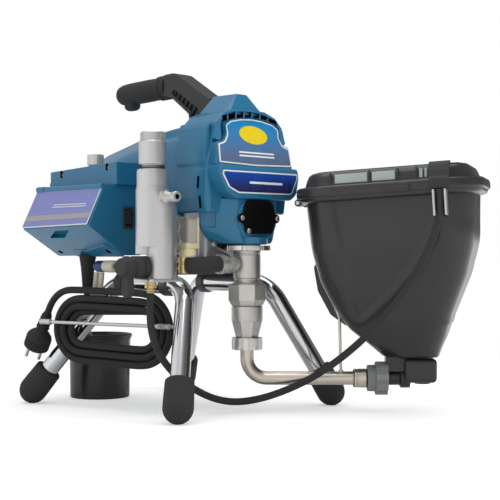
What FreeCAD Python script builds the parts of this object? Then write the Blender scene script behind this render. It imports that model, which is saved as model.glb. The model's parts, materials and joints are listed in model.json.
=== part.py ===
import FreeCAD, Part
import math
import os
import Sketcher
from FreeCAD import Placement, Rotation, Vector

# Airless paint sprayer on a tube stand. Millimetres, +Z up, the front faces -Y.
# Lengths are measured from the pump's axis and the floor; pump_x and pump_y put that axis in the frame.

SIZES = {
    # Place of the pump's axis, so that the origin is under the middle of the object
    "pump_x": -47.7,
    "pump_y": -34.7,
    "fit": 0.3,
    "seat": 0.1,
    # Stand
    "tube_dia": 27,
    "tube_wall": 1.6,
    "bar_x": 80,
    "bar_z": 180,
    "bar_front_y": 39,
    "bar_rear_y": 192,
    "bend_radius": 45,
    "foot_x": 149,
    "foot_front_y": -24,
    "foot_rear_y": 305.6,
    "ball_z": 20.5,
    "ball_radius": 21,
    "sleeve_radius": 19.8,
    "sleeve_length": 43,
    "sleeve_lip": 3,
    "plate_half": 88,
    "plate_front_y": 62,
    "plate_rear_y": 186,
    "plate_thick": 5,
    "clamp_width": 16,
    "clamp_wall": 3,
    # Cord wrap on the left hoop
    "wrap_dia": 5,
    "wrap_front_x": -120,
    "wrap_front_y": 30,
    "wrap_rear_x": -164,
    "wrap_rear_y": 262,
    "wrap_z": 124,
    "wrap_hook": 160,
    "wrap_cap_dia": 8,
    "wrap_cap_length": 20,
    "cap_gap": 4,
    # Drive housing and gear casing
    "drive_front_y": -20,
    "drive_rear_y": 23.8,
    "drive_half": 72,
    "drive_bottom_z": 237,
    "drive_top_z": 350,
    "crank_bay_half": 24,
    "crank_bay_rear_y": 18,
    "crank_bay_low_z": 251,
    "crank_bay_high_z": 338,
    "casing_front_y": 24,
    "casing_rear_y": 104,
    "casing_low_half": 71.5,
    "casing_half": 67,
    "casing_shoulder_z": 274,
    "casing_top_z": 366,
    "chamber_front_y": 60,
    "chamber_half": 64.5,
    "chamber_low_z": 258,
    "cover_thick": 6,
    "bearing_radius": 14,
    # Gears and shafts
    "crank_z": 300,
    "crank_throw": 8,
    "crank_pin_radius": 6,
    "crank_disc_radius": 18,
    "crank_disc_front_y": 2,
    "shaft_radius": 9,
    "motor_z": 325,
    "tooth": 1.25,
    "crank_teeth": 56,
    "small_teeth": 14,
    "middle_teeth": 44,
    "pinion_teeth": 12,
    "gear_width": 12,
    "gear_gap": 3,
    # Motor and fan
    "stator_radius": 50,
    "stator_bore": 31,
    "stator_length": 120,
    "rotor_radius": 30,
    "rotor_shaft_radius": 6,
    "bell_length": 18,
    "fan_radius": 52,
    "fan_length": 14,
    "fan_blades": 9,
    # Front shroud
    "shroud_wall": 3,
    "shroud_half": 77,
    "shroud_front_y": -13,
    "shroud_rear_y": 61,
    "shroud_bottom_z": 280,
    "shroud_crown_z": 425,
    "bulge_y": -27,
    "bulge_low_z": 300,
    "bulge_high_z": 338,
    "bulge_half": 74,
    # Motor shroud
    "rear_shroud_half": 75,
    "rear_shroud_front_y": 61.4,
    "rear_shroud_end_y": 326,
    "rear_shroud_low_z": 262,
    "casing_gate": 24,
    # Hump and handle
    "hump_half": 35,
    "hump_top_half": 10,
    "hump_top_z": 448,
    "hump_front_y": 2,
    "arm_half": 17,
    "grip_radius": 17,
    "grip_z": 473.5,
    "grip_front_y": 160,
    "grip_rear_y": 288.7,
    "grip_drop": 3.5,
    "collar_radius": 18.3,
    "collar_length": 22,
    # Badges and rod guard
    "badge_thick": 1.4,
    "guard_front_y": -24.5,
    "guard_half": 27.5,
    "guard_ear_half": 38,
    "guard_low_z": 250.7,
    "guard_high_z": 298,
    "guard_ear_z": 273,
    "screw_radius": 3.4,
    # Pump
    "cylinder_radius": 19,
    "cylinder_bore": 13.6,
    "cylinder_low_z": 185,
    "cylinder_high_z": 249,
    "jam_radius": 33,
    "jam_low_z": 227.7,
    "jam_high_z": 234.5,
    "jam_notches": 8,
    "block_half": 28,
    "block_low_z": 149.7,
    "block_high_z": 180.6,
    "groove_radius": 17,
    "valve_radius": 21.8,
    "valve_low_z": 127.2,
    "valve_foot_z": 106.2,
    "valve_foot_radius": 17.5,
    "nut_radius": 21.3,
    "nut_low_z": 89.3,
    "nut_high_z": 105.7,
    "nut_lobes": 10,
    "rod_radius": 7,
    "piston_radius": 13.3,
    "rod_low_z": 168,
    "yoke_z": 300,
    "ball_size": 8,
    "seat_bore": 5,
    # Suction line, along a line turned from the X axis
    "suction_angle": -44.3,
    "suction_z": 48.5,
    "suction_radius": 9.5,
    "suction_wall": 1.2,
    "suction_bend": 28,
    "suction_top_z": 95,
    "ferrule_radius": 13.3,
    "ferrule_start": 150,
    "union_start": 168.6,
    "union_radius": 19,
    "union_lobe_start": 180,
    "union_lobe_radius": 23.5,
    "union_end": 197,
    "union_lobes": 12,
    "outlet_tube_radius": 9.8,
    "outlet_block_start": 221.7,
    "outlet_block_end": 266.4,
    "outlet_block_half": 21,
    "outlet_block_low_z": 42,
    "outlet_block_top_z": 76.7,
    "support_dia": 4,
    "support_start": 132,
    # Hopper: its own axes stand on the outlet, turned by the yaw and then leaned
    "hopper_along": 244,
    "hopper_yaw": -59.7,
    "hopper_lean": -3.4,
    "hopper_wall": 3,
    "hopper_rise": 1.5,
    "hopper_shift": -24,
    "rim_length": 256,
    "rim_width": 190,
    "rim_low": 227.5,
    "rim_height": 8,
    "tub_radius": 32,
    "tub_top_length": 233,
    "tub_top_width": 176,
    "tub_mid_length": 200,
    "tub_mid_width": 150,
    "tub_mid_height": 113,
    "tub_knee_length": 139,
    "tub_knee_width": 112,
    "tub_knee_height": 47,
    "tub_low_length": 62,
    "tub_low_width": 50,
    "tub_low_height": 5,
    "lid_height": 27,
    "lid_wall": 3,
    "outlet_length": 40,
    "outlet_width": 44,
    "outlet_shift": -6,
    "strainer_length": 12,
    # Hose clip on the rim
    "clip_along": 75,
    "clip_width": 21,
    "clip_thick": 2.2,
    # Control box
    "box_front_y": 143,
    "box_rear_y": 302,
    "box_ledge_x": -141,
    "box_ledge_z": 328,
    "box_belly_x": -168.5,
    "box_belly_z": 263,
    "box_keel_x": -105,
    "box_keel_z": 221,
    "box_inner_x": -75.1,
    "box_wall": 3,
    "box_seam_z": 322,
    "box_top_x": -120,
    "box_top_z": 347,
    "box_top_front_y": 139,
    "label_thick": 1.2,
    "knob_x": -92,
    "knob_y": 228,
    "knob_radius": 12.5,
    "knob_height": 15,
    "knob_ribs": 24,
    "rocker_z": 275,
    "rocker_half": 6.5,
    "rocker_tall": 26,
    "rocker_x": -99,
    "relief_x": -105,
    "relief_y": 230,
    "relief_top_radius": 12,
    "relief_tip_radius": 7.5,
    "relief_length": 52,
    # Manifold
    "filter_x": -133,
    "column_x": -116,
    "column_y": 46.5,
    "filter_radius": 23.5,
    "column_radius": 21,
    "filter_low_z": 222,
    "column_low_z": 189,
    "column_top_z": 309.6,
    "neck_radius": 22,
    "neck_top_z": 338,
    "cap_radius": 17.5,
    "cap_low_z": 342.4,
    "cap_top_z": 388.3,
    "base_thick": 4.3,
    "base_left_x": -154,
    "filter_bore": 15,
    "nipple_z": 299,
    "nipple_hex": 18.6,
    "nipple_radius": 6.6,
    "nipple_bore": 3.2,
    "nipple_end_y": -12,
    "bracket_z": 250,
    # Prime valve
    "prime_z": 205,
    "prime_radius": 16,
    "prime_start_x": -137.2,
    "prime_knob_x": -156,
    "prime_end_x": -190,
    "lever_length": 45,
    # Inlet block, connecting hose
    "inlet_left_x": -94,
    "inlet_front_y": 20.8,
    "inlet_rear_y": 42,
    "inlet_low_z": 229,
    "inlet_high_z": 274,
    "inlet_collar_z": 218.3,
    "inlet_collar_radius": 12,
    "stem_x": -91.5,
    "stem_y": 31,
    "stem_radius": 6.9,
    "stem_low_z": 195.8,
    "hose_radius": 11,
    "swivel_z": 209,
    "swivel_radius": 12,
    # Drain fittings and cup
    "drain_x": -112,
    "drain_y": 184,
    "drain_z": 205,
    "drain_tube_radius": 4,
    "cup_x": -25,
    "cup_y": 305,
    "cup_top_radius": 49,
    "cup_low_radius": 46,
    "cup_height": 99,
    "cup_wall": 2.5,
    # Cords
    "cord_dia": 10,
    "coil_pitch": 11.4,
    "coil_layer": 10.8,
    "coil_turns": 2,
    "coil_start": 0.3,
    "coil_front_x": -103,
    "coil_front_y": 46,
    "coil_rear_x": -146,
    "coil_rear_y": 244,
    "coil_z": 116,
    "coil_half_height": 45,
    "return_dia": 10,
    "plug_radius": 19,
    "plug_neck_radius": 8,
}


class Size(float):
    """A number that keeps the formula of spreadsheet cells it comes from."""

    def __new__(cls, value, formula):
        number = float.__new__(cls, value)
        number.formula = formula
        return number

    def __add__(self, other):
        return joined(self, "+", other, float(self) + float(other))

    def __radd__(self, other):
        return joined(other, "+", self, float(other) + float(self))

    def __sub__(self, other):
        return joined(self, "-", other, float(self) - float(other))

    def __rsub__(self, other):
        return joined(other, "-", self, float(other) - float(self))

    def __mul__(self, other):
        return joined(self, "*", other, float(self) * float(other))

    def __rmul__(self, other):
        return joined(other, "*", self, float(other) * float(self))

    def __truediv__(self, other):
        return joined(self, "/", other, float(self) / float(other))

    def __neg__(self):
        return joined(0, "-", self, -float(self))


def formula_of(number):
    if isinstance(number, Size):
        return number.formula
    return "(%.6f)" % float(number)


def joined(left, sign, right, value):
    return Size(value, "(%s %s %s)" % (formula_of(left), sign, formula_of(right)))


def root(number):
    return Size(math.sqrt(number), "sqrt(%s)" % formula_of(number))


class Sheet:
    """The spreadsheet's sizes, read by name."""


def make_sheet(document):
    cells = document.addObject("Spreadsheet::Sheet", "Size")
    for row, (name, number) in enumerate(SIZES.items(), start=1):
        cells.set("A%d" % row, name.replace("_", " "))
        cells.set("B%d" % row, str(number))
        cells.setAlias("B%d" % row, name)
    document.recompute()
    sheet = Sheet()
    for name in SIZES:
        setattr(sheet, name, Size(cells.get(name), "Size.%s" % name))
    return sheet


doc = FreeCAD.newDocument("PaintSprayer")
size = make_sheet(doc)
nodes = {}


def bind(item, name, number):
    """Set a property and tie it to the sheet."""
    if isinstance(number, Size):
        item.setExpression(name, number.formula)
    elif "." not in name:
        setattr(item, name, float(number))
    else:
        item.setExpression(name, formula_of(number))


def place(item, x=0, y=0, z=0, rotation=None):
    """Put an item at a point measured from the pump's axis and the floor."""
    if rotation is not None:
        item.Placement = Placement(Vector(0, 0, 0), rotation)
    bind(item, "Placement.Base.x", size.pump_x + x)
    bind(item, "Placement.Base.y", size.pump_y + y)
    bind(item, "Placement.Base.z", z)
    return item


def node(item, name):
    item.Label = name
    nodes[name] = item
    return item


def piece(name):
    """A body that is part of a node."""
    body = doc.addObject("PartDesign::Body", name)
    body.Label = name
    return body


def new_body(name):
    """A body that is a node of its own."""
    return node(piece(name), name)


def bundle(name, items):
    """Separate pieces that share one node."""
    whole = doc.addObject("Part::Compound", name + "_pieces")
    whole.Links = items
    return node(whole, name)


def circle(x, y, radius):
    return ("circle", x, y, radius)


def rectangle(low_x, low_y, high_x, high_y):
    return [(low_x, low_y), (high_x, low_y), (high_x, high_y), (low_x, high_y)]


def rounded(length, width, radius, shift=0):
    """A rectangle about a point on the X axis, with round corners."""
    x, y = length / 2, width / 2
    return [
        (shift + x - radius, -y, radius), (shift + x, radius - y),
        (shift + x, y - radius, radius), (shift + x - radius, y),
        (shift - x + radius, y, radius), (shift - x, y - radius),
        (shift - x, radius - y, radius), (shift - x + radius, -y),
    ]


def fix_point(sketch, geometry, corner, x, y):
    for kind, number in (("DistanceX", x), ("DistanceY", y)):
        index = sketch.addConstraint(Sketcher.Constraint(kind, -1, 1, geometry, corner, float(number)))
        if isinstance(number, Size):
            sketch.setExpression("Constraints[%d]" % index, number.formula)


def fix_radius(sketch, geometry, radius):
    index = sketch.addConstraint(Sketcher.Constraint("Radius", geometry, abs(float(radius))))
    if isinstance(radius, Size):
        sketch.setExpression("Constraints[%d]" % index, radius.formula)


def draw_circle(sketch, x, y, radius):
    centre = Vector(float(x), float(y), 0)
    index = sketch.addGeometry(Part.Circle(centre, Vector(0, 0, 1), float(radius)))
    fix_point(sketch, index, 3, x, y)
    fix_radius(sketch, index, radius)


def draw_arc(sketch, start, end, radius):
    """An arc of under a half circle, with its centre on the left of the way from start to end."""
    half = (end - start) * 0.5
    rise = math.sqrt(max(radius * radius - half.Length ** 2, 0))
    centre = start + half + Vector(-half.y, half.x, 0).normalize() * rise
    ring = Part.Circle(centre, Vector(0, 0, 1), radius)
    first = math.atan2(start.y - centre.y, start.x - centre.x)
    last = math.atan2(end.y - centre.y, end.x - centre.x)
    return sketch.addGeometry(Part.ArcOfCircle(ring, first, last))


def draw_loop(sketch, points):
    """A closed outline; a third number at a point is the radius of the arc that leaves it."""
    corners = [Vector(float(p[0]), float(p[1]), 0) for p in points]
    edges = []
    for i, point in enumerate(points):
        start, end = corners[i], corners[(i + 1) % len(points)]
        if len(point) == 2:
            edges.append((sketch.addGeometry(Part.LineSegment(start, end)), 1, 2))
        elif float(point[2]) > 0:
            edges.append((draw_arc(sketch, start, end, float(point[2])), 1, 2))
        else:
            edges.append((draw_arc(sketch, end, start, -float(point[2])), 2, 1))
    for i, (geometry, first, last) in enumerate(edges):
        following = edges[(i + 1) % len(edges)]
        sketch.addConstraint(Sketcher.Constraint("Coincident", geometry, last, following[0], following[1]))
    for (geometry, first, last), point in zip(edges, points):
        fix_point(sketch, geometry, first, point[0], point[1])
        if len(point) == 3:
            fix_radius(sketch, geometry, point[2])


def draw(body, name, plane, height, loops):
    """A sketch on one of the body's own planes, at a height along that plane's axis."""
    sketch = body.newObject("Sketcher::SketchObject", name)
    face = [f for f in body.Origin.OriginFeatures if f.Role == plane][0]
    sketch.AttachmentSupport = [(face, "")]
    sketch.MapMode = "FlatFace"
    along = -height if plane == "XZ_Plane" else height
    bind(sketch, "AttachmentOffset.Base.z", along)
    for loop in loops:
        if loop[0] == "circle":
            draw_circle(sketch, loop[1], loop[2], loop[3])
        else:
            draw_loop(sketch, loop)
    return sketch


def pad(body, name, plane, low, high, *loops):
    start = high if plane == "XZ_Plane" else low
    feature = body.newObject("PartDesign::Pad", name)
    feature.Profile = draw(body, name + "Sketch", plane, start, loops)
    bind(feature, "Length", high - low)
    return feature


def pocket(body, name, plane, low, high, *loops):
    start = low if plane == "XZ_Plane" else high
    feature = body.newObject("PartDesign::Pocket", name)
    feature.Profile = draw(body, name + "Sketch", plane, start, loops)
    bind(feature, "Length", high - low)
    return feature


def turn(body, name, points, kind="PartDesign::Revolution"):
    """Turn an outline of radius and height about the body's own Z axis."""
    sketch = draw(body, name + "Sketch", "XZ_Plane", 0, [points])
    feature = body.newObject(kind, name)
    feature.Profile = sketch
    feature.ReferenceAxis = (sketch, ["V_Axis"])
    feature.Angle = 360
    return feature


def loft(body, name, plane, sections, kind="PartDesign::AdditiveLoft"):
    """Straight walls through a row of outlines, each given as height and outline."""
    sketches = []
    for i, (height, points) in enumerate(sections):
        sketches.append(draw(body, "%sSection%d" % (name, i), plane, height, [points]))
    feature = body.newObject(kind, name)
    feature.Profile = sketches[0]
    feature.Sections = sketches[1:]
    feature.Ruled = True
    return feature


def ring_of(body, feature, count):
    """Repeat a feature about the body's own Z axis."""
    pattern = body.newObject("PartDesign::PolarPattern", feature.Name + "Ring")
    pattern.Originals = [feature]
    pattern.Axis = ([f for f in body.Origin.OriginFeatures if f.Role == "Z_Axis"][0], [""])
    pattern.Angle = 360
    pattern.Occurrences = int(float(count))
    body.Tip = pattern
    return pattern


def tube_points(outer, inner, low, high):
    return [(inner, low), (outer, low), (outer, high), (inner, high)]


def bar(start, end, radius, name):
    """A round bar between two points measured from the pump's axis."""
    rod = doc.addObject("Part::Cylinder", name)
    direction = Vector(*[float(b) - float(a) for a, b in zip(start, end)])
    bind(rod, "Radius", radius)
    rod.Height = direction.Length
    return place(rod, *start, Rotation(Vector(0, 0, 1), direction))


def box(name, low, high):
    item = doc.addObject("Part::Box", name)
    for side, a, b in zip(("Length", "Width", "Height"), low, high):
        bind(item, side, b - a)
    return place(item, *low)


def fuse(name, items):
    whole = doc.addObject("Part::MultiFuse", name)
    whole.Shapes = items
    return whole


def cut(name, base, tool):
    rest = doc.addObject("Part::Cut", name)
    rest.Base = base
    rest.Tool = tool
    return rest


def shaped(name, shapes):
    """Like pieces, or a piece shaped in code, in one feature placed at the pump's axis."""
    item = doc.addObject("Part::Feature", name)
    item.Shape = shapes if isinstance(shapes, Part.Shape) else Part.makeCompound(shapes)
    return place(item)


def group(name, shapes):
    return node(shaped(name, shapes), name)


def along(distance, z, side=0):
    """A point on the suction line, measured from the pump's axis."""
    angle = math.radians(size.suction_angle)
    x = distance * math.cos(angle) - side * math.sin(angle)
    y = distance * math.sin(angle) + side * math.cos(angle)
    return (x, y, z)


# Turns a body's Z axis to the world's X or Y axis, or to the suction line
AXIS_X = Rotation(Vector(0, 0, 1), Vector(1, 0, 0))
AXIS_LEFT = Rotation(Vector(0, 0, 1), Vector(-1, 0, 0))
AXIS_Y = Rotation(Vector(0, 0, 1), Vector(0, 1, 0))
AXIS_FRONT = Rotation(Vector(0, 0, 1), Vector(0, -1, 0))
SUCTION_TURN = Rotation(Vector(0, 0, 1), float(size.suction_angle))
SUCTION_AXIS = Rotation(Vector(0, 0, 1), Vector(*[float(v) for v in along(1, 0)]))


# Stand
def leg_hoop(name, side):
    """A bent tube: front leg, bar and rear leg in one plane that leans out from the bar."""
    body = new_body(name)
    fall = size.bar_z - size.ball_z
    splay = size.foot_x - size.bar_x
    drop = root(fall * fall + splay * splay)
    path = draw(body, name + "Path", "YZ_Plane", 0, [])
    corners = [
        ("foot_front", size.foot_front_y, -drop),
        ("bend_front", size.bar_front_y, 0),
        ("bend_rear", size.bar_rear_y, 0),
        ("foot_rear", size.foot_rear_y, -drop),
    ]
    points = [Vector(float(c[1]), float(c[2]), 0) for c in corners]
    for i in range(3):
        path.addGeometry(Part.LineSegment(points[i], points[i + 1]))
    for i in range(2):
        path.addConstraint(Sketcher.Constraint("Coincident", i, 2, i + 1, 1))
    for i, (label, y, z) in enumerate(corners):
        geometry, corner = (i, 1) if i < 3 else (2, 2)
        for kind, number in (("DistanceX", y), ("DistanceY", z)):
            index = path.addConstraint(
                Sketcher.Constraint(kind, -1, 1, geometry, corner, float(number)))
            path.renameConstraint(index, label + kind[-1])
    radius = float(size.bend_radius)
    for i in range(2):
        middle = points[i + 1]
        before = middle + (points[i] - middle) * 0.3
        after = middle + (points[i + 2] - middle) * 0.3
        path.fillet(i, i + 1, before, after, radius, True, True)
    arcs = [i for i, g in enumerate(path.Geometry) if g.TypeId == "Part::GeomArcOfCircle"]
    for i in arcs:
        fix_radius(path, i, size.bend_radius)
    for label, y, z in corners:
        for kind, number in (("X", y), ("Y", z)):
            if isinstance(number, Size):
                path.setExpression("Constraints.%s%s" % (label, kind), number.formula)
    ring = body.newObject("Sketcher::SketchObject", name + "Ring")
    doc.recompute()
    ring.AttachmentSupport = [(path, "Edge1")]
    ring.MapMode = "NormalToEdge"
    ring.MapPathParameter = 0
    draw_circle(ring, 0, 0, size.tube_dia / 2)
    draw_circle(ring, 0, 0, size.tube_dia / 2 - size.tube_wall)
    pipe = body.newObject("PartDesign::AdditivePipe", name + "Pipe")
    pipe.Profile = ring
    pipe.Spine = path
    lean = math.degrees(math.atan2(splay, fall))
    place(body, side * size.bar_x, 0, size.bar_z, Rotation(Vector(0, 1, 0), -side * lean))


def foot(name, side, foot_y, bend_y):
    """A rubber sleeve on the leg's end, with a ball below that is worn flat on the floor."""
    body = doc.addObject("PartDesign::Body", name + "_sleeve")
    bore = size.tube_dia / 2 + size.seat
    turn(body, name + "Turn", [
        (0, -size.ball_radius, size.ball_radius),
        (size.ball_radius, 0),
        (size.sleeve_radius, size.sleeve_length - size.sleeve_lip),
        (size.ball_radius, size.sleeve_length - size.sleeve_lip),
        (size.ball_radius, size.sleeve_length),
        (bore, size.sleeve_length),
        (bore, -size.seat),
        (0, -size.seat),
    ])
    up = Vector(-side * float(size.foot_x - size.bar_x), bend_y - foot_y, size.bar_z - size.ball_z)
    place(body, side * size.foot_x, foot_y, size.ball_z, Rotation(Vector(0, 0, 1), up))
    reach = size.ball_radius * 2
    below = (side * size.foot_x - reach, foot_y - reach, -size.ball_radius)
    above = (side * size.foot_x + reach, foot_y + reach, 0)
    return cut(name, body, box(name + "_floor", below, above))


def stand():
    leg_hoop("leg_hoop_left", -1)
    leg_hoop("leg_hoop_right", 1)
    feet = []
    for name, side in (("left", -1), ("right", 1)):
        feet.append(foot("foot_front_" + name, side, size.foot_front_y, size.bar_front_y))
        feet.append(foot("foot_rear_" + name, side, size.foot_rear_y, size.bar_rear_y))
    bundle("rubber_feet", feet)
    plate_z = size.bar_z + size.tube_dia / 2 + size.seat
    body = piece("carrier_plate")
    outline = rectangle(-size.plate_half, size.plate_front_y, size.plate_half, size.plate_rear_y)
    pad(body, "Plate", "XY_Plane", plate_z, plate_z + size.plate_thick, outline)
    place(body)
    clamps = []
    inner = size.tube_dia / 2 + size.seat
    outer = inner + size.clamp_wall
    for side in (-1, 1):
        for y in (size.plate_front_y + 10, size.plate_rear_y - 24 - size.clamp_width):
            base = Vector(side * size.bar_x, y, size.bar_z)
            strap = Part.makeCylinder(outer, size.clamp_width, base, Vector(0, 1, 0))
            strap = strap.cut(Part.makeCylinder(inner, size.clamp_width, base, Vector(0, 1, 0)))
            corner = Vector(side * size.bar_x - outer, y, size.bar_z + size.tube_dia / 2)
            clamps.append(strap.cut(Part.makeBox(2 * outer, size.clamp_width, outer, corner)))
    bundle("chassis_plate", [body, shaped("saddle_clamps", clamps)])


def beside_leg(foot_y, bend_y, target, radius):
    """Where a level bar that runs to a target just touches the left hoop's leg."""
    down = (size.bar_z - size.wrap_z) / (size.bar_z - size.ball_z)
    middle = Vector(float(-size.bar_x - (size.foot_x - size.bar_x) * down),
                    float(bend_y + (foot_y - bend_y) * down), float(size.wrap_z))
    leg = Vector(float(size.bar_x - size.foot_x), float(foot_y - bend_y), float(size.ball_z - size.bar_z))
    away = Vector(target - middle).normalize()
    across = away.getAngle(leg)
    reach = (size.tube_dia / 2 + radius * abs(math.cos(across)) + size.seat) / math.sin(across)
    return middle + away * float(reach)


def cord_wrap():
    """A wire along the left hoop, held off the legs by two arms, with a cap on each end."""
    start = Vector(float(size.wrap_front_x), float(size.wrap_front_y), float(size.wrap_z))
    end = Vector(float(size.wrap_rear_x), float(size.wrap_rear_y), float(size.wrap_z))
    way = Vector(end - start).normalize()
    radius = size.wrap_dia / 2
    front_hook = start + way * float(size.wrap_cap_length + size.cap_gap)
    rear_hook = start + way * float(size.wrap_hook)
    front_foot = beside_leg(size.foot_front_y, size.bar_front_y, front_hook, radius)
    rear_foot = beside_leg(size.foot_rear_y, size.bar_rear_y, rear_hook, radius)
    rod = fuse("cord_wrap_rod", [
        bar(start, end, radius, "wrap_rod"), bar(front_foot, front_hook, radius, "front_arm"),
        bar(rear_foot, rear_hook, radius, "rear_arm"),
    ])
    caps = []
    for point, out in ((end, way), (start, way * -1)):
        tip = point + out * 2
        base = tip - out * float(size.wrap_cap_length)
        cap = Part.makeCylinder(size.wrap_cap_dia / 2, size.wrap_cap_length, base, out)
        bore = Part.makeCylinder(radius + size.seat, size.wrap_cap_length - 2 + size.seat, base, out)
        arm = Part.makeCylinder(radius + size.seat, (front_hook - front_foot).Length, front_foot,
                                front_hook - front_foot)
        caps.append(cap.cut([bore, arm]))
    bundle("cord_wrap", [rod, shaped("cord_wrap_caps", caps)])


def drive_outline(half, low, high):
    """The drive housing from the front: a rounded keel that widens to straight sides."""
    return [
        (-half * 0.65, low), (half * 0.65, low), (half * 0.83, low + 7), (half * 0.97, low + 23),
        (half, low + 63), (half, high - 12), (half * 0.8, high), (-half * 0.8, high),
        (-half, high - 12), (-half, low + 63), (-half * 0.97, low + 23), (-half * 0.83, low + 7),
    ]


def drive():
    body = new_body("drive_housing")
    outline = drive_outline(size.drive_half, size.drive_bottom_z, size.drive_top_z)
    pad(body, "Housing", "XZ_Plane", size.drive_front_y, size.drive_rear_y, outline)
    bay = rectangle(-size.crank_bay_half, size.crank_bay_low_z, size.crank_bay_half, size.crank_bay_high_z)
    pocket(body, "CrankBay", "XZ_Plane", size.drive_front_y, size.crank_bay_rear_y, bay)
    pocket(body, "ShaftHole", "XZ_Plane", size.crank_bay_rear_y, size.drive_rear_y,
           circle(0, size.crank_z, size.bearing_radius))
    pocket(body, "PumpThread", "XY_Plane", size.drive_bottom_z, size.crank_bay_low_z,
           circle(0, 0, size.cylinder_radius + size.seat))
    place(body)

    casing = piece("casing_shell")
    body = casing
    plate_top = size.bar_z + size.tube_dia / 2 + size.plate_thick + size.seat * 2
    low, wide = size.casing_half, size.casing_low_half
    shoulder = size.casing_shoulder_z
    pad(body, "Foot", "XZ_Plane", size.casing_front_y, size.casing_rear_y, [
        (-wide, plate_top), (wide, plate_top), (wide, shoulder), (low, shoulder + 6),
        (low, size.casing_top_z - 18), (low - 18, size.casing_top_z),
        (18 - low, size.casing_top_z), (-low, size.casing_top_z - 18),
        (-low, shoulder + 6), (-wide, shoulder),
    ])
    half, top = size.chamber_half, size.casing_top_z - 4
    pocket(body, "Chamber", "XZ_Plane", size.chamber_front_y, size.casing_rear_y, [
        (-half, size.chamber_low_z), (half, size.chamber_low_z), (half, top - 16), (half - 16, top),
        (16 - half, top), (-half, top - 16),
    ])
    pocket(body, "CrankBearing", "XZ_Plane", size.casing_front_y, size.chamber_front_y,
           circle(0, size.crank_z, size.bearing_radius))
    pocket(body, "HeelRelief", "XY_Plane", plate_top, size.chamber_low_z - 8,
           rectangle(-wide + 10, size.casing_front_y + 8, wide - 10, size.casing_rear_y - 8))
    pocket(body, "HoseGate", "XZ_Plane", size.casing_front_y, size.casing_front_y + 8,
           rectangle(-wide + 12, plate_top, wide - 12, plate_top + 24))
    pocket(body, "NutRelief", "XY_Plane", size.jam_low_z - 2, size.jam_high_z + 2,
           circle(0, 0, size.jam_radius + 1))
    place(body)
    bearing = piece("crank_bearing")
    turn(bearing, "Bearing", tube_points(size.bearing_radius - size.seat, size.shaft_radius + size.seat,
                                         size.casing_front_y + 6, size.chamber_front_y))
    place(bearing, 0, 0, size.crank_z, AXIS_Y)
    bundle("gear_casing", [casing, bearing])

    body = new_body("gear_cover")
    rear = size.casing_rear_y + size.seat
    low = size.casing_half
    pad(body, "Cover", "XZ_Plane", rear, rear + size.cover_thick, [
        (-low, size.casing_shoulder_z - 24), (low, size.casing_shoulder_z - 24),
        (low, size.casing_top_z - 18), (low - 18, size.casing_top_z),
        (18 - low, size.casing_top_z), (-low, size.casing_top_z - 18),
    ])
    pocket(body, "MotorBearing", "XZ_Plane", rear, rear + size.cover_thick,
           circle(0, size.motor_z, size.rotor_shaft_radius + 2.2))
    place(body)


def gear(body, name, teeth, low, high, hub):
    """A spur gear about the body's Z axis: a root disc and thin straight-sided teeth."""
    pitch = teeth * size.tooth / 2
    foot_radius = pitch - size.tooth * 1.25
    tip = pitch + size.tooth * 0.9
    pad(body, name + "Disc", "XY_Plane", low, high, circle(0, 0, foot_radius), circle(0, 0, hub))
    wide, narrow = size.tooth * 0.75, size.tooth * 0.3
    tooth = pad(body, name + "Tooth", "XY_Plane", low, high, [
        (foot_radius - 0.4, -wide), (tip, -narrow), (tip, narrow), (foot_radius - 0.4, wide),
    ])
    ring_of(body, tooth, teeth)


def mesh_turn(driver_teeth, driver_turn, towards, teeth):
    """The turn, in degrees, that sets a gear's teeth in the gaps of the gear it meshes with."""
    passed = (towards - driver_turn) * driver_teeth / 360
    own = (towards + 180) * teeth / 360
    return (own + passed - 0.5) % 1 * 360 / teeth


def about_y(angle):
    """A body drawn along Z, laid along Y and turned from X towards Z."""
    return Rotation(Vector(0, 1, 0), -angle).multiply(AXIS_Y)


def middle_shaft_place():
    """Where the middle shaft meshes with both the crank gear and the motor's pinion."""
    to_crank = (size.crank_teeth + size.small_teeth) * size.tooth / 2
    to_motor = (size.middle_teeth + size.pinion_teeth) * size.tooth / 2
    apart = size.motor_z - size.crank_z
    rise = (to_crank * to_crank - to_motor * to_motor + apart * apart) / (apart * 2)
    out = root(to_crank * to_crank - rise * rise)
    return out, size.crank_z + rise


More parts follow.
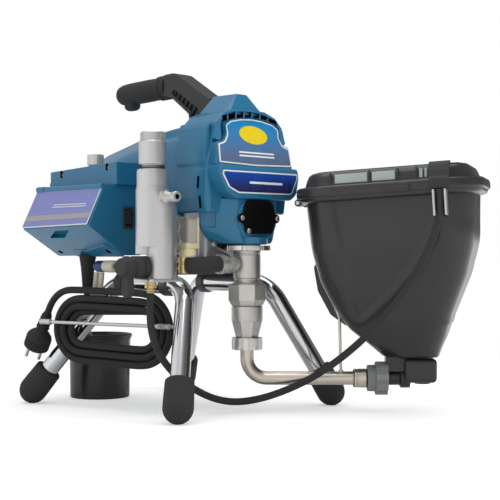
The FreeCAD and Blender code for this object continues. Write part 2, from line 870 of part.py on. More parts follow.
def gears():
    front_low = size.chamber_front_y + size.gear_gap
    front_high = front_low + size.gear_width
    rear_low = front_high + size.gear_gap
    rear_high = rear_low + size.gear_width
    middle_x, middle_z = middle_shaft_place()

    wheel = piece("crank_gear")
    gear(wheel, "CrankGear", size.crank_teeth, front_low, front_high, size.shaft_radius + size.seat)
    place(wheel, 0, 0, size.crank_z, AXIS_Y)

    body = piece("crank_and_pin")
    start = size.crank_disc_front_y
    turn(body, "Shaft", [
        (0, start), (size.crank_disc_radius, start), (size.crank_disc_radius, start + 8),
        (size.shaft_radius, start + 8), (size.shaft_radius, rear_low - 1), (0, rear_low - 1),
    ])
    pad(body, "CrankPin", "XY_Plane", start - 16, start, circle(size.crank_throw, 0, size.crank_pin_radius))
    place(body, 0, 0, size.crank_z, AXIS_Y)
    bundle("crankshaft", [wheel, body])

    to_middle = math.degrees(math.atan2(middle_z - size.crank_z, middle_x))
    middle_turn = mesh_turn(float(size.crank_teeth), 0, to_middle, float(size.small_teeth))
    to_motor = math.degrees(math.atan2(size.motor_z - middle_z, -middle_x))
    motor_turn = mesh_turn(float(size.middle_teeth), middle_turn, to_motor, float(size.pinion_teeth))

    body = new_body("middle_gear")
    gear(body, "MiddleBig", size.middle_teeth, rear_low, rear_high, size.fit * 5)
    gear(body, "MiddleSmall", size.small_teeth, front_low, rear_low, size.fit * 5)
    pad(body, "MiddleHub", "XY_Plane", size.chamber_front_y + size.fit, rear_high + 1,
        circle(0, 0, size.rotor_shaft_radius - 1.5))
    place(body, middle_x, 0, middle_z, about_y(middle_turn))

    body = new_body("motor_rotor")
    motor_start = size.casing_rear_y + size.cover_thick + size.seat * 2 + 12
    turn(body, "Rotor", [
        (0, rear_high + 2), (size.rotor_shaft_radius, rear_high + 2),
        (size.rotor_shaft_radius, motor_start), (size.rotor_radius, motor_start),
        (size.rotor_radius, motor_start + size.stator_length - 26),
        (size.rotor_shaft_radius, motor_start + size.stator_length - 26),
        (size.rotor_shaft_radius, motor_start + size.stator_length + 40),
        (0, motor_start + size.stator_length + 40),
    ])
    gear(body, "Pinion", size.pinion_teeth, rear_low, rear_high + 2.4, size.fit)
    place(body, 0, 0, size.motor_z, about_y(motor_turn))


def motor():
    front = size.casing_rear_y + size.cover_thick + size.seat * 2
    rear = front + size.stator_length
    stator = piece("stator_can")
    turn(stator, "Stator", tube_points(size.stator_radius, size.stator_bore, front, rear))
    place(stator, 0, 0, size.motor_z, AXIS_Y)

    body = piece("motor_end_bell")
    inner = size.rotor_shaft_radius + size.seat
    turn(body, "Bell", [
        (inner, rear + 8), (size.stator_bore, rear + size.seat),
        (size.stator_radius, rear + size.seat), (size.stator_radius - 6, rear + size.bell_length),
        (inner, rear + size.bell_length),
    ])
    place(body, 0, 0, size.motor_z, AXIS_Y)
    bundle("motor_stator", [stator, body])

    body = new_body("cooling_fan")
    low = rear + size.bell_length + 4
    hub = size.rotor_shaft_radius
    turn(body, "FanHub", [
        (hub + size.seat, low), (hub + 12, low), (hub + 12, low + size.fan_length),
        (hub + size.seat, low + size.fan_length),
    ])
    blade = pad(body, "Blade", "XY_Plane", low, low + size.fan_length,
                [(hub + 9, -1), (size.fan_radius, 6), (size.fan_radius, 8.4), (hub + 9, 1.4)])
    ring_of(body, blade, size.fan_blades)
    place(body, 0, 0, size.motor_z, AXIS_Y)


# Covers
def front_shroud_outline(wall):
    """The shroud from the front: straight sides, a step in and an arch over the top."""
    half, low, crown = size.shroud_half - wall, size.shroud_bottom_z, size.shroud_crown_z - wall
    return [
        (4 - half, low), (half - 4, low), (half, low + 20), (half, low + 66), (half - 6, low + 92),
        (half - 7, crown - 45), (half - 12, crown - 22), (half - 26, crown - 9),
        (half - 45, crown - 1.5), (0, crown), (45 - half, crown - 1.5), (26 - half, crown - 9),
        (12 - half, crown - 22), (7 - half, crown - 45), (6 - half, low + 92), (-half, low + 66),
        (-half, low + 20),
    ]


def front_shroud():
    body = new_body("front_shroud")
    wall = size.shroud_wall
    front, rear = size.shroud_front_y, size.shroud_rear_y
    pad(body, "Shroud", "XZ_Plane", front, rear, front_shroud_outline(0))
    half = size.bulge_half
    pad(body, "Bulge", "XZ_Plane", size.bulge_y, front + 4, [
        (-half * 0.7, size.bulge_low_z), (half * 0.7, size.bulge_low_z),
        (half, size.bulge_low_z + 20), (half, size.bulge_high_z - 4), (half - 5, size.bulge_high_z + 4),
        (5 - half, size.bulge_high_z + 4), (-half, size.bulge_high_z - 4), (-half, size.bulge_low_z + 20),
    ])
    pocket(body, "Inside", "XZ_Plane", front + wall + 10, rear, front_shroud_outline(wall))
    gate = size.drive_half + size.fit
    pocket(body, "DriveGate", "XZ_Plane", size.bulge_y + wall, rear,
           rectangle(-gate, size.shroud_bottom_z - 1, gate, size.drive_top_z + size.fit))
    for low, high, y in ((312, 330, 17), (285, 303, 13)):
        for side in (-1, 1):
            edge = sorted((side * (size.shroud_half - wall - 1), side * (size.shroud_half + 1)))
            pocket(body, "Slot%d%s" % (low, "LR"[side > 0]), "YZ_Plane", edge[0], edge[1],
                   rectangle(y - 2.4, low, y + 2.4, high))
    for i in range(7):
        x = (i - 3) * 17.5
        z = size.shroud_crown_z - 8 - abs(i - 3) ** 2 * 1.6
        pocket(body, "Vent%d" % i, "XZ_Plane", front, front + wall + 10.5,
               rectangle(x - 5.5, z - 5, x + 5.5, z))
    place(body)


def rear_outline(half, low, high, corner):
    return [
        (corner - half, low), (half - corner, low), (half, low + corner), (half, high - corner),
        (half - corner, high), (corner - half, high), (-half, high - corner), (-half, low + corner),
    ]


def motor_shroud():
    body = new_body("motor_shroud")
    wall = size.shroud_wall
    half, low = size.rear_shroud_half, size.rear_shroud_low_z
    front, end = size.rear_shroud_front_y, size.rear_shroud_end_y
    stations = [
        (front, half, low, 412, 24), (front + 114, half, low, 405, 28),
        (front + 178, half - 1, low + 2, 396, 30), (end - 26, half - 7, low + 12, 381, 32),
        (end, half - 20, low + 26, 369, 28),
    ]
    loft(body, "Shell", "XZ_Plane",
         [(y, rear_outline(w, z, top, corner)) for y, w, z, top, corner in stations])
    loft(body, "Hollow", "XZ_Plane",
         [(y - (wall if y > front else 0), rear_outline(w - wall, z + wall, top - wall, corner - wall / 2))
          for y, w, z, top, corner in stations], "PartDesign::SubtractiveLoft")
    gate = size.casing_low_half + size.fit
    cover_rear = size.casing_rear_y + size.seat + size.cover_thick + size.fit
    pocket(body, "CasingGate", "XY_Plane", low - 1, low + size.casing_gate,
           rectangle(-gate, front - 1, gate, cover_rear))
    for i in range(5):
        z = low + 52 + i * 12
        pocket(body, "Grille%d" % i, "XZ_Plane", end - wall - 1, end, rectangle(-38, z, 38, z + 5))
    place(body)


def hump_and_handle():
    """The hump on the shroud's top, the handle's arm that leaves it and the grip behind."""
    body = new_body("top_hump")
    base = size.shroud_crown_z - 1.2
    front = size.hump_front_y
    low = base + size.seat + 1.2
    loft(body, "Hump", "XY_Plane", [
        (low, rectangle(-size.hump_half, front, size.hump_half, front + 59.2)),
        (size.hump_top_z, rectangle(-size.hump_top_half, front + 9, size.hump_top_half, front + 54)),
    ])
    place(body)

    body = new_body("handle_arm")
    half = size.arm_half
    rise = size.hump_top_z
    front = size.hump_front_y + 59.4
    top = size.grip_z + size.grip_radius - 1
    root_z = size.shroud_crown_z - 12.5
    pad(body, "Arm", "YZ_Plane", -half, half, [
        (front, rise - 22), (front, rise), (front + 64, top), (front + 72, top + 1.4),
        (size.grip_front_y + 2, top), (size.grip_front_y + 2, top - 33.6), (front + 92, top - 34),
        (front + 52, root_z + 14.8), (front + 52, root_z + 2), (front + 16, root_z),
        (front, root_z + 0.6),
    ])
    depth = 7
    pocket(body, "Recess", "YZ_Plane", half - depth, half, [
        (front + 22, root_z + 22), (front + 42, root_z + 22), (front + 84, top - 30), (front + 76, top - 20),
    ])
    pocket(body, "RecessLeft", "YZ_Plane", -half, depth - half, [
        (front + 22, root_z + 22), (front + 42, root_z + 22), (front + 84, top - 30), (front + 76, top - 20),
    ])
    place(body)

    body = new_body("handle_grip")
    length = size.grip_rear_y - size.grip_front_y - 2
    radius = size.grip_radius
    turn(body, "Grip", [
        (0, size.fit * 2), (size.collar_radius, size.fit * 2), (size.collar_radius, size.collar_length),
        (radius - 1, size.collar_length + 1.5), (radius, size.collar_length + 26),
        (radius, length - 13, 13), (radius - 13, length), (0, length),
    ])
    fall = math.degrees(math.atan2(size.grip_drop, length))
    tilt = Rotation(Vector(0, 0, 1), Vector(0, math.cos(math.radians(fall)), -math.sin(math.radians(fall))))
    place(body, 0, size.grip_front_y + 2, size.grip_z, tilt)


def badges():
    plate = size.badge_thick
    upper = piece("upper_badge")
    body = upper
    face = size.shroud_front_y - size.seat
    pad(body, "Upper", "XZ_Plane", face - plate, face, [
        (-68, 351), (68, 351), (68, 372), (60, 374), (52, 382), (49, 391), (50, 400), (40, 406),
        (20, 409.5), (0, 410.5), (-20, 409.5), (-40, 406), (-50, 400), (-49, 391), (-52, 382),
        (-60, 374), (-68, 372),
    ])
    place(body)
    body = piece("lower_badge")
    face = size.bulge_y - size.seat
    pad(body, "Lower", "XZ_Plane", face - plate, face, [
        (-50, 307), (50, 307), (60, 312), (70, 334), (68, 336), (-68, 336), (-70, 334), (-60, 312),
    ])
    place(body)
    bundle("front_badges", [upper, body])


def rod_guard():
    body = new_body("rod_guard")
    low, high, ear = size.guard_low_z, size.guard_high_z, size.guard_ear_z
    half, wide = size.guard_half, size.guard_ear_half
    rear = size.drive_front_y - size.seat
    front = size.guard_front_y
    pad(body, "Guard", "XZ_Plane", front, rear, [
        (6 - half, low), (half - 6, low), (half, low + 6), (half, ear - 6), (wide, ear - 5),
        (wide, ear + 5), (half, ear + 6), (half, high - 8), (half - 8, high), (8 - half, high),
        (-half, high - 8), (-half, ear + 6), (-wide, ear + 5), (-wide, ear - 5), (-half, ear - 6),
        (-half, low + 6),
    ])
    for i, z in enumerate((low + 8, ear - 4, high - 15)):
        pocket(body, "GuardVent%d" % i, "XZ_Plane", front, rear, rectangle(-14, z, 14, z + 5))
    place(body)
    screws = []
    for x, z in ((-33, 273), (33, 273)):
        head = Part.makeCylinder(size.screw_radius, 2, Vector(x, front - 2 - size.seat, z), Vector(0, 1, 0))
        slot = Part.makeBox(1, 1, size.screw_radius * 2, Vector(x - 0.5, front - 2.2, z - size.screw_radius))
        screws.append(head.cut(slot))
    return shaped("guard_screws", screws)


# Pump
def pump():
    barrel = piece("cylinder_barrel")
    turn(barrel, "Cylinder", tube_points(size.cylinder_radius, size.cylinder_bore,
                                         size.cylinder_low_z, size.cylinder_high_z))
    place(barrel)

    body = new_body("jam_nut")
    turn(body, "Nut", tube_points(size.jam_radius, size.cylinder_radius + size.seat,
                                  size.jam_low_z, size.jam_high_z))
    notch = pocket(body, "Notch", "XY_Plane", size.jam_low_z, size.jam_high_z,
                   rectangle(size.jam_radius - 4, -4, size.jam_radius + 1, 4))
    ring_of(body, notch, size.jam_notches)
    place(body)

    body = piece("packing_nut")
    turn(body, "Packing", tube_points(size.cylinder_bore - size.seat, size.rod_radius + size.fit,
                                      size.cylinder_high_z - 12, size.cylinder_high_z - size.seat))
    place(body)
    bundle("pump_cylinder", [barrel, body])

    body = new_body("pump_block")
    half = size.block_half
    low, high = size.block_low_z, size.block_high_z
    pad(body, "Block", "XY_Plane", low, high, [
        (-half, -half * 0.577), (-half, half * 0.577), (0, half * 1.155), (half, half * 0.577),
        (half, -half * 0.577), (0, -half * 1.155),
    ])
    turn(body, "Waist", [
        (0, high - 1), (size.groove_radius, high - 1), (size.groove_radius, size.cylinder_low_z - size.seat),
        (0, size.cylinder_low_z - size.seat),
    ])
    turn(body, "Bore", [
        (0, low), (size.cylinder_bore, low), (size.cylinder_bore, size.cylinder_low_z),
        (0, size.cylinder_low_z),
    ], "PartDesign::Groove")
    place(body)

    housing = piece("valve_housing")
    body = housing
    top = low - size.seat
    turn(body, "Valve", [
        (size.valve_foot_radius - 7, size.valve_foot_z), (size.valve_foot_radius, size.valve_foot_z),
        (size.valve_radius, size.valve_low_z), (size.valve_radius, top - 8), (size.valve_radius + 2, top - 6),
        (size.valve_radius + 2, top), (size.cylinder_bore, top), (size.cylinder_bore, top - 18),
        (size.valve_foot_radius - 7, top - 26),
    ])
    place(body)

    body = new_body("inlet_ball")
    ball = size.ball_size
    turn(body, "Ball", [(0, -ball, ball), (ball, 0, ball), (0, ball)])
    seat_z = top - 18 + 1.5
    place(body, 0, 0, seat_z + root(ball * ball - size.seat_bore * size.seat_bore) + size.fit)

    body = piece("ball_seat")
    turn(body, "Seat", tube_points(size.cylinder_bore - size.seat, size.seat_bore,
                                    top - 18 + size.seat, seat_z))
    place(body)
    bundle("foot_valve", [housing, body])

    rod = piece("pump_rod")
    body = rod
    eye = size.crank_throw + size.crank_pin_radius + size.fit * 2
    tall = eye + size.crank_throw
    wall = 5
    rod_top = size.yoke_z - tall - wall - size.fit
    turn(body, "Rod", [
        (0, size.rod_low_z), (size.piston_radius, size.rod_low_z),
        (size.piston_radius, size.rod_low_z + 16), (size.rod_radius, size.rod_low_z + 18),
        (size.rod_radius, rod_top), (0, rod_top),
    ])
    place(body)

    body = piece("connecting_rod")
    front = size.drive_front_y + 5.5
    pad(body, "Eye", "XZ_Plane", front, front + 9,
        rectangle(-eye - wall, size.yoke_z - tall - wall, eye + wall, size.yoke_z + tall + wall),
        rectangle(-eye, size.yoke_z - tall, eye, size.yoke_z + tall))
    pad(body, "Foot", "XY_Plane", rod_top + size.seat, size.yoke_z - tall - 0.5,
        rectangle(-8, front, 8, size.crank_disc_front_y - size.fit * 2))
    place(body)
    bundle("piston_rod", [rod, body])

    body = new_body("inlet_nut")
    turn(body, "Collar", tube_points(size.nut_radius - 2.5, size.suction_radius + size.fit,
                                     size.nut_low_z, size.nut_high_z))
    lobe = pad(body, "Lobe", "XY_Plane", size.nut_low_z + 1.5, size.nut_high_z - 1.5,
               circle(size.nut_radius - 4.5, 0, 4.5))
    ring_of(body, lobe, size.nut_lobes)
    place(body)


def suction_line():
    radius, bend = size.suction_radius, size.suction_bend
    top = Vector(0, 0, size.suction_top_z)
    corner = Vector(0, 0, size.suction_z)
    way = Vector(*[float(v) for v in along(1, 0)])
    start = Vector(0, 0, size.suction_z + bend)
    finish = corner + way * bend
    middle = corner + (way + Vector(0, 0, 1)) * bend - (way + Vector(0, 0, 1)).normalize() * bend
    end = corner + way * (size.ferrule_start - size.seat)
    path = Part.Wire([
        Part.LineSegment(top, start).toShape(),
        Part.Arc(start, middle, finish).toShape(),
        Part.LineSegment(finish, end).toShape(),
    ])
    pipes = []
    for r in (radius, radius - size.suction_wall):
        ring = Part.Wire([Part.Circle(top, Vector(0, 0, 1), r).toShape()])
        pipes.append(path.makePipeShell([ring], True, False))
    pipe = shaped("bent_pipe", pipes[0].cut(pipes[1]))

    body = piece("suction_ferrule")
    turn(body, "Ferrule", [
        (radius - size.suction_wall, size.ferrule_start), (size.ferrule_radius, size.ferrule_start),
        (size.ferrule_radius, size.union_start - 1), (radius - size.suction_wall, size.union_start - 1),
    ])
    place(body, 0, 0, size.suction_z, SUCTION_AXIS)
    bundle("suction_pipe", [pipe, body, support_rod()])

    body = new_body("union_nut")
    turn(body, "Union", [
        (radius + 1, size.union_start), (size.union_radius, size.union_start),
        (size.union_radius, size.union_lobe_start), (size.union_lobe_radius - 3, size.union_lobe_start),
        (size.union_lobe_radius - 3, size.union_end), (size.outlet_tube_radius + size.fit, size.union_end),
        (size.outlet_tube_radius + size.fit, size.union_start + 3), (radius + 1, size.union_start + 3),
    ])
    lobe = pad(body, "UnionLobe", "XY_Plane", size.union_lobe_start + 1, size.union_end - 1,
               circle(size.union_lobe_radius - 5, 0, 5))
    ring_of(body, lobe, size.union_lobes)
    place(body, 0, 0, size.suction_z, SUCTION_AXIS)


def hopper_outlet():
    """The black foot under the hopper: a tube from the union nut and a block with a vertical way."""
    body = new_body("hopper_outlet")
    low = size.outlet_block_low_z
    start, end = size.outlet_block_start, size.outlet_block_end
    half = size.outlet_block_half
    top = size.outlet_block_top_z
    pad(body, "OutletBlock", "XY_Plane", low, top, rectangle(start, -half, end, half))
    pad(body, "OutletTube", "YZ_Plane", size.union_start + 4, start + 1,
        circle(0, size.suction_z, size.outlet_tube_radius), circle(0, size.suction_z, size.suction_radius - 3))
    pocket(body, "SideWay", "YZ_Plane", start, size.hopper_along + 6,
           circle(0, size.suction_z, size.suction_radius - 3))
    pocket(body, "DownWay", "XY_Plane", size.suction_z, top, circle(size.hopper_along, 0, 14))
    place(body, 0, 0, 0, SUCTION_TURN)


def support_rod():
    foot_point = along(size.support_start, size.suction_z + size.suction_radius + size.seat)
    knee = along(size.support_start - 2, 133)
    tip = along(size.support_start - 18, 172)
    radius = size.support_dia / 2
    lower = bar(foot_point, knee, radius, "support_lower")
    upper = bar(knee, tip, radius, "support_upper")
    joint = doc.addObject("Part::Sphere", "support_knee")
    bind(joint, "Radius", radius)
    place(joint, *knee)
    return fuse("support_rod", [lower, upper, joint])


def hopper_rotation():
    view = Vector(-math.sin(math.radians(size.suction_angle)), math.cos(math.radians(size.suction_angle)), 0)
    lean = Rotation(view, float(size.hopper_lean))
    return lean.multiply(Rotation(Vector(0, 0, 1), float(size.hopper_yaw)))


def in_hopper(body, shift=0):
    """Put a body drawn in the hopper's own axes on the outlet, or beside it along their X axis."""
    x, y, z = along(size.hopper_along, size.outlet_block_top_z + size.hopper_rise)
    aside = hopper_rotation().multVec(Vector(float(shift), 0, 0))
    return place(body, x + aside.x, y + aside.y, z + aside.z, hopper_rotation())


def tub_sections(wall):
    rows = [
        (0, size.outlet_length, size.outlet_width, size.outlet_shift, 12),
        (size.tub_low_height, size.tub_low_length, size.tub_low_width, -10, 16),
        (size.tub_knee_height - 20, size.tub_knee_length - 30, size.tub_knee_width - 26, -18.5, 20),
        (size.tub_knee_height, size.tub_knee_length, size.tub_knee_width, size.hopper_shift, 24),
        (size.tub_mid_height, size.tub_mid_length, size.tub_mid_width, size.hopper_shift, size.tub_radius),
        (size.tub_mid_height + 45, size.tub_mid_length + 23, size.tub_mid_width + 17,
         size.hopper_shift, size.tub_radius),
        (size.rim_low + 2, size.tub_top_length, size.tub_top_width, size.hopper_shift, size.tub_radius),
    ]
    return [(z, rounded(length - wall * 2, width - wall * 2, radius - wall / 2, shift))
            for z, length, width, shift, radius in rows]


def hopper():
    wall, shift = size.hopper_wall, size.hopper_shift
    body = new_body("hopper_tub")
    loft(body, "Tub", "XY_Plane", tub_sections(0))
    rim_top = size.rim_low + size.rim_height
    pad(body, "Rim", "XY_Plane", size.rim_low, rim_top,
        rounded(size.rim_length, size.rim_width, size.tub_radius + 6, shift))
    loft(body, "TubHollow", "XY_Plane", tub_sections(wall), "PartDesign::SubtractiveLoft")
    inner = rounded(size.tub_top_length - wall * 2, size.tub_top_width - wall * 2,
                    size.tub_radius - wall / 2, shift)
    pocket(body, "Mouth", "XY_Plane", size.rim_low, rim_top + 1, inner)
    in_hopper(body)

    body = new_body("hopper_lid")
    low = rim_top + size.fit
    outer = rounded(size.rim_length - 6, size.rim_width - 6, size.tub_radius + 4, shift)
    pad(body, "Lid", "XY_Plane", low, low + size.lid_height, outer)
    inner = rounded(size.rim_length - 6 - size.lid_wall * 2, size.rim_width - 6 - size.lid_wall * 2,
                    size.tub_radius + 2, shift)
    pocket(body, "LidHollow", "XY_Plane", low, low + size.lid_height - size.lid_wall, inner)
    in_hopper(body)

    body = new_body("hopper_strainer")
    radius = size.outlet_length / 2 - wall - size.fit
    turn(body, "Strainer", [
        (radius - 2, size.fit), (radius, size.fit), (radius, size.strainer_length),
        (radius - 2, size.strainer_length),
    ])
    pad(body, "Mesh", "XY_Plane", size.fit, size.fit + 1.5, circle(0, 0, radius - 1))
    in_hopper(body, size.outlet_shift)

    body = new_body("hose_clip")
    front = -size.rim_width / 2 - size.seat
    thick, half = size.clip_thick, size.clip_width / 2
    x = shift + size.clip_along
    low = size.rim_low - 44
    pad(body, "Strap", "YZ_Plane", x - half, x + half, [
        (front - thick, low), (front, low), (front, rim_top + 14), (front + 2.4, rim_top + 16),
        (front + 2.4, rim_top + 18), (front - thick, rim_top + 16),
    ])
    pad(body, "Jaw", "XY_Plane", low + 6, low + 22, [
        (x - half, front - 10), (x - half + 3, front - 10), (x - half + 3, front), (x - half, front),
    ])
    pad(body, "JawRight", "XY_Plane", low + 6, low + 22, [
        (x + half - 3, front - 10), (x + half, front - 10), (x + half, front), (x + half - 3, front),
    ])
    in_hopper(body)


# Control box
def box_outline(inset):
    """The control box from the front: ledge, slanted label side, slanted underside and inner wall."""
    return [
        (size.box_inner_x - inset, size.box_keel_z + 22 + inset), (size.box_inner_x - inset, size.box_seam_z),
        (size.box_ledge_x + inset, size.box_seam_z), (size.box_ledge_x + inset, size.box_seam_z - 4 - inset),
        (size.box_belly_x + inset * 1.2, size.box_belly_z), (size.box_keel_x, size.box_keel_z + inset),
        (size.box_inner_x - inset - 8, size.box_keel_z + inset),
    ]


def control_box():
    wall = size.box_wall
    front, rear = size.box_front_y, size.box_rear_y
    body = new_body("control_box")
    pad(body, "Box", "XZ_Plane", front, rear, box_outline(0))
    pocket(body, "BoxHollow", "XZ_Plane", front + wall, rear - wall, box_outline(wall))
    rock = size.rocker_half + size.fit
    tall = size.rocker_tall / 2 + size.fit
    pocket(body, "RockerHole", "XZ_Plane", front, front + wall,
           rectangle(size.rocker_x - rock, size.rocker_z - tall, size.rocker_x + rock, size.rocker_z + tall))
    place(body)

    body = new_body("box_cover")
    seam = size.box_seam_z + size.seat
    low_y, high_y = size.box_top_front_y, size.box_rear_y
    pad(body, "Ledge", "XY_Plane", seam, size.box_ledge_z,
        rectangle(size.box_ledge_x, low_y - 16, size.box_inner_x, high_y))
    pad(body, "Raised", "XZ_Plane", low_y, high_y, [
        (size.box_top_x, size.box_ledge_z - 0.5), (size.box_inner_x, size.box_ledge_z - 0.5),
        (size.box_inner_x, size.box_top_z), (size.box_top_x + 3, size.box_top_z),
        (size.box_top_x, size.box_top_z - 3),
    ])
    pocket(body, "RaisedHollow", "XY_Plane", seam - 0.5, size.box_top_z - wall,
           rectangle(size.box_top_x + wall, low_y + wall, size.box_inner_x - wall, high_y - wall))
    pocket(body, "StemHole", "XY_Plane", size.box_top_z - wall, size.box_top_z + 1,
           circle(size.knob_x, size.knob_y, 4 + size.fit))
    place(body)

    body = new_body("label_panel")
    rise = size.box_seam_z - 4 - size.box_belly_z
    out = size.box_ledge_x - size.box_belly_x
    slope = root(rise * rise + out * out)
    lean = math.degrees(math.atan2(out, rise))
    pad(body, "Label", "YZ_Plane", -size.label_thick - size.seat, -size.seat,
        rectangle(front + 2, 3, rear - 2, slope - 2))
    place(body, size.box_belly_x, 0, size.box_belly_z, Rotation(Vector(0, 1, 0), lean))

    board = piece("printed_board")
    body = board
    pad(body, "Board", "XZ_Plane", front + 30, rear - 20, rectangle(-118, 240, -100, 242))
    pad(body, "Relay", "XZ_Plane", front + 40, front + 66, rectangle(-116, 241.5, -102, 258))
    pad(body, "Capacitor", "XZ_Plane", front + 84, front + 108, rectangle(-116, 241.5, -102, 268))
    pad(body, "Standoff", "XY_Plane", size.box_keel_z + wall + size.seat, 240.5,
        circle(-101, front + 36, 2.5))
    place(body)

    body = piece("pressure_potentiometer")
    can = size.box_top_z - wall - size.seat
    turn(body, "Can", [(0, can - 12), (9, can - 12), (9, can), (0, can)])
    place(body, size.knob_x, size.knob_y, 0)
    bundle("circuit_board", [board, body])

    body = new_body("pressure_knob")
    foot_z = size.box_top_z + size.fit
    turn(body, "Knob", [
        (0, foot_z), (size.knob_radius, foot_z), (size.knob_radius, foot_z + size.knob_height - 1.5),
        (size.knob_radius - 1.5, foot_z + size.knob_height), (0, foot_z + size.knob_height),
    ])
    turn(body, "Stem", [(0, can + size.fit), (4, can + size.fit), (4, foot_z + 1), (0, foot_z + 1)])
    groove = pocket(body, "Rib", "XY_Plane", foot_z, foot_z + size.knob_height,
                    rectangle(size.knob_radius - 0.8, -0.7, size.knob_radius + 1, 0.7))
    ring_of(body, groove, size.knob_ribs)
    place(body, size.knob_x, size.knob_y, 0)

    body = new_body("power_switch")
    half, reach = size.rocker_half, size.rocker_tall / 2
    pad(body, "Rocker", "YZ_Plane", -half, half, [
        (-1.5, -reach), (0, 0), (-3.5, reach), (2, reach - 1.5), (6, 4), (6, -4), (2, 1.5 - reach),
    ])
    place(body, size.rocker_x, front, size.rocker_z)

    body = piece("box_screws")
    for i, y in enumerate((front + 22, rear - 34)):
        pad(body, "CoverScrew%d" % i, "YZ_Plane", size.box_top_x - 1.2, size.box_top_x - size.seat,
            circle(y, size.box_top_z - 9, 3))
    screws = place(body)

    body = new_body("strain_relief")
    top = size.box_keel_z - size.seat
    turn(body, "Relief", [
        (0, top - size.relief_length), (size.relief_tip_radius, top - size.relief_length),
        (size.relief_top_radius, top), (0, top),
    ])
    place(body, size.relief_x, size.relief_y, 0)
    return screws


# Manifold
def stadium(radius_filter, radius_column):
    """The manifold from above: two round columns side by side."""
    filter_x, column_x, y = size.filter_x, size.column_x, size.column_y
    return [
        (filter_x, y + radius_filter, radius_filter), (filter_x - radius_filter, y, radius_filter),
        (filter_x, y - radius_filter), (column_x, y - radius_column, radius_column),
        (column_x + radius_column, y, radius_column), (column_x, y + radius_column),
    ]


def manifold():
    body = new_body("manifold")
    y = size.column_y
    pad(body, "Columns", "XY_Plane", size.filter_low_z, size.column_top_z,
        stadium(size.filter_radius, size.column_radius))
    pad(body, "Column", "XY_Plane", size.column_low_z, size.filter_low_z + 1,
        circle(size.column_x, y, size.column_radius))
    pad(body, "Neck", "XY_Plane", size.column_top_z - 1, size.neck_top_z,
        circle(size.filter_x, y, size.neck_radius))
    bore = size.filter_bore
    pocket(body, "FilterBore", "XY_Plane", size.filter_low_z + 12, size.neck_top_z,
           circle(size.filter_x, y, bore))
    pocket(body, "NippleHole", "XZ_Plane", y - size.filter_radius - 1, y - bore + 2,
           circle(size.filter_x, size.nipple_z, size.nipple_radius - 1))
    place(body)

    base = piece("manifold_base")
    body = base
    top = size.column_low_z - size.seat
    pad(body, "Base", "XY_Plane", top - size.base_thick, top,
        rectangle(size.base_left_x, y - 22, size.column_x + 21, y + 22))
    place(body)

    body = piece("casing_bracket")
    inner = -size.casing_low_half - size.seat
    pad(body, "Bracket", "XY_Plane", size.bracket_z - 8, size.bracket_z + 14,
        rectangle(size.column_x + size.column_radius + size.seat, y - 4, inner, y + 18))
    place(body)
    bundle("manifold_bracket", [base, body])

    body = new_body("filter_cap")
    low, top = size.cap_low_z, size.cap_top_z
    radius = size.cap_radius
    turn(body, "Cap", [
        (0, low), (radius, low), (radius, top - 1.5), (radius - 1.5, top), (0, top),
    ])
    turn(body, "Thread", [
        (0, size.neck_top_z - 12), (bore - size.fit, size.neck_top_z - 12), (bore - size.fit, low + 1),
        (0, low + 1),
    ])
    groove = pocket(body, "Knurl", "XY_Plane", top - 9, top, rectangle(radius - 0.6, -0.8, radius + 1, 0.8))
    ring_of(body, groove, 28)
    place(body, size.filter_x, y, 0)

    screen = piece("filter_screen")
    body = screen
    element_top = size.neck_top_z - 12 - size.fit
    turn(body, "Element", tube_points(bore - 5, bore - 7, size.filter_low_z + 24, element_top))
    place(body, size.filter_x, y, 0)

    body = piece("filter_spring")
    turn(body, "SpringSleeve", tube_points(bore - 5, bore - 7, size.filter_low_z + 12 + size.seat,
                                           size.filter_low_z + 24 - size.seat))
    place(body, size.filter_x, y, 0)
    bundle("filter_element", [screen, body])

    body = new_body("outlet_nipple")
    front = size.nipple_end_y
    face = y - size.filter_radius - size.seat
    bore = size.nipple_bore
    radius = size.nipple_radius
    turn(body, "Barrel", [
        (bore, -face), (radius + 1, -face), (radius + 1, -face + 9), (radius, -face + 9),
        (radius, -front), (bore, -front),
    ])
    hexagon = size.nipple_hex / 2
    pad(body, "Hexagon", "XY_Plane", -face, -face + 9, [
        (-hexagon, -hexagon * 0.577), (0, -hexagon * 1.155), (hexagon, -hexagon * 0.577),
        (hexagon, hexagon * 0.577), (0, hexagon * 1.155), (-hexagon, hexagon * 0.577),
    ])
    turn(body, "NippleBore", [(0, -face), (bore, -face), (bore, -front), (0, -front)], "PartDesign::Groove")
    place(body, size.filter_x, 0, size.nipple_z, AXIS_FRONT)


def prime_valve():
    y, z = size.column_y, size.prime_z
    body = new_body("prime_valve")
    start = -size.prime_start_x
    knob = -size.prime_knob_x
    radius = size.prime_radius
    turn(body, "ValveBody", [(0, start), (radius, start), (radius, knob), (0, knob)])
    place(body, 0, y, z, AXIS_LEFT)

    body = new_body("prime_lever")
    low = knob + size.fit
    end = -size.prime_end_x
    turn(body, "Hub", [
        (0, low), (radius + 1, low), (radius + 1, low + 14), (radius - 1, low + 16), (radius - 1, end - 2),
        (radius - 3, end), (0, end),
    ])
    pad(body, "Lever", "XY_Plane", end - 16, end - 4, [
        (-9, 0), (-8, -size.lever_length + 9), (-5, -size.lever_length), (5, -size.lever_length),
        (8, -size.lever_length + 9), (9, 0),
    ])
    doc.recompute()
    place(body, 0, y, z, Rotation(Vector(0, -1, 0), Vector(0, 0, 1), Vector(-1, 0, 0), "ZXY"))


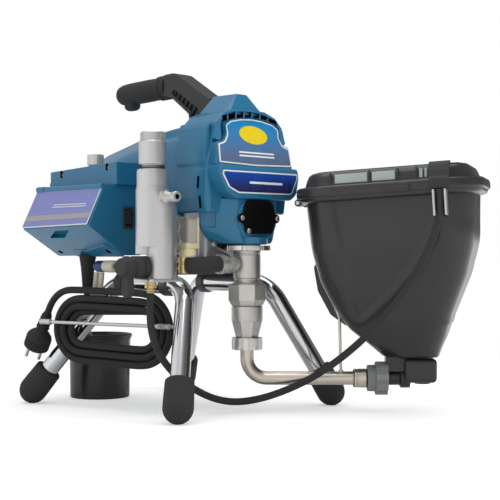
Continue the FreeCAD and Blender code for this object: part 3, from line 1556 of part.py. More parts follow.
def inlet_block():
    """A port block between the manifold and the gear casing, with a round collar and a brass stem below."""
    body = new_body("inlet_block")
    pad(body, "Port", "XY_Plane", size.inlet_low_z, size.inlet_high_z,
        rectangle(size.inlet_left_x, size.inlet_front_y, -size.casing_low_half - size.fit, size.inlet_rear_y))
    pad(body, "Collar", "XY_Plane", size.inlet_collar_z, size.inlet_low_z + 0.5,
        circle(size.stem_x + 5.5, size.stem_y - 3, size.inlet_collar_radius))
    place(body)
    body = piece("inlet_stem")
    turn(body, "StemTurn", [
        (0, size.stem_low_z), (size.stem_radius, size.stem_low_z),
        (size.stem_radius, size.inlet_collar_z - size.seat), (0, size.inlet_collar_z - size.seat),
    ])
    return place(body, size.stem_x, size.stem_y, 0)


def smooth_path(points, name):
    """Straight runs joined by tangent arcs; prints each bend's radius."""
    corners = [Vector(*[float(v) for v in p]) for p in points]
    edges = []
    radii = []
    start = corners[0]
    for before, corner, after in zip(corners, corners[1:], corners[2:]):
        back, ahead = before - corner, after - corner
        shorter = min(back.Length, ahead.Length)
        half_turn = (math.pi - back.getAngle(ahead)) / 2
        reach = 0.45 * shorter
        radii.append(reach / math.tan(half_turn))
        first = corner + back.normalize() * reach
        last = corner + ahead.normalize() * reach
        inward = (back + ahead).normalize()
        middle = corner + inward * (radii[-1] / math.cos(half_turn) - radii[-1])
        edges.append(Part.LineSegment(start, first).toShape())
        edges.append(Part.Arc(first, middle, last).toShape())
        start = last
    edges.append(Part.LineSegment(start, corners[-1]).toShape())
    print(name, "radii", [round(r, 1) for r in radii])
    return Part.Wire(edges)


def cord(name, points, diameter):
    """A plain round cord along a route; its volume is compared with section times length."""
    path = smooth_path(points, name)
    first = path.Edges[0]
    start, way = first.valueAt(first.FirstParameter), first.tangentAt(first.FirstParameter)
    ring = Part.Wire([Part.Circle(start, way, diameter / 2).toShape()])
    solid = path.makePipeShell([ring], True, False)
    section = math.pi * diameter ** 2 / 4
    print(name, "length %.0f" % path.Length, "volume ratio %.4f" % (solid.Volume / (section * path.Length)))
    return shaped(name, solid)


def biarc(start, way_in, end, way_out):
    """Two arcs that leave a point along one direction and reach another along a second."""
    span = end - start
    both = way_in + way_out
    turned = 2 * (1 - way_in.dot(way_out))
    if turned > 1e-9:
        reach = (math.sqrt(span.dot(both) ** 2 + turned * span.dot(span)) - span.dot(both)) / turned
    else:
        reach = span.dot(span) / (4 * span.dot(way_out))
    middle = (start + end + (way_in - way_out) * reach) * 0.5
    return [arc_from(start, way_in, middle), arc_from(end, way_out * -1, middle)]


def arc_from(start, way, end):
    """An arc that leaves start along a direction and ends at a point."""
    span = end - start
    across = span - way * span.dot(way)
    if across.Length < 1e-6:
        return Part.LineSegment(start, end).toShape()
    across = Vector(across).normalize()
    radius = span.dot(span) / (2 * span.dot(across))
    centre = start + across * radius
    middle = (start + end) * 0.5 - centre
    middle = centre + Vector(middle).normalize() * radius
    if (end - start).dot(way) < 0:
        middle = centre * 2 - middle
    return Part.Arc(start, middle, end).toShape()


def coil_frame():
    """The coil's middle, its long way to the rear, and the way out from the legs."""
    front = Vector(float(size.coil_front_x), float(size.coil_front_y), float(size.coil_z))
    rear = Vector(float(size.coil_rear_x), float(size.coil_rear_y), float(size.coil_z))
    middle = (front + rear) * 0.5
    rearward = Vector(rear - front).normalize()
    outward = Vector(-rearward.y, rearward.x, 0)
    return middle, rearward, outward, (rear - front).Length / 2


def coil_knot(progress):
    """Point and heading after a number of quarter turns: round ends joined by long sides."""
    middle, rearward, outward, half_length = coil_frame()
    up = Vector(0, 0, 1)
    reverse = float(size.coil_turns) * 4
    inward = min(progress, 2 * reverse - progress) / 4 * float(size.coil_pitch)
    layer = min(max((progress - reverse + 1) / 2, 0), 1) - 0.5
    radius = float(size.coil_half_height) - inward
    reach = half_length - inward - radius
    part = progress % 4
    if part <= 0.5 or part >= 3.5:
        angle = (part if part <= 0.5 else part - 4) * math.pi
        point = rearward * (reach + radius * math.cos(angle)) - up * (radius * math.sin(angle))
        way = rearward * -math.sin(angle) - up * math.cos(angle)
    else:
        angle = (part - 2) * math.pi
        point = rearward * (-reach - radius * math.cos(angle)) + up * (radius * math.sin(angle))
        way = rearward * math.sin(angle) + up * math.cos(angle)
    return middle + outward * (layer * float(size.coil_layer)) + point, way


def coil_knots():
    """Two turns in beside the legs, then out again in the outer layer and along the top."""
    quarters = [float(size.coil_start)]
    turn_count = int(float(size.coil_turns) * 2)
    for turn_number in range(turn_count + 1):
        for part in (0, 0.5, 1.5, 2, 2.5, 3.5):
            progress = turn_number * 4 + part
            if progress > quarters[-1]:
                quarters.append(progress)
    return [coil_knot(progress) for progress in quarters]


def least_gap(points, diameter):
    """The least free space between stretches of the coil that aren't neighbours along it."""
    skip = int(diameter * 4)
    least = 1e9
    for i, a in enumerate(points):
        for b in points[i + skip:]:
            least = min(least, (a - b).Length)
    return least - diameter


def coil():
    knots = coil_knots()
    edges = []
    straight = float(size.cord_dia)
    start, way = knots[0]
    edges.append(Part.LineSegment(start - way * straight, start).toShape())
    for (start, way_in), (end, way_out) in zip(knots, knots[1:]):
        edges.extend(biarc(start, way_in, end, way_out))
    end, way = knots[-1]
    edges.append(Part.LineSegment(end, end + way * straight).toShape())
    path = Part.Wire(edges)
    first = knots[0]
    ring = Part.Circle(first[0] - first[1] * straight, first[1], size.cord_dia / 2).toShape()
    solid = path.makePipeShell([Part.Wire([ring])], True, False)
    count = int(path.Length / 2)
    print("coil length %.0f" % path.Length,
          "volume ratio %.4f" % (solid.Volume / (math.pi * size.cord_dia ** 2 / 4 * path.Length)),
          "least gap %.2f" % least_gap(path.discretize(count), float(size.cord_dia)))
    group("power_cord_coil", solid)
    return knots[0][0] - knots[0][1] * straight, knots[0][1], end + way * straight, way


def cords():
    lead_end, lead_way, tail_start, tail_way = coil()
    print("coil start", lead_end, lead_way, "coil end", tail_start, tail_way)
    relief_tip = size.box_keel_z - size.seat * 3 - size.relief_length
    lead = cord("power_cord_lead", [
        (size.relief_x, size.relief_y, relief_tip), (-105.2, 230.2, 158), (-110.5, 236, 149.5),
        (-124, 251, 144), (-137.3, 261, 125), (-142.7, 254.4, 101), lead_end - lead_way * 0.1,
    ], size.cord_dia)
    tail = cord("power_cord_tail", [
        tail_start + tail_way * 0.1, (-146, 220.4, 171), (-148, 232.3, 168.4), (-149, 243.4, 163.3),
        (-149.4, 253.6, 155.9), (-149.6, 261.9, 146.5), (-149.8, 267.7, 136),
    ], size.cord_dia)
    bundle("power_cord", [lead, tail])
    plug()
    hose = cord("return_hose", [
        (-137, 46.5, 169.5), (-138, 46.5, 150), (-138.5, 45, 128), (-136.5, 41, 106), (-131, 33, 84),
        (-119, 24, 64), (-100, 17, 47), (-75, 14, 32), (-45, 13, 20.5), (-16, 6, 15), (10, -14, 19),
        (30, -43, 31), (43, -77, 48), (51, -111, 69), (57.5, -144, 93), (65, -174, 120),
        (75.5, -203, 154), (84.5, -226, 187), (91.5, -241, 217), (97.6, -251, 244),
        (102.2, -257, 267.5), (103.7, -258.6, 290),
    ], size.return_dia)
    node(hose, "return_hose")
    drain_tubes()


def plug():
    """A round ribbed plug on the cord's end, hanging at the rear of the wrap."""
    body = new_body("power_plug")
    neck, radius = size.plug_neck_radius, size.plug_radius
    turn(body, "PlugTurn", [
        (0, 0), (neck - 2, 0), (neck, 28), (radius - 6, 32), (radius, 38), (radius, 56), (radius - 3, 60),
        (0, 60),
    ])
    for i, x in enumerate((-9.5, 9.5)):
        pad(body, "PlugPin%d" % i, "XY_Plane", 59.5, 78, circle(x, 0, 2.4))
    place(body, -149.8, 267.75, 135.9, Rotation(Vector(0, 0, 1), Vector(-0.02, 0.56, -1)))


def drain_tubes():
    """Two soft tubes from the drain valve, down past the rear left leg and into the cup."""
    x, y, z = size.drain_x, size.drain_y, size.drain_z
    exit_z = z - 8.8
    outer = cord("drain_tube_outer", [
        (x, y + 3, exit_z), (-112.5, 188, 173), (-115.5, 197, 148), (-120, 214, 134), (-124, 238, 130),
        (-117, 258, 124), (-95, 276, 120), (-75, 294, 110), (-61, 307, 97), (-56, 312, 82),
        (-54, 314, 65),
    ], size.drain_tube_radius * 2)
    inner = cord("drain_tube_inner", [
        (x, y + 15, exit_z), (-112.5, 200, 177), (-114.5, 206, 158), (-117.5, 221, 145.5), (-112.5, 244, 137),
        (-106, 265, 134), (-88, 283, 129), (-67, 296, 119), (-51, 300, 105), (-45, 301, 87),
        (-43.5, 302, 68.5),
    ], size.drain_tube_radius * 2)
    bundle("drain_tubes", [outer, inner])


def drain_fittings():
    x, y, z = size.drain_x, size.drain_y, size.drain_z
    body = new_body("drain_valve")
    turn(body, "Barrel", [
        (0, 0), (8, 0), (8, 18), (5.5, 19), (5.5, 26), (8.5, 27), (8.5, 44), (0, 44),
    ])
    pad(body, "Boss", "YZ_Plane", -6, 6, rectangle(6, -12, size.box_keel_z - z - size.seat, -2))
    place(body, x, y + 22, z, Rotation(Vector(0, 0, 1), Vector(0, -1, 0)))
    body = new_body("drain_cup")
    wall = size.cup_wall
    low, top, height = size.cup_low_radius, size.cup_top_radius, size.cup_height
    turn(body, "Cup", [
        (0, 0), (low - 8, 0, 8), (low, 8), (top, height), (top - wall, height),
        (low - wall, 9), (low - 9, wall), (0, wall),
    ])
    place(body, size.cup_x, size.cup_y, 0)


def hoses():
    """The hose from the pump's swivel across to the manifold."""
    z, radius = size.swivel_z, size.hose_radius
    body = new_body("outlet_swivel")
    start = -28
    turn(body, "Swivel", [
        (0, -start), (size.swivel_radius, -start), (size.swivel_radius, -start + 8),
        (size.swivel_radius - 2.5, -start + 9), (size.swivel_radius - 2.5, -start + 16),
        (size.swivel_radius + 1, -start + 17), (size.swivel_radius + 1, -start + 28), (0, -start + 28),
    ])
    place(body, 0, 0, z, AXIS_LEFT)
    hose = cord("connecting_hose", [
        (-56.2, 0, z), (-67, 0, z - 0.2), (-76.5, 5.5, z - 1), (-83.5, 14.5, z - 1.7), (-88.2, 24.6, z - 2),
    ], radius * 2)
    node(hose, "connecting_hose")


def fittings():
    body = piece("return_fitting")
    flat = 9
    top = size.column_low_z - size.seat * 2 - size.base_thick
    pad(body, "ReturnHex", "XY_Plane", top - 8, top, [
        (-flat, -flat * 0.577), (0, -flat * 1.155), (flat, -flat * 0.577), (flat, flat * 0.577),
        (0, flat * 1.155), (-flat, flat * 0.577),
    ])
    turn(body, "ReturnBarb", [(0, top - 14.8), (5.5, top - 14.8), (5.5, top - 7.5), (0, top - 7.5)])
    return place(body, -137, size.column_y, 0)


def check_and_write():
    doc.recompute()
    for item in doc.Objects:
        if "Invalid" in item.State or "Error" in item.State:
            raise RuntimeError("%s failed: %s" % (item.Label, item.State))
    os.makedirs("parts", exist_ok=True)
    for name, item in nodes.items():
        shape = item.Shape
        if shape.isNull() or not shape.isValid() or not shape.Solids:
            raise RuntimeError("%s has no valid solid" % name)
        shape.exportStep("parts/%s.step" % name)
    print(len(nodes), "nodes written")


stand()
cord_wrap()
drive()
gears()
motor()
front_shroud()
motor_shroud()
hump_and_handle()
badges()
pump()
suction_line()
hopper_outlet()
hopper()
bundle("cover_screws", [rod_guard(), control_box()])
manifold()
prime_valve()
bundle("brass_fittings", [inlet_block(), fittings()])
hoses()
drain_fittings()
cords()
check_and_write()
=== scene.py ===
import json
import math

import bmesh
import bpy
from bpy.props import FloatProperty, FloatVectorProperty, PointerProperty
from mathutils import Matrix, Vector


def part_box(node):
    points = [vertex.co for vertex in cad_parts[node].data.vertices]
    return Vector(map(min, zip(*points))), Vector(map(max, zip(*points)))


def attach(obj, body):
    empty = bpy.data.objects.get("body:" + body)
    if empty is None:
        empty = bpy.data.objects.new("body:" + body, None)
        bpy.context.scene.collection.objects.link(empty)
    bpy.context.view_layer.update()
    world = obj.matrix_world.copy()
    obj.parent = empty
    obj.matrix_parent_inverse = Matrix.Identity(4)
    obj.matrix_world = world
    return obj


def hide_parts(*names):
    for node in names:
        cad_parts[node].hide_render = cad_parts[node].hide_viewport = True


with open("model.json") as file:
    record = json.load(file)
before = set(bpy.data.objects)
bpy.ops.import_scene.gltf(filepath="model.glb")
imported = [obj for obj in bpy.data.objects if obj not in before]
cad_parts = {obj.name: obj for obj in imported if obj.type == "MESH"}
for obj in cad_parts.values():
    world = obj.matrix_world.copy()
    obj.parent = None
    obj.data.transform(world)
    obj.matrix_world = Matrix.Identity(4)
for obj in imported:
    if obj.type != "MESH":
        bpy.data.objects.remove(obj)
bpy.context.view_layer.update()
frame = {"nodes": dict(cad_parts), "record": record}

bl_info = {
    "name": "Paint Sprayer",
    "version": (1, 0, 0),
    "blender": (4, 5, 0),
    "location": "3D View > Sidebar > Sprayer",
    "description": "Models the pieces and finishes of an airless paint sprayer round its packed frame",
    "category": "Object",
}

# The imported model's box, and the pump's axis that the other places are measured from
NUT_LOW, NUT_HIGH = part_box("jam_nut")
PUMP_X = (NUT_LOW[0] + NUT_HIGH[0]) / 2
PUMP_Y = (NUT_LOW[1] + NUT_HIGH[1]) / 2


def spot(x, y, z):
    """A point measured from the pump's axis and the floor."""
    return Vector((PUMP_X + x, PUMP_Y + y, z))


# Sizes and colours that a user would change
class SprayerSizes(bpy.types.PropertyGroup):
    stand_tube: FloatProperty(
        name="Stand tube", description="Outer diameter of the stand's tubes", default=0.027, unit="LENGTH")
    stand_bend: FloatProperty(
        name="Stand bend", description="Bend radius of the stand's tubes", default=0.045, unit="LENGTH")
    mains_cord: FloatProperty(
        name="Mains cord", description="Outer diameter of the mains cord", default=0.010, unit="LENGTH")
    return_hose: FloatProperty(
        name="Return hose", description="Outer diameter of the return hose", default=0.010, unit="LENGTH")
    drain_tube: FloatProperty(
        name="Drain tube", description="Outer diameter of the drain tubes", default=0.008, unit="LENGTH")
    shell_edge: FloatProperty(
        name="Shell edge", description="Edge radius of the moulded shells", default=0.0022, unit="LENGTH")
    metal_edge: FloatProperty(
        name="Metal edge", description="Edge radius of the turned metal pieces", default=0.0006,
        unit="LENGTH")


def colour_property(name, words, colour):
    return FloatVectorProperty(name=name, description=words, default=colour, subtype="COLOR", size=3,
                               min=0, max=1)


class SprayerColours(bpy.types.PropertyGroup):
    shell: colour_property("Shell", "Glossy blue of the shrouds", (0.0, 0.160, 0.40))
    black: colour_property("Black plastic", "Handle and levers", (0.034, 0.032, 0.030))
    rubber: colour_property("Rubber", "Grip, cords and the return hose", (0.018, 0.0172, 0.0160))
    hopper: colour_property("Hopper", "Glossy black of the paint hopper", (0.010, 0.0088, 0.0078))
    nickel: colour_property("Nickel", "Pump and suction pipe", (0.70, 0.66, 0.59))
    tube: colour_property("Stand plating", "Plated tubes of the stand", (0.60, 0.61, 0.62))
    alloy: colour_property("Alloy", "Filter manifold and its cap", (0.66, 0.655, 0.64))
    zinc: colour_property("Zinc", "Nuts, fittings and plates", (0.50, 0.50, 0.48))
    brass: colour_property("Brass", "Barbs and the inlet's stem", (0.66, 0.46, 0.16))
    beige: colour_property("Drain tubes", "Soft tubes to the cup", (0.40, 0.37, 0.25))
    label: colour_property("Label", "Printed film on the control box", (0.075, 0.100, 0.34))
    amber: colour_property("Amber", "Port block beside the manifold", (0.55, 0.25, 0.012))


def sizes():
    return bpy.context.scene.sprayer_sizes


def colours():
    return bpy.context.scene.sprayer_colours


# Shader groups: each puts out only values, colours and normals
def socket_group(name, inputs, outputs):
    """A node group with its named sockets, or None for the tree when it was built before."""
    if name in bpy.data.node_groups:
        return bpy.data.node_groups[name], None
    tree = bpy.data.node_groups.new(name, "ShaderNodeTree")
    for label, kind, value in inputs:
        socket = tree.interface.new_socket(label, in_out="INPUT", socket_type=kind)
        if value is not None:
            socket.default_value = value
    for label, kind in outputs:
        tree.interface.new_socket(label, in_out="OUTPUT", socket_type=kind)
    return tree, (add_node(tree, "NodeGroupInput"), add_node(tree, "NodeGroupOutput"))


def add_node(tree, kind, **values):
    """A node with its properties and unlinked inputs set by name."""
    made = tree.nodes.new(kind)
    for name, value in values.items():
        if hasattr(made, name) and name not in made.inputs:
            setattr(made, name, value)
        else:
            made.inputs[name.replace("_", " ")].default_value = value
    return made


def link(tree, source, output, target, entry):
    tree.links.new(source.outputs[output], target.inputs[entry])


def mottle_group():
    """A colour with a soft variation in brightness."""
    tree, ends = socket_group("Mottle", [
        ("Vector", "NodeSocketVector", None), ("Color", "NodeSocketColor", (0.5, 0.5, 0.5, 1)),
        ("Scale", "NodeSocketFloat", 20), ("Amount", "NodeSocketFloat", 0.1),
    ], [("Color", "NodeSocketColor")])
    if ends:
        start, end = ends
        noise = add_node(tree, "ShaderNodeTexNoise", Detail=5.0, Roughness=0.6)
        link(tree, start, "Vector", noise, "Vector")
        link(tree, start, "Scale", noise, "Scale")
        centred = add_node(tree, "ShaderNodeMath", operation="SUBTRACT")
        centred.inputs[1].default_value = 0.5
        tree.links.new(noise.outputs["Fac"], centred.inputs[0])
        scaled = add_node(tree, "ShaderNodeMath", operation="MULTIPLY_ADD")
        tree.links.new(centred.outputs[0], scaled.inputs[0])
        tree.links.new(start.outputs["Amount"], scaled.inputs[1])
        scaled.inputs[2].default_value = 1.0
        shade = add_node(tree, "ShaderNodeVectorMath", operation="SCALE")
        tree.links.new(start.outputs["Color"], shade.inputs[0])
        tree.links.new(scaled.outputs[0], shade.inputs["Scale"])
        tree.links.new(shade.outputs[0], end.inputs["Color"])
    return tree


def smudge_group():
    """A roughness that wanders between two values, as on handled surfaces."""
    tree, ends = socket_group("Smudge", [
        ("Vector", "NodeSocketVector", None), ("Scale", "NodeSocketFloat", 12),
        ("Low", "NodeSocketFloat", 0.2), ("High", "NodeSocketFloat", 0.35),
    ], [("Value", "NodeSocketFloat")])
    if ends:
        start, end = ends
        noise = add_node(tree, "ShaderNodeTexNoise", Detail=6.0, Roughness=0.65, Distortion=0.6)
        link(tree, start, "Vector", noise, "Vector")
        link(tree, start, "Scale", noise, "Scale")
        spread = add_node(tree, "ShaderNodeMapRange")
        spread.inputs["From Min"].default_value = 0.3
        spread.inputs["From Max"].default_value = 0.7
        tree.links.new(noise.outputs["Fac"], spread.inputs["Value"])
        link(tree, start, "Low", spread, "To Min")
        link(tree, start, "High", spread, "To Max")
        tree.links.new(spread.outputs["Result"], end.inputs["Value"])
    return tree


def grain_group():
    """The fine grain of a moulded or cast skin, as a normal."""
    tree, ends = socket_group("Grain", [
        ("Vector", "NodeSocketVector", None), ("Scale", "NodeSocketFloat", 600),
        ("Strength", "NodeSocketFloat", 0.1), ("Depth", "NodeSocketFloat", 0.0002),
    ], [("Normal", "NodeSocketVector")])
    if ends:
        start, end = ends
        noise = add_node(tree, "ShaderNodeTexNoise", Detail=3.0, Roughness=0.55)
        link(tree, start, "Vector", noise, "Vector")
        link(tree, start, "Scale", noise, "Scale")
        bump = add_node(tree, "ShaderNodeBump")
        tree.links.new(noise.outputs["Fac"], bump.inputs["Height"])
        link(tree, start, "Strength", bump, "Strength")
        link(tree, start, "Depth", bump, "Distance")
        tree.links.new(bump.outputs["Normal"], end.inputs["Normal"])
    return tree


def streak_group():
    """Fine lines round or along a machined piece: the vector arrives already stretched."""
    tree, ends = socket_group("Streaks", [
        ("Vector", "NodeSocketVector", None), ("Scale", "NodeSocketFloat", 1),
        ("Strength", "NodeSocketFloat", 0.2), ("Low", "NodeSocketFloat", 0.2),
        ("High", "NodeSocketFloat", 0.4),
    ], [("Value", "NodeSocketFloat"), ("Normal", "NodeSocketVector")])
    if ends:
        start, end = ends
        noise = add_node(tree, "ShaderNodeTexNoise", Detail=4.0, Roughness=0.7)
        link(tree, start, "Vector", noise, "Vector")
        link(tree, start, "Scale", noise, "Scale")
        spread = add_node(tree, "ShaderNodeMapRange")
        spread.inputs["From Min"].default_value = 0.35
        spread.inputs["From Max"].default_value = 0.65
        tree.links.new(noise.outputs["Fac"], spread.inputs["Value"])
        link(tree, start, "Low", spread, "To Min")
        link(tree, start, "High", spread, "To Max")
        tree.links.new(spread.outputs["Result"], end.inputs["Value"])
        bump = add_node(tree, "ShaderNodeBump", Distance=0.0002)
        tree.links.new(noise.outputs["Fac"], bump.inputs["Height"])
        link(tree, start, "Strength", bump, "Strength")
        tree.links.new(bump.outputs["Normal"], end.inputs["Normal"])
    return tree


def wear_group():
    """A mask of the outer edges, broken up by noise, for paint and print that is rubbed thin."""
    tree, ends = socket_group("EdgeWear", [
        ("Vector", "NodeSocketVector", None), ("Start", "NodeSocketFloat", 0.53),
        ("Amount", "NodeSocketFloat", 0.5),
    ], [("Mask", "NodeSocketFloat")])
    if ends:
        start, end = ends
        geometry = add_node(tree, "ShaderNodeNewGeometry")
        noise = add_node(tree, "ShaderNodeTexNoise", Scale=140.0, Detail=4.0)
        link(tree, start, "Vector", noise, "Vector")
        mixed = add_node(tree, "ShaderNodeMath", operation="MULTIPLY_ADD")
        tree.links.new(noise.outputs["Fac"], mixed.inputs[0])
        mixed.inputs[1].default_value = 0.06
        tree.links.new(geometry.outputs["Pointiness"], mixed.inputs[2])
        spread = add_node(tree, "ShaderNodeMapRange")
        tree.links.new(mixed.outputs[0], spread.inputs["Value"])
        link(tree, start, "Start", spread, "From Min")
        spread.inputs["From Max"].default_value = 0.68
        link(tree, start, "Amount", spread, "To Max")
        tree.links.new(spread.outputs["Result"], end.inputs["Mask"])
    return tree


# Materials
class Finish:
    """One material in the making: its shader, its object coordinates and the groups laid on it."""

    def __init__(self, name, colour, roughness, metallic=0.0, coat=0.0, ior=None, specular=0.3):
        self.material = bpy.data.materials.new(name)
        self.material.use_nodes = True
        self.tree = self.material.node_tree
        self.shader = self.tree.nodes["Principled BSDF"]
        self.place = add_node(self.tree, "ShaderNodeTexCoord")
        self.shader.inputs["Metallic"].default_value = metallic
        self.shader.inputs["Coat Weight"].default_value = coat
        self.shader.inputs["Coat Roughness"].default_value = 0.06
        self.shader.inputs["Specular IOR Level"].default_value = specular
        if ior:
            self.shader.inputs["IOR"].default_value = ior
        self.colour = (*colour, 1)
        self.shader.inputs["Base Color"].default_value = self.colour
        self.shader.inputs["Roughness"].default_value = roughness
        self.material.diffuse_color = self.colour

    def use(self, group, **values):
        made = add_node(self.tree, "ShaderNodeGroup", node_tree=group)
        for label, value in values.items():
            made.inputs[label].default_value = value
        self.tree.links.new(self.place.outputs["Object"], made.inputs["Vector"])
        return made

    def stretched(self, turn, scale):
        """Object coordinates turned and scaled, so that noise becomes streaks."""
        mapping = add_node(self.tree, "ShaderNodeMapping")
        mapping.inputs["Rotation"].default_value = turn
        mapping.inputs["Scale"].default_value = scale
        self.tree.links.new(self.place.outputs["Object"], mapping.inputs["Vector"])
        return mapping

    def mottled(self, scale=18, amount=0.15):
        self.tint = self.use(mottle_group(), Color=self.colour, Scale=scale, Amount=amount)
        self.tree.links.new(self.tint.outputs["Color"], self.shader.inputs["Base Color"])
        return self

    def smudged(self, low, high, scale=14):
        made = self.use(smudge_group(), Low=low, High=high, Scale=scale)
        self.tree.links.new(made.outputs["Value"], self.shader.inputs["Roughness"])
        return self

    def grained(self, scale=700, strength=0.12, depth=0.0002):
        made = self.use(grain_group(), Scale=scale, Strength=strength, Depth=depth)
        self.tree.links.new(made.outputs["Normal"], self.shader.inputs["Normal"])
        return self

    def streaked(self, turn, scale, low, high, strength=0.15):
        made = self.use(streak_group(), Low=low, High=high, Strength=strength)
        mapping = self.stretched(turn, scale)
        self.tree.links.new(mapping.outputs["Vector"], made.inputs["Vector"])
        self.tree.links.new(made.outputs["Value"], self.shader.inputs["Roughness"])
        self.tree.links.new(made.outputs["Normal"], self.shader.inputs["Normal"])
        return self

    def worn(self, colour, start=0.53, amount=0.5):
        """Lays a lighter or barer colour on the outer edges."""
        mask = self.use(wear_group(), Start=start, Amount=amount)
        return self.over(mask.outputs["Mask"], colour)

    def over(self, mask, colour):
        """Mixes a colour over what feeds Base Color so far, by a mask."""
        entry = self.shader.inputs["Base Color"]
        mix = add_node(self.tree, "ShaderNodeMix", data_type="RGBA")
        if entry.is_linked:
            self.tree.links.new(entry.links[0].from_socket, mix.inputs[6])
        else:
            mix.inputs[6].default_value = self.colour
        if isinstance(colour, bpy.types.NodeSocket):
            self.tree.links.new(colour, mix.inputs[7])
        else:
            mix.inputs[7].default_value = (*colour, 1)
        self.tree.links.new(mask, mix.inputs[0])
        self.tree.links.new(mix.outputs[2], entry)
        return self

    def along(self, turn, axis, low, high):
        """A mask that rises from 0 to 1 along one axis between two places."""
        split = add_node(self.tree, "ShaderNodeSeparateXYZ")
        mapping = self.stretched(turn, (1, 1, 1))
        self.tree.links.new(mapping.outputs["Vector"], split.inputs["Vector"])
        spread = add_node(self.tree, "ShaderNodeMapRange")
        spread.inputs["From Min"].default_value = low
        spread.inputs["From Max"].default_value = high
        self.tree.links.new(split.outputs[axis], spread.inputs["Value"])
        return spread.outputs["Result"]


def blue_shell():
    return (Finish("blue_shell", colours().shell, 0.26, coat=0.05, specular=0.14)
            .mottled(9, 0.10).smudged(0.17, 0.28, 10).grained(1100, 0.05, 0.0001)
            .worn((0.10, 0.32, 0.50), 0.56, 0.05))


def black_plastic():
    return (Finish("black_plastic", colours().black, 0.45, specular=0.12)
            .mottled(25, 0.25).smudged(0.36, 0.52, 22).grained(1500, 0.35, 0.0002)
            .worn((0.10, 0.095, 0.09), 0.56, 0.07))


# Black plastic of the rod guard, darker than the other black plastic: the extra darkness is painted shade.
def shade_darkened_guard_black():
    return (Finish("shade_darkened_guard_black", (0.004, 0.0035, 0.0035), 0.5, specular=0.12)
            .mottled(25, 0.25).smudged(0.42, 0.58, 22).grained(1500, 0.35, 0.0002))


def black_rubber():
    return (Finish("black_rubber", colours().rubber, 0.6, specular=0.15)
            .mottled(30, 0.3).smudged(0.48, 0.66, 30).grained(900, 0.45, 0.0003)
            .worn((0.08, 0.078, 0.075), 0.57, 0.06))


def foot_rubber():
    return (Finish("foot_rubber", (0.055, 0.055, 0.055), 0.5, specular=0.2)
            .mottled(40, 0.4).smudged(0.38, 0.55, 25).grained(700, 0.4, 0.0003)
            .worn((0.10, 0.10, 0.10), 0.55, 0.07))


def cord_rubber():
    return (Finish("cord_rubber", colours().rubber, 0.36, specular=0.22)
            .mottled(60, 0.3).smudged(0.30, 0.46, 40).grained(1200, 0.25, 0.0002))


def hose_rubber():
    return (Finish("hose_rubber", colours().rubber, 0.30, specular=0.22)
            .mottled(45, 0.3).smudged(0.24, 0.4, 35).grained(800, 0.2, 0.0002))


def black_gloss():
    return (Finish("black_gloss", colours().hopper, 0.18, coat=0.04, specular=0.10)
            .mottled(14, 0.3).smudged(0.11, 0.24, 9).grained(260, 0.05, 0.0004)
            .worn((0.05, 0.047, 0.045), 0.57, 0.06))


def stand_tube():
    return (Finish("stand_tube", colours().tube, 0.2, metallic=1.0)
            .mottled(60, 0.12).smudged(0.13, 0.26, 30).grained(500, 0.06, 0.0002))


def nickel_steel():
    return (Finish("nickel_steel", colours().nickel, 0.25, metallic=1.0)
            .mottled(80, 0.18).streaked((0, 0, 0), (25, 25, 1400), 0.14, 0.26, 0.10)
            .worn((0.86, 0.84, 0.80), 0.56, 0.24))


def pipe_nickel():
    return (Finish("pipe_nickel", (0.72, 0.66, 0.57), 0.32, metallic=1.0)
            .mottled(70, 0.15).smudged(0.28, 0.4, 45).grained(420, 0.12, 0.0002))


def manifold_metal():
    return (Finish("manifold_metal", colours().alloy, 0.3, metallic=1.0)
            .mottled(50, 0.10).streaked((0, 0, 0), (900, 900, 14), 0.26, 0.40, 0.10)
            .worn((0.9, 0.9, 0.88), 0.56, 0.20))


def plated_steel():
    return (Finish("plated_steel", colours().zinc, 0.34, metallic=1.0)
            .mottled(120, 0.25).smudged(0.26, 0.44, 60).grained(600, 0.15, 0.0002)
            .worn((0.8, 0.8, 0.78), 0.56, 0.20))


def gear_steel():
    return (Finish("gear_steel", (0.45, 0.45, 0.46), 0.32, metallic=1.0)
            .mottled(120, 0.2).streaked((0, 0, 0), (500, 20, 500), 0.24, 0.42, 0.15))


def stator_steel():
    return (Finish("stator_steel", (0.05, 0.05, 0.055), 0.4)
            .mottled(60, 0.3).smudged(0.3, 0.5).grained(500, 0.3))


def cast_metal():
    return (Finish("cast_metal", (0.30, 0.29, 0.28), 0.42, metallic=0.5)
            .mottled(60, 0.25).smudged(0.34, 0.52, 40).grained(420, 0.5, 0.0004)
            .worn((0.5, 0.5, 0.5), 0.56, 0.20))


def brass():
    return (Finish("brass", colours().brass, 0.25, metallic=1.0)
            .mottled(150, 0.25).smudged(0.18, 0.34, 90).grained(700, 0.12, 0.0002)
            .worn((0.92, 0.76, 0.42), 0.56, 0.24))


def beige_tube():
    finish = (Finish("beige_tube", colours().beige, 0.34, coat=0.1)
              .mottled(60, 0.2).smudged(0.26, 0.42, 50).grained(500, 0.12, 0.0002))
    finish.shader.inputs["Subsurface Weight"].default_value = 0.15
    finish.shader.inputs["Subsurface Radius"].default_value = (0.004, 0.0035, 0.002)
    finish.shader.inputs["Subsurface Scale"].default_value = 0.5
    return finish


def amber_plastic():
    finish = (Finish("amber_plastic", colours().amber, 0.25, coat=0.1, specular=0.15)
              .mottled(60, 0.25).smudged(0.16, 0.32, 50).grained(500, 0.08, 0.0002))
    finish.shader.inputs["Subsurface Weight"].default_value = 0.06
    finish.shader.inputs["Subsurface Radius"].default_value = (0.006, 0.003, 0.001)
    finish.shader.inputs["Subsurface Scale"].default_value = 0.5
    return finish


def board():
    return (Finish("board", (0.02, 0.16, 0.06), 0.4, coat=0.3)
            .mottled(300, 0.5).smudged(0.3, 0.5, 80).grained(900, 0.2))


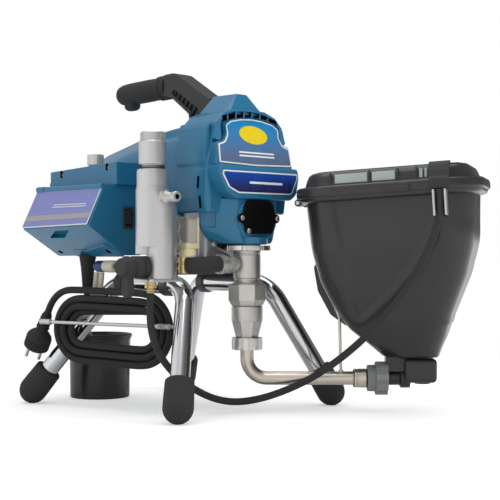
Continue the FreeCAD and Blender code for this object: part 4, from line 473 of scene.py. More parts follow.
def filter_mesh():
    """Woven steel wire, as two crossed waves."""
    finish = Finish("filter_mesh", (0.45, 0.45, 0.43), 0.35, metallic=1.0).mottled(200, 0.4)
    wires = add_node(finish.tree, "ShaderNodeTexWave", Scale=900.0, bands_direction="Z")
    crossed = add_node(finish.tree, "ShaderNodeTexWave", Scale=900.0, bands_direction="DIAGONAL")
    both = add_node(finish.tree, "ShaderNodeMath", operation="MAXIMUM")
    bump = add_node(finish.tree, "ShaderNodeBump", Strength=0.6, Distance=0.0003)
    for texture, entry in ((wires, 0), (crossed, 1)):
        link(finish.tree, finish.place, "Object", texture, "Vector")
        finish.tree.links.new(texture.outputs["Fac"], both.inputs[entry])
    finish.tree.links.new(both.outputs[0], bump.inputs["Height"])
    finish.tree.links.new(bump.outputs["Normal"], finish.shader.inputs["Normal"])
    return finish


# Near-black that paints the shade on the walls of cut vents, slots, bores, holes and bays; also the dark rings
# on the manifold's neck and at the ferrule's mouth.
def shade_and_joint_black():
    return (Finish("shade_and_joint_black", (0.006, 0.006, 0.007), 0.7)
            .mottled(60, 0.3).grained(500, 0.3))


def white_print():
    return (Finish("white_print", (0.80, 0.81, 0.80), 0.3, coat=0.4)
            .mottled(90, 0.06).smudged(0.24, 0.36, 60).grained(900, 0.04))


def yellow_print():
    return (Finish("yellow_print", (0.80, 0.60, 0.0), 0.28)
            .mottled(90, 0.08).smudged(0.22, 0.34, 60).grained(900, 0.04))


def window_plastic():
    return (Finish("window_plastic", (0.40, 0.47, 0.42), 0.18, coat=0.4)
            .mottled(40, 0.18).smudged(0.10, 0.28, 30).grained(300, 0.06))


def upper_badge_print():
    """Azure at the top that turns to a dusky navy at the foot."""
    _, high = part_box("front_badges")
    finish = Finish("upper_badge_print", (0.0, 0.23, 0.54), 0.3, specular=0.15).mottled(30, 0.06)
    down = finish.along((0, 0, 0), "Z", high[2] - 0.004, high[2] - 0.055)
    finish.over(down, (0.10, 0.14, 0.25))
    return finish.smudged(0.2, 0.32, 30).grained(900, 0.03)


def lower_badge_print():
    """Royal blue that turns to purple at the foot."""
    low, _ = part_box("front_badges")
    finish = Finish("lower_badge_print", (0.005, 0.055, 0.34), 0.3, specular=0.15).mottled(30, 0.06)
    down = finish.along((0, 0, 0), "Z", low[2] + 0.026, low[2] + 0.003)
    finish.over(down, (0.022, 0.022, 0.080))
    return finish.smudged(0.2, 0.32, 30).grained(900, 0.03)


def label_print():
    """Purple-blue film, a little lighter towards the top."""
    low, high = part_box("label_panel")
    finish = Finish("label_print", colours().label, 0.36, specular=0.05).mottled(30, 0.06)
    up = finish.along((0, 0, 0), "Z", low[2], high[2] + 0.03)
    finish.over(up, (0.085, 0.110, 0.36))
    return finish.smudged(0.24, 0.36, 30).grained(900, 0.03)


def stripe_print():
    return (Finish("stripe_print", (0.34, 0.33, 0.32), 0.34, coat=0.3)
            .mottled(90, 0.12).smudged(0.28, 0.4, 60).grained(900, 0.05))


def blue_metal():
    return (Finish("blue_metal", (0.012, 0.035, 0.15), 0.3, metallic=0.4, coat=0.3)
            .mottled(120, 0.2).smudged(0.22, 0.36, 60).grained(700, 0.1))


# Rougher, less shiny blue for the floor of the recess under the control box; its darker colour is painted
# shade in the recess.
def recess_shade_blue():
    return (Finish("recess_shade_blue", (0.0, 0.13, 0.21), 0.6, specular=0.1)
            .mottled(40, 0.12).smudged(0.5, 0.7, 40).grained(900, 0.2, 0.0002))


def grey_plastic():
    return (Finish("grey_plastic", (0.25, 0.26, 0.26), 0.42)
            .mottled(70, 0.15).smudged(0.36, 0.5, 40).grained(1200, 0.25, 0.0002))


def bright_zinc():
    return (Finish("bright_zinc", (0.72, 0.71, 0.67), 0.3, metallic=1.0)
            .mottled(160, 0.22).smudged(0.22, 0.4, 80).grained(520, 0.15, 0.0002)
            .worn((0.9, 0.9, 0.86), 0.56, 0.20))


def fibre_block():
    return (Finish("fibre_block", (0.30, 0.28, 0.25), 0.5)
            .mottled(200, 0.2).smudged(0.4, 0.58, 80).grained(900, 0.3, 0.0002))


def pale_block():
    return (Finish("pale_block", (0.44, 0.41, 0.34), 0.45)
            .mottled(160, 0.15).smudged(0.38, 0.52, 80).grained(900, 0.2, 0.0002))


FINISHES = {made.__name__: made for made in (
    blue_shell, black_plastic, shade_darkened_guard_black, black_rubber, foot_rubber, cord_rubber, hose_rubber, black_gloss,
    stand_tube, nickel_steel, pipe_nickel, manifold_metal, plated_steel, gear_steel, stator_steel,
    cast_metal, brass, beige_tube, amber_plastic, board, filter_mesh, shade_and_joint_black, white_print,
    yellow_print, window_plastic, upper_badge_print, lower_badge_print, label_print, stripe_print,
    blue_metal, recess_shade_blue, grey_plastic, bright_zinc, fibre_block, pale_block)}


def finish(name):
    """The material of that name, made the first time that a piece asks for it."""
    if name not in bpy.data.materials:
        FINISHES[name]()
    return bpy.data.materials[name]


# Mesh tools: shapes are drawn in millimetres from the pump's axis and the floor
MACHINE = Matrix.Translation(spot(0, 0, 0)) @ Matrix.Scale(0.001, 4)
FULL_TURN = math.tau


def lifted(axis, height, across, up):
    """A drawing's point in space: the drawing lies square to the axis, at that height."""
    return {"X": (height, across, up), "Y": (across, height, up), "Z": (across, up, height)}[axis]


def drawing(corners, height=0.0, axis="Z", rounding=0.0, segments=5):
    """One flat face; rounding is one radius for all its corners, or one for each."""
    bm = bmesh.new()
    verts = [bm.verts.new(lifted(axis, height, *corner)) for corner in corners]
    bm.faces.new(verts)
    radii = rounding if hasattr(rounding, "__len__") else [rounding] * len(verts)
    places = [vert.co.copy() for vert in verts]
    sides = [after - here for here, after in zip(places, places[1:] + places[:1])]
    setbacks = [radius * math.tan(before.angle(after) / 2)
                for radius, before, after in zip(radii, sides[-1:] + sides[:-1], sides)]
    for index, side in enumerate(sides):
        after = (index + 1) % len(sides)
        share = min(1.0, 0.96 * side.length / max(setbacks[index] + setbacks[after], 1e-6))
        setbacks[index], setbacks[after] = setbacks[index] * share, setbacks[after] * share
    for vert, setback in zip(verts, setbacks):
        if setback > 0.01:
            bmesh.ops.bevel(bm, geom=[vert], affect="VERTICES", offset=setback, segments=segments,
                            profile=0.5, material=-1)
    return bm


def push(bm, faces, offset):
    """Extrudes faces and returns the moved ones."""
    made = bmesh.ops.extrude_face_region(bm, geom=faces)["geom"]
    bmesh.ops.translate(bm, verts=[v for v in made if isinstance(v, bmesh.types.BMVert)], vec=offset)
    return [face for face in made if isinstance(face, bmesh.types.BMFace)]


def prism(corners, low, high, axis="Z", rounding=0.0, segments=5):
    bm = drawing(corners, low, axis, rounding, segments)
    push(bm, bm.faces[:], lifted(axis, high - low, 0, 0))
    return outward(bm)


def outward(bm):
    bmesh.ops.remove_doubles(bm, verts=bm.verts, dist=0.0005)
    bmesh.ops.recalc_face_normals(bm, faces=bm.faces)
    return bm


def turned(profile, steps=64, closed=False):
    """A profile of (radius, height) spun round the Z axis."""
    bm = bmesh.new()
    verts = [bm.verts.new((radius, 0, height)) for radius, height in profile]
    edges = [bm.edges.new(pair) for pair in zip(verts, verts[1:])]
    if closed:
        edges.append(bm.edges.new((verts[-1], verts[0])))
    bmesh.ops.spin(bm, geom=verts + edges, cent=(0, 0, 0), axis=(0, 0, 1), dvec=(0, 0, 0),
                   angle=FULL_TURN, steps=steps, use_merge=True)
    return outward(bm)


def box(low, high):
    bm = bmesh.new()
    bmesh.ops.create_cube(bm, size=1)
    size = [top - bottom for bottom, top in zip(low, high)]
    middle = [(top + bottom) / 2 for bottom, top in zip(low, high)]
    bmesh.ops.scale(bm, vec=size, verts=bm.verts)
    bmesh.ops.translate(bm, vec=middle, verts=bm.verts)
    return bm


def rounded_box(low, high, radius, segments=3):
    bm = box(low, high)
    bmesh.ops.bevel(bm, geom=bm.edges[:], affect="EDGES", offset=radius, segments=segments,
                    profile=0.5, material=-1)
    return bm


def loft(rings, segments=6, caps=True):
    """Rings of rounded corners, bridged in turn: each is (corners in space, corner radius)."""
    bm = bmesh.new()
    loops = []
    for corners, radius in rings:
        ring = bmesh.new()
        ring.faces.new([ring.verts.new(corner) for corner in corners])
        if radius:
            bmesh.ops.bevel(ring, geom=ring.verts[:], affect="VERTICES", offset=radius,
                            segments=segments, profile=0.5, material=-1)
        known = set(bm.edges)
        faces = add(bm, ring)
        loops.append((faces, [edge for edge in bm.edges if edge not in known]))
    for (_, below), (_, above) in zip(loops, loops[1:]):
        bmesh.ops.bridge_loops(bm, edges=below + above)
    inner = [face for faces, _ in (loops[1:-1] if caps else loops) for face in faces]
    bmesh.ops.delete(bm, geom=inner, context="FACES_ONLY")
    return outward(bm)


def level_ring(half_x, half_y, z, centre=(0, 0)):
    """The four corners of a level rectangle, for a loft."""
    x, y = centre
    return [(x - half_x, y - half_y, z), (x + half_x, y - half_y, z),
            (x + half_x, y + half_y, z), (x - half_x, y + half_y, z)]


def add(bm, other, place=None, material=None):
    """Copies another shape into bm, and returns the new faces."""
    if place is not None:
        bmesh.ops.transform(other, matrix=place, verts=other.verts)
    if material is not None:
        painted(other, material)
    known = len(bm.faces)
    mesh = bpy.data.meshes.new("passing")
    other.to_mesh(mesh)
    other.free()
    bm.from_mesh(mesh)
    bpy.data.meshes.remove(mesh)
    bm.faces.ensure_lookup_table()
    return bm.faces[known:]


def joined(*shapes):
    bm = bmesh.new()
    for shape in shapes:
        add(bm, shape)
    return bm


def painted(bm, material):
    for face in bm.faces:
        face.material_index = material
    return bm


def aimed(point, direction, spin=0.0):
    """The place of a shape whose Z axis points along direction, from point."""
    turn = Vector(direction).to_track_quat("Z", "Y").to_matrix().to_4x4()
    return Matrix.Translation(point) @ turn @ Matrix.Rotation(spin, 4, "Z")


def placed(bm, point, direction=(0, 0, 1), spin=0.0):
    bmesh.ops.transform(bm, matrix=aimed(point, direction, spin), verts=bm.verts)
    return bm


def softened(bm, width, segments=3, limit=28, only=None):
    """Rounds the sharp edges, or those among them that only(edge) picks."""
    edges = [edge for edge in bm.edges if len(edge.link_faces) == 2
             and edge.calc_face_angle(0) > math.radians(limit) and (only is None or only(edge))]
    bmesh.ops.bevel(bm, geom=edges, affect="EDGES", offset=width, segments=segments, profile=0.5,
                    material=-1, clamp_overlap=True)
    return bm


def pipe(corners, radius, bend, steps=32, bend_steps=10, caps=True):
    """A round tube along straight runs with arcs at the corners, by extrusion and spin."""
    points = [Vector(corner) for corner in corners]
    way = (points[1] - points[0]).normalized()
    bm = bmesh.new()
    bmesh.ops.create_circle(bm, cap_ends=caps, radius=radius, segments=steps,
                            matrix=aimed(points[0], way))
    edges, here = bm.edges[:], points[0]
    bends = bend if hasattr(bend, "__len__") else [bend] * (len(points) - 2)
    for index, corner in enumerate(points[1:]):
        last = index == len(points) - 2
        turn = 0 if last else way.angle(points[index + 2] - corner)
        setback = 0 if last else bends[index] * math.tan(turn / 2)
        run = (corner - here).length - setback
        if run > 0.01:
            edges = extruded(bm, edges, way * run)
        here = here + way * run
        if last:
            break
        new_way = (points[index + 2] - corner).normalized()
        hinge = way.cross(new_way).normalized()
        centre = here + hinge.cross(way) * bends[index]
        made = bmesh.ops.spin(bm, geom=edges, cent=centre, axis=hinge, dvec=(0, 0, 0), angle=turn,
                              steps=bend_steps)["geom_last"]
        edges = [item for item in made if isinstance(item, bmesh.types.BMEdge)]
        here = here + (way + new_way) * setback
        way = new_way
    if caps:
        bmesh.ops.edgeloop_fill(bm, edges=edges)
    return outward(bm)


def extruded(bm, edges, offset):
    made = bmesh.ops.extrude_edge_only(bm, edges=edges)["geom"]
    bmesh.ops.translate(bm, verts=[v for v in made if isinstance(v, bmesh.types.BMVert)], vec=offset)
    return [item for item in made if isinstance(item, bmesh.types.BMEdge)]


def followed(points, radii, steps=16, caps=True):
    """A tube of changing radius along a smooth line of points, by ring and bridge."""
    bm = bmesh.new()
    loops = []
    ways = [(Vector(after) - Vector(before)).normalized() for before, after in zip(
        [points[0]] + list(points[:-1]), list(points[1:]) + [points[-1]])]
    turn = ways[0].to_track_quat("Z", "Y")
    for point, way, radius in zip(points, ways, radii):
        turn = (turn @ Vector((0, 0, 1))).rotation_difference(way) @ turn
        ring = bmesh.ops.create_circle(bm, cap_ends=False, radius=radius, segments=steps,
                                       matrix=Matrix.Translation(point) @ turn.to_matrix().to_4x4())
        loops.append(list({edge for vert in ring["verts"] for edge in vert.link_edges}))
    for below, above in zip(loops, loops[1:]):
        bmesh.ops.bridge_loops(bm, edges=below + above)
    if caps:
        for loop in (loops[0], loops[-1]):
            bmesh.ops.edgeloop_fill(bm, edges=loop)
    return outward(bm)


def mesh_object(name, bm, materials):
    mesh = bpy.data.meshes.new(name)
    bm.to_mesh(mesh)
    bm.free()
    for material in materials:
        mesh.materials.append(finish(material))
    made = bpy.data.objects.new(name, mesh)
    bpy.context.scene.collection.objects.link(made)
    return made


def settled(made):
    """Turns an object's modifiers into its mesh."""
    ready = made.evaluated_get(bpy.context.evaluated_depsgraph_get())
    mesh = bpy.data.meshes.new_from_object(ready)
    made.modifiers.clear()
    old, made.data = made.data, mesh
    bpy.data.meshes.remove(old)


def carved(made, cutter, materials=("shade_and_joint_black",)):
    """Cuts a shape out of an object, and gives the cut faces their own material: by default the near-black
    that paints shade inside the cut.
    """
    tool = mesh_object("cutter", cutter, materials)
    cut = made.modifiers.new("cut", "BOOLEAN")
    cut.operation, cut.object, cut.solver = "DIFFERENCE", tool, "EXACT"
    cut.material_mode, cut.use_self = "TRANSFER", True
    settled(made)
    bpy.data.objects.remove(tool)


def piece(name, bm, materials, body="root", stands_for=(), cutters=(), sharp=38, machine=True):
    """A finished piece: put in metres, carved, smoothed, given its materials and body, with the CAD nodes that
    it stands for hidden.
    """
    materials = [materials] if isinstance(materials, str) else list(materials)
    made = mesh_object(name, bm, materials)
    for cutter in cutters:
        carved(made, *cutter) if isinstance(cutter, tuple) else carved(made, cutter)
    if machine:
        made.data.transform(MACHINE)
    made.data.shade_smooth()
    made.data.set_sharp_from_angle(angle=math.radians(sharp))
    made.data.name = name
    even = made.modifiers.new("even", "WEIGHTED_NORMAL")
    even.keep_sharp = True
    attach(made, body)
    if stands_for:
        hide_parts(*stands_for)
    return made


# Stage, light and camera
def glow(tree, strength, colour=(1, 1, 1, 1)):
    return add_node(tree, "ShaderNodeEmission", Color=colour, Strength=strength)


def floor_material():
    """Pale floor that keeps shadows and reads as white where nothing shades it."""
    material = bpy.data.materials.new("studio_floor")
    material.use_nodes = True
    tree = material.node_tree
    surface = tree.nodes["Principled BSDF"]
    surface.inputs["Base Color"].default_value = (0.82, 0.82, 0.82, 1)
    surface.inputs["Roughness"].default_value = 0.85
    surface.inputs["Specular IOR Level"].default_value = 0.1
    lift = glow(tree, 0.0)
    seen = add_node(tree, "ShaderNodeLightPath")
    level = add_node(tree, "ShaderNodeMath", operation="MULTIPLY")
    level.inputs[1].default_value = FLOOR_LIFT
    tree.links.new(seen.outputs["Is Camera Ray"], level.inputs[0])
    tree.links.new(level.outputs[0], lift.inputs["Strength"])
    both = add_node(tree, "ShaderNodeAddShader")
    tree.links.new(surface.outputs[0], both.inputs[0])
    tree.links.new(lift.outputs[0], both.inputs[1])
    place = add_node(tree, "ShaderNodeTexCoord")
    reach = add_node(tree, "ShaderNodeVectorMath", operation="LENGTH")
    tree.links.new(place.outputs["Object"], reach.inputs[0])
    fade = add_node(tree, "ShaderNodeMapRange", interpolation_type="SMOOTHSTEP")
    fade.inputs["From Min"].default_value = FLOOR_NEAR
    fade.inputs["From Max"].default_value = FLOOR_FAR
    tree.links.new(reach.outputs["Value"], fade.inputs["Value"])
    white = glow(tree, 1.0)
    ends = add_node(tree, "ShaderNodeMixShader")
    tree.links.new(fade.outputs["Result"], ends.inputs[0])
    tree.links.new(both.outputs[0], ends.inputs[1])
    tree.links.new(white.outputs[0], ends.inputs[2])
    tree.links.new(ends.outputs[0], tree.nodes["Material Output"].inputs["Surface"])
    return material


def studio_world():
    """A plain grey room for the light, and white to the camera; metal sees a room that darkens upwards."""
    world = bpy.context.scene.world or bpy.data.worlds.new("studio")
    bpy.context.scene.world = world
    world.use_nodes = True
    tree = world.node_tree
    tree.nodes.clear()
    end = add_node(tree, "ShaderNodeOutputWorld")
    seen = add_node(tree, "ShaderNodeLightPath")
    place = add_node(tree, "ShaderNodeTexCoord")
    ahead = add_node(tree, "ShaderNodeVectorMath", operation="DOT_PRODUCT")
    ahead.inputs[1].default_value = (0.912, -0.412, 0.15)
    tree.links.new(place.outputs["Generated"], ahead.inputs[0])
    spread = add_node(tree, "ShaderNodeMapRange")
    spread.inputs["From Min"].default_value = -1
    tree.links.new(ahead.outputs["Value"], spread.inputs["Value"])
    ramp = add_node(tree, "ShaderNodeValToRGB")
    tree.links.new(spread.outputs["Result"], ramp.inputs["Fac"])
    shades = ramp.color_ramp.elements
    shades[0].position, shades[0].color = 0.0, (1.0, 1.0, 1.0, 1)
    shades[1].position, shades[1].color = 1.0, (0.15, 0.15, 0.15, 1)
    for position, grey in ((0.08, 0.98), (0.30, 0.62), (0.42, 0.78), (0.52, 0.55), (0.68, 0.24),
                           (0.84, 0.12)):
        shades.new(position).color = (grey, grey, grey * 1.02, 1)
    diffuse = add_node(tree, "ShaderNodeBackground", Color=(0.96, 0.98, 1, 1), Strength=ROOM_LIGHT)
    mirror = add_node(tree, "ShaderNodeBackground", Strength=1.0)
    tree.links.new(ramp.outputs["Color"], mirror.inputs["Color"])
    white = add_node(tree, "ShaderNodeBackground", Color=(1, 1, 1, 1), Strength=1.0)
    by_gloss = add_node(tree, "ShaderNodeMixShader")
    by_sight = add_node(tree, "ShaderNodeMixShader")
    shiny = add_node(tree, "ShaderNodeMath", operation="MAXIMUM")
    tree.links.new(seen.outputs["Is Glossy Ray"], shiny.inputs[0])
    tree.links.new(seen.outputs["Is Transmission Ray"], shiny.inputs[1])
    tree.links.new(shiny.outputs[0], by_gloss.inputs[0])
    tree.links.new(diffuse.outputs[0], by_gloss.inputs[1])
    tree.links.new(mirror.outputs[0], by_gloss.inputs[2])
    tree.links.new(seen.outputs["Is Camera Ray"], by_sight.inputs[0])
    tree.links.new(by_gloss.outputs[0], by_sight.inputs[1])
    tree.links.new(white.outputs[0], by_sight.inputs[2])
    tree.links.new(by_sight.outputs[0], end.inputs["Surface"])


# How much the floor is lifted to white for the camera, and where it fades into the white room
FLOOR_LIFT = 0.42
FLOOR_NEAR = 0.45
FLOOR_FAR = 1.1
ROOM_LIGHT = 0.42

# The camera stands level in front of the left foot, as the photograph was taken
CAMERA_PLACE = spot(-1.2141, -1.2502, 0.220)
CAMERA_WAY = Vector((0.6984, 0.7157, 0.0))
CAMERA_LENS = 89.3
CAMERA_SHIFT = 0.012

# Soft lamps: where each stands, what it lights, its width, height and power
LAMPS = (
    ("lamp_above", (0.0, 0.1, 2.2), (0.0, 0.1, 0.2), 2.2, 2.2, 25),
    ("lamp_left", (-1.9, -0.3, 1.1), (0.0, 0.0, 0.25), 0.9, 1.5, 8),
    ("lamp_right", (1.2, -1.7, 0.9), (0.0, 0.0, 0.25), 1.1, 1.3, 22),
)


class SPRAYER_OT_stage(bpy.types.Operator):
    """Adds the floor, the lamps, the room's light and the camera"""
    bl_idname = "sprayer.stage"
    bl_label = "Stage"

    def execute(self, context):
        scene = context.scene
        scene.view_settings.view_transform = "Standard"
        bm = bmesh.new()
        bmesh.ops.create_grid(bm, x_segments=1, y_segments=1, size=30)
        floor = mesh_object("floor", bm, ())
        floor.data.materials.append(floor_material())
        studio_world()
        for name, place, target, width, height, power in LAMPS:
            data = bpy.data.lights.new(name, "AREA")
            data.shape, data.size, data.size_y, data.energy = "RECTANGLE", width, height, power
            lamp = bpy.data.objects.new(name, data)
            lamp.visible_glossy = name == "lamp_above"
            scene.collection.objects.link(lamp)
            way = spot(*target) - spot(*place)
            lamp.matrix_world = Matrix.Translation(spot(*place)) @ way.to_track_quat(
                "-Z", "Y").to_matrix().to_4x4()
        data = bpy.data.cameras.new("camera")
        data.sensor_fit, data.sensor_width, data.lens = "HORIZONTAL", 36.0, CAMERA_LENS
        data.shift_y = CAMERA_SHIFT
        data.clip_end = 100
        camera = bpy.data.objects.new("camera", data)
        scene.collection.objects.link(camera)
        camera.matrix_world = Matrix.Translation(CAMERA_PLACE) @ CAMERA_WAY.to_track_quat(
            "-Z", "Y").to_matrix().to_4x4()
        scene.camera = camera
        return {"FINISHED"}


# Cords and hoses: control points in metres from the pump's axis
LEAD = (
    (-0.105, 0.230, 0.1687), (-0.1052, 0.2302, 0.158), (-0.1105, 0.236, 0.1495),
    (-0.124, 0.251, 0.144), (-0.1373, 0.261, 0.125), (-0.1427, 0.2544, 0.101),
)
TAIL = (
    (-0.146, 0.2204, 0.171), (-0.148, 0.2323, 0.1684), (-0.149, 0.2434, 0.1633),
    (-0.1494, 0.2536, 0.1559), (-0.1496, 0.2619, 0.1465), (-0.1498, 0.2677, 0.136),
)
COIL_FRONT = Vector((-0.103, 0.046, 0.116))
COIL_REAR = Vector((-0.146, 0.244, 0.116))
COIL_HALF_HEIGHT = 0.045
COIL_PITCH = 0.0114
COIL_LAYER = 0.0108
COIL_REVERSE = 8
COIL_START = 0.3
COIL_END = 19.5

RETURN_HOSE = (
    (-0.137, 0.0465, 0.1695), (-0.138, 0.0465, 0.150), (-0.1385, 0.045, 0.128),
    (-0.1365, 0.041, 0.106), (-0.131, 0.033, 0.084), (-0.119, 0.024, 0.064), (-0.100, 0.017, 0.047),
    (-0.075, 0.014, 0.032), (-0.045, 0.013, 0.0205), (-0.016, 0.006, 0.015), (0.010, -0.014, 0.019),
    (0.030, -0.043, 0.031), (0.043, -0.077, 0.048), (0.051, -0.111, 0.069), (0.0575, -0.144, 0.093),
    (0.065, -0.174, 0.120), (0.0755, -0.203, 0.154), (0.0845, -0.226, 0.187), (0.0915, -0.241, 0.217),
    (0.0976, -0.251, 0.244), (0.1022, -0.257, 0.2675), (0.1037, -0.2586, 0.290),
)
DRAIN_TUBES = (
    ((-0.112, 0.187, 0.1962), (-0.1125, 0.188, 0.173), (-0.1155, 0.197, 0.148),
     (-0.120, 0.214, 0.134), (-0.124, 0.238, 0.130), (-0.117, 0.258, 0.124), (-0.095, 0.276, 0.120),
     (-0.075, 0.294, 0.110), (-0.061, 0.307, 0.097), (-0.056, 0.312, 0.082), (-0.054, 0.314, 0.065)),
    ((-0.112, 0.199, 0.1962), (-0.1125, 0.200, 0.177), (-0.1145, 0.206, 0.158),
     (-0.1175, 0.221, 0.1455), (-0.1125, 0.244, 0.137), (-0.106, 0.265, 0.134),
     (-0.088, 0.283, 0.129), (-0.067, 0.296, 0.119), (-0.051, 0.300, 0.105), (-0.045, 0.301, 0.087),
     (-0.0435, 0.302, 0.0685)),
)


def coil_point(quarters):
    """The mains cord's place on its wrap, after that many quarter turns round its long loops."""
    rearward = (COIL_REAR - COIL_FRONT).normalized()
    outward_way = Vector((-rearward.y, rearward.x, 0))
    half = (COIL_REAR - COIL_FRONT).length / 2
    inward = min(quarters, 2 * COIL_REVERSE - quarters) / 4 * COIL_PITCH
    layer = min(max((quarters - COIL_REVERSE + 1) / 2, 0), 1) - 0.5
    radius = COIL_HALF_HEIGHT - inward
    reach = half - inward - radius
    part = quarters % 4
    if part <= 0.5 or part >= 3.5:
        angle = (part if part <= 0.5 else part - 4) * math.pi
        point = rearward * (reach + radius * math.cos(angle)) - Vector((0, 0, radius * math.sin(angle)))
    elif part < 1.5:
        point = rearward * (2 * reach * (1 - part)) - Vector((0, 0, radius))
    elif part <= 2.5:
        angle = (part - 2) * math.pi
        point = -rearward * (reach + radius * math.cos(angle)) + Vector((0, 0, radius * math.sin(angle)))
    else:
        point = rearward * (2 * reach * (part - 3)) + Vector((0, 0, radius))
    return (COIL_FRONT + COIL_REAR) / 2 + outward_way * layer * COIL_LAYER + point


def coil_points():
    """Eight points round each end of the coil and four along each side."""
    quarters, steps = [COIL_START], (0, 0.125, 0.25, 0.375, 0.5, 0.75, 1.0, 1.25, 1.5, 1.625, 1.75,
                                     1.875, 2, 2.125, 2.25, 2.375, 2.5, 2.75, 3.0, 3.25, 3.5, 3.625,
                                     3.75, 3.875)
    for turn in range(5):
        quarters.extend(turn * 4 + step for step in steps
                        if quarters[0] < turn * 4 + step < COIL_END)
    return [coil_point(quarter) for quarter in quarters + [COIL_END]]


def cord_curve(name, points, diameter, material, stands_for):
    """A smooth curve of that diameter, with the points as its control points."""
    data = bpy.data.curves.new(name, "CURVE")
    data.dimensions = "3D"
    data.resolution_u = 10
    data.bevel_depth = diameter / 2
    data.bevel_resolution = 5
    data.use_fill_caps = True
    spline = data.splines.new("NURBS")
    spline.points.add(len(points) - 1)
    for entry, point in zip(spline.points, points):
        entry.co = (*spot(*point), 1)
    spline.order_u = 3
    spline.use_endpoint_u = True
    data.materials.append(finish(material))
    made = bpy.data.objects.new(name, data)
    bpy.context.scene.collection.objects.link(made)
    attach(made, "root")
    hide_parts(*stands_for)
    return made


def curve_length(made):
    """The real length of a curve's own line."""
    plain = made.data.copy()
    plain.bevel_depth = 0
    line = bpy.data.objects.new("line", plain)
    bpy.context.scene.collection.objects.link(line)
    ready = line.evaluated_get(bpy.context.evaluated_depsgraph_get())
    mesh = bpy.data.meshes.new_from_object(ready)
    total = sum((mesh.vertices[a].co - mesh.vertices[b].co).length
                for a, b in (edge.vertices for edge in mesh.edges))
    bpy.data.objects.remove(line)
    bpy.data.meshes.remove(mesh)
    return total


# The plug that hangs on the mains cord: where its neck starts and the way it points
PLUG_TOP = (-149.8, 267.75, 135.9)
PLUG_WAY = (-0.02, 0.56, -1.0)


class SPRAYER_OT_mains_plug(bpy.types.Operator):
    """Adds the moulded plug with its ribbed neck, grip rings and pins"""
    bl_idname = "sprayer.mains_plug"
    bl_label = "Mains Plug"

    def execute(self, context):
        neck = [(0, -1), (5.6, -1), (6.4, 1)]
        for index in range(5):
            low = 3 + index * 4.8
            size = 6.4 + index * 0.5
            neck += [(size, low), (size + 1.3, low + 0.8), (size + 1.4, low + 2.4), (size, low + 3.2)]
        body = neck + [(9.0, 29), (13.5, 33), (17.4, 37.5), (18.6, 40.5)]
        for index in range(3):
            low = 42 + index * 4.4
            body += [(19.0, low), (19.0, low + 2.2), (17.9, low + 2.7), (17.9, low + 3.8)]
        body += [(19.0, 55.4), (18.4, 58.6), (16.6, 60), (0, 60)]
        bm = turned(body, 48)
        add(bm, turned([(0, 59), (14.4, 59), (14.4, 61.2), (13.8, 61.8), (0, 61.8)], 40))
        for side in (-1, 1):
            pin = turned([(0, 60), (2.4, 60), (2.4, 76.6), (1.6, 78), (0, 78)], 20)
            add(bm, pin, Matrix.Translation((side * 9.5, 0, 0)), 1)
        earth = rounded_box((-3.4, 7.0, 60), (3.4, 9.2, 72), 0.7)
        add(bm, earth, None, 1)
        piece("mains_plug", placed(bm, PLUG_TOP, PLUG_WAY, 0.6),
              ("black_rubber", "plated_steel"), stands_for=("power_plug",))
        return {"FINISHED"}


class SPRAYER_OT_mains_cord(bpy.types.Operator):
    """Winds the mains cord on its wrap, with its tapered strain relief"""
    bl_idname = "sprayer.mains_cord"
    bl_label = "Mains Cord"

    def execute(self, context):
        made = cord_curve("mains_cord", list(LEAD) + coil_points() + list(TAIL), sizes().mains_cord,
                          "cord_rubber", ("power_cord", "power_cord_coil"))
        relief = [(0, 222), (12.4, 222), (12.6, 219.6), (12.0, 216), (11.0, 210), (10.0, 202), (9.2, 193),
                  (8.5, 183), (7.9, 173), (7.5, 170), (6.4, 168.9), (0, 168.9)]
        bm = turned(relief, 40)
        piece("cord_strain_relief", placed(bm, (-105, 230, 0)), "black_rubber",
              stands_for=("strain_relief",))
        curve_length(made)
        return {"FINISHED"}


class SPRAYER_OT_hoses(bpy.types.Operator):
    """Lays the return hose to the hopper's rim, and the two drain tubes into the cup"""
    bl_idname = "sprayer.hoses"
    bl_label = "Hoses"

    def execute(self, context):
        hose = cord_curve("return_line", RETURN_HOSE, sizes().return_hose, "hose_rubber",
                          ("return_hose",))
        curve_length(hose)
        for name, points in zip(("drain_tube_outer", "drain_tube_inner"), DRAIN_TUBES):
            tube = cord_curve(name, points, sizes().drain_tube, "beige_tube",
                              ("drain_tubes",))
            curve_length(tube)
        return {"FINISHED"}


# Covers
def hull(points):
    """The faceted body that wraps a few points."""
    bm = bmesh.new()
    verts = [bm.verts.new(point) for point in points]
    bmesh.ops.convex_hull(bm, input=verts, use_existing_faces=False)
    bmesh.ops.dissolve_limit(bm, angle_limit=math.radians(1), verts=bm.verts[:], edges=bm.edges[:])
    return outward(bm)


def both_sides(corners):
    """A half outline, drawn down the right side, with its mirror image."""
    return list(corners) + [(-x, z) for x, z in reversed(corners) if x]


def faces_ahead(bm, y):
    return [face for face in bm.faces if all(abs(vert.co.y - y) < 0.02 for vert in face.verts)]


SHROUD_OUTLINE = both_sides([
    (0, 425), (32, 423.5), (51, 416), (65, 403), (70, 380), (71, 372), (77, 346), (77, 300), (73, 280)])
SHROUD_ROUNDING = [0, 8, 10, 10, 4, 3, 8, 10, 4, 4, 10, 8, 3, 4, 10, 10, 8]
SHROUD_FRONT = -2
SHROUD_REAR = 61
VENT_COUNT = 7
VENT_PITCH = 15.6
VENT_HALF = 6.3
VENT_TALL = 8.8
VISOR_FRONT = -26.6
BADGE_FRONT = -13.4


def arch_z(x):
    """The height of the shroud's arch over x."""
    return 425 - 0.0034 * x * x


def narrowed(bm):
    """Draws in the right shoulder, which the photograph shows narrower than the left."""
    for vert in bm.verts:
        if vert.co.x > 50 and vert.co.z > 374:
            vert.co.x -= 0.19 * (vert.co.x - 50)


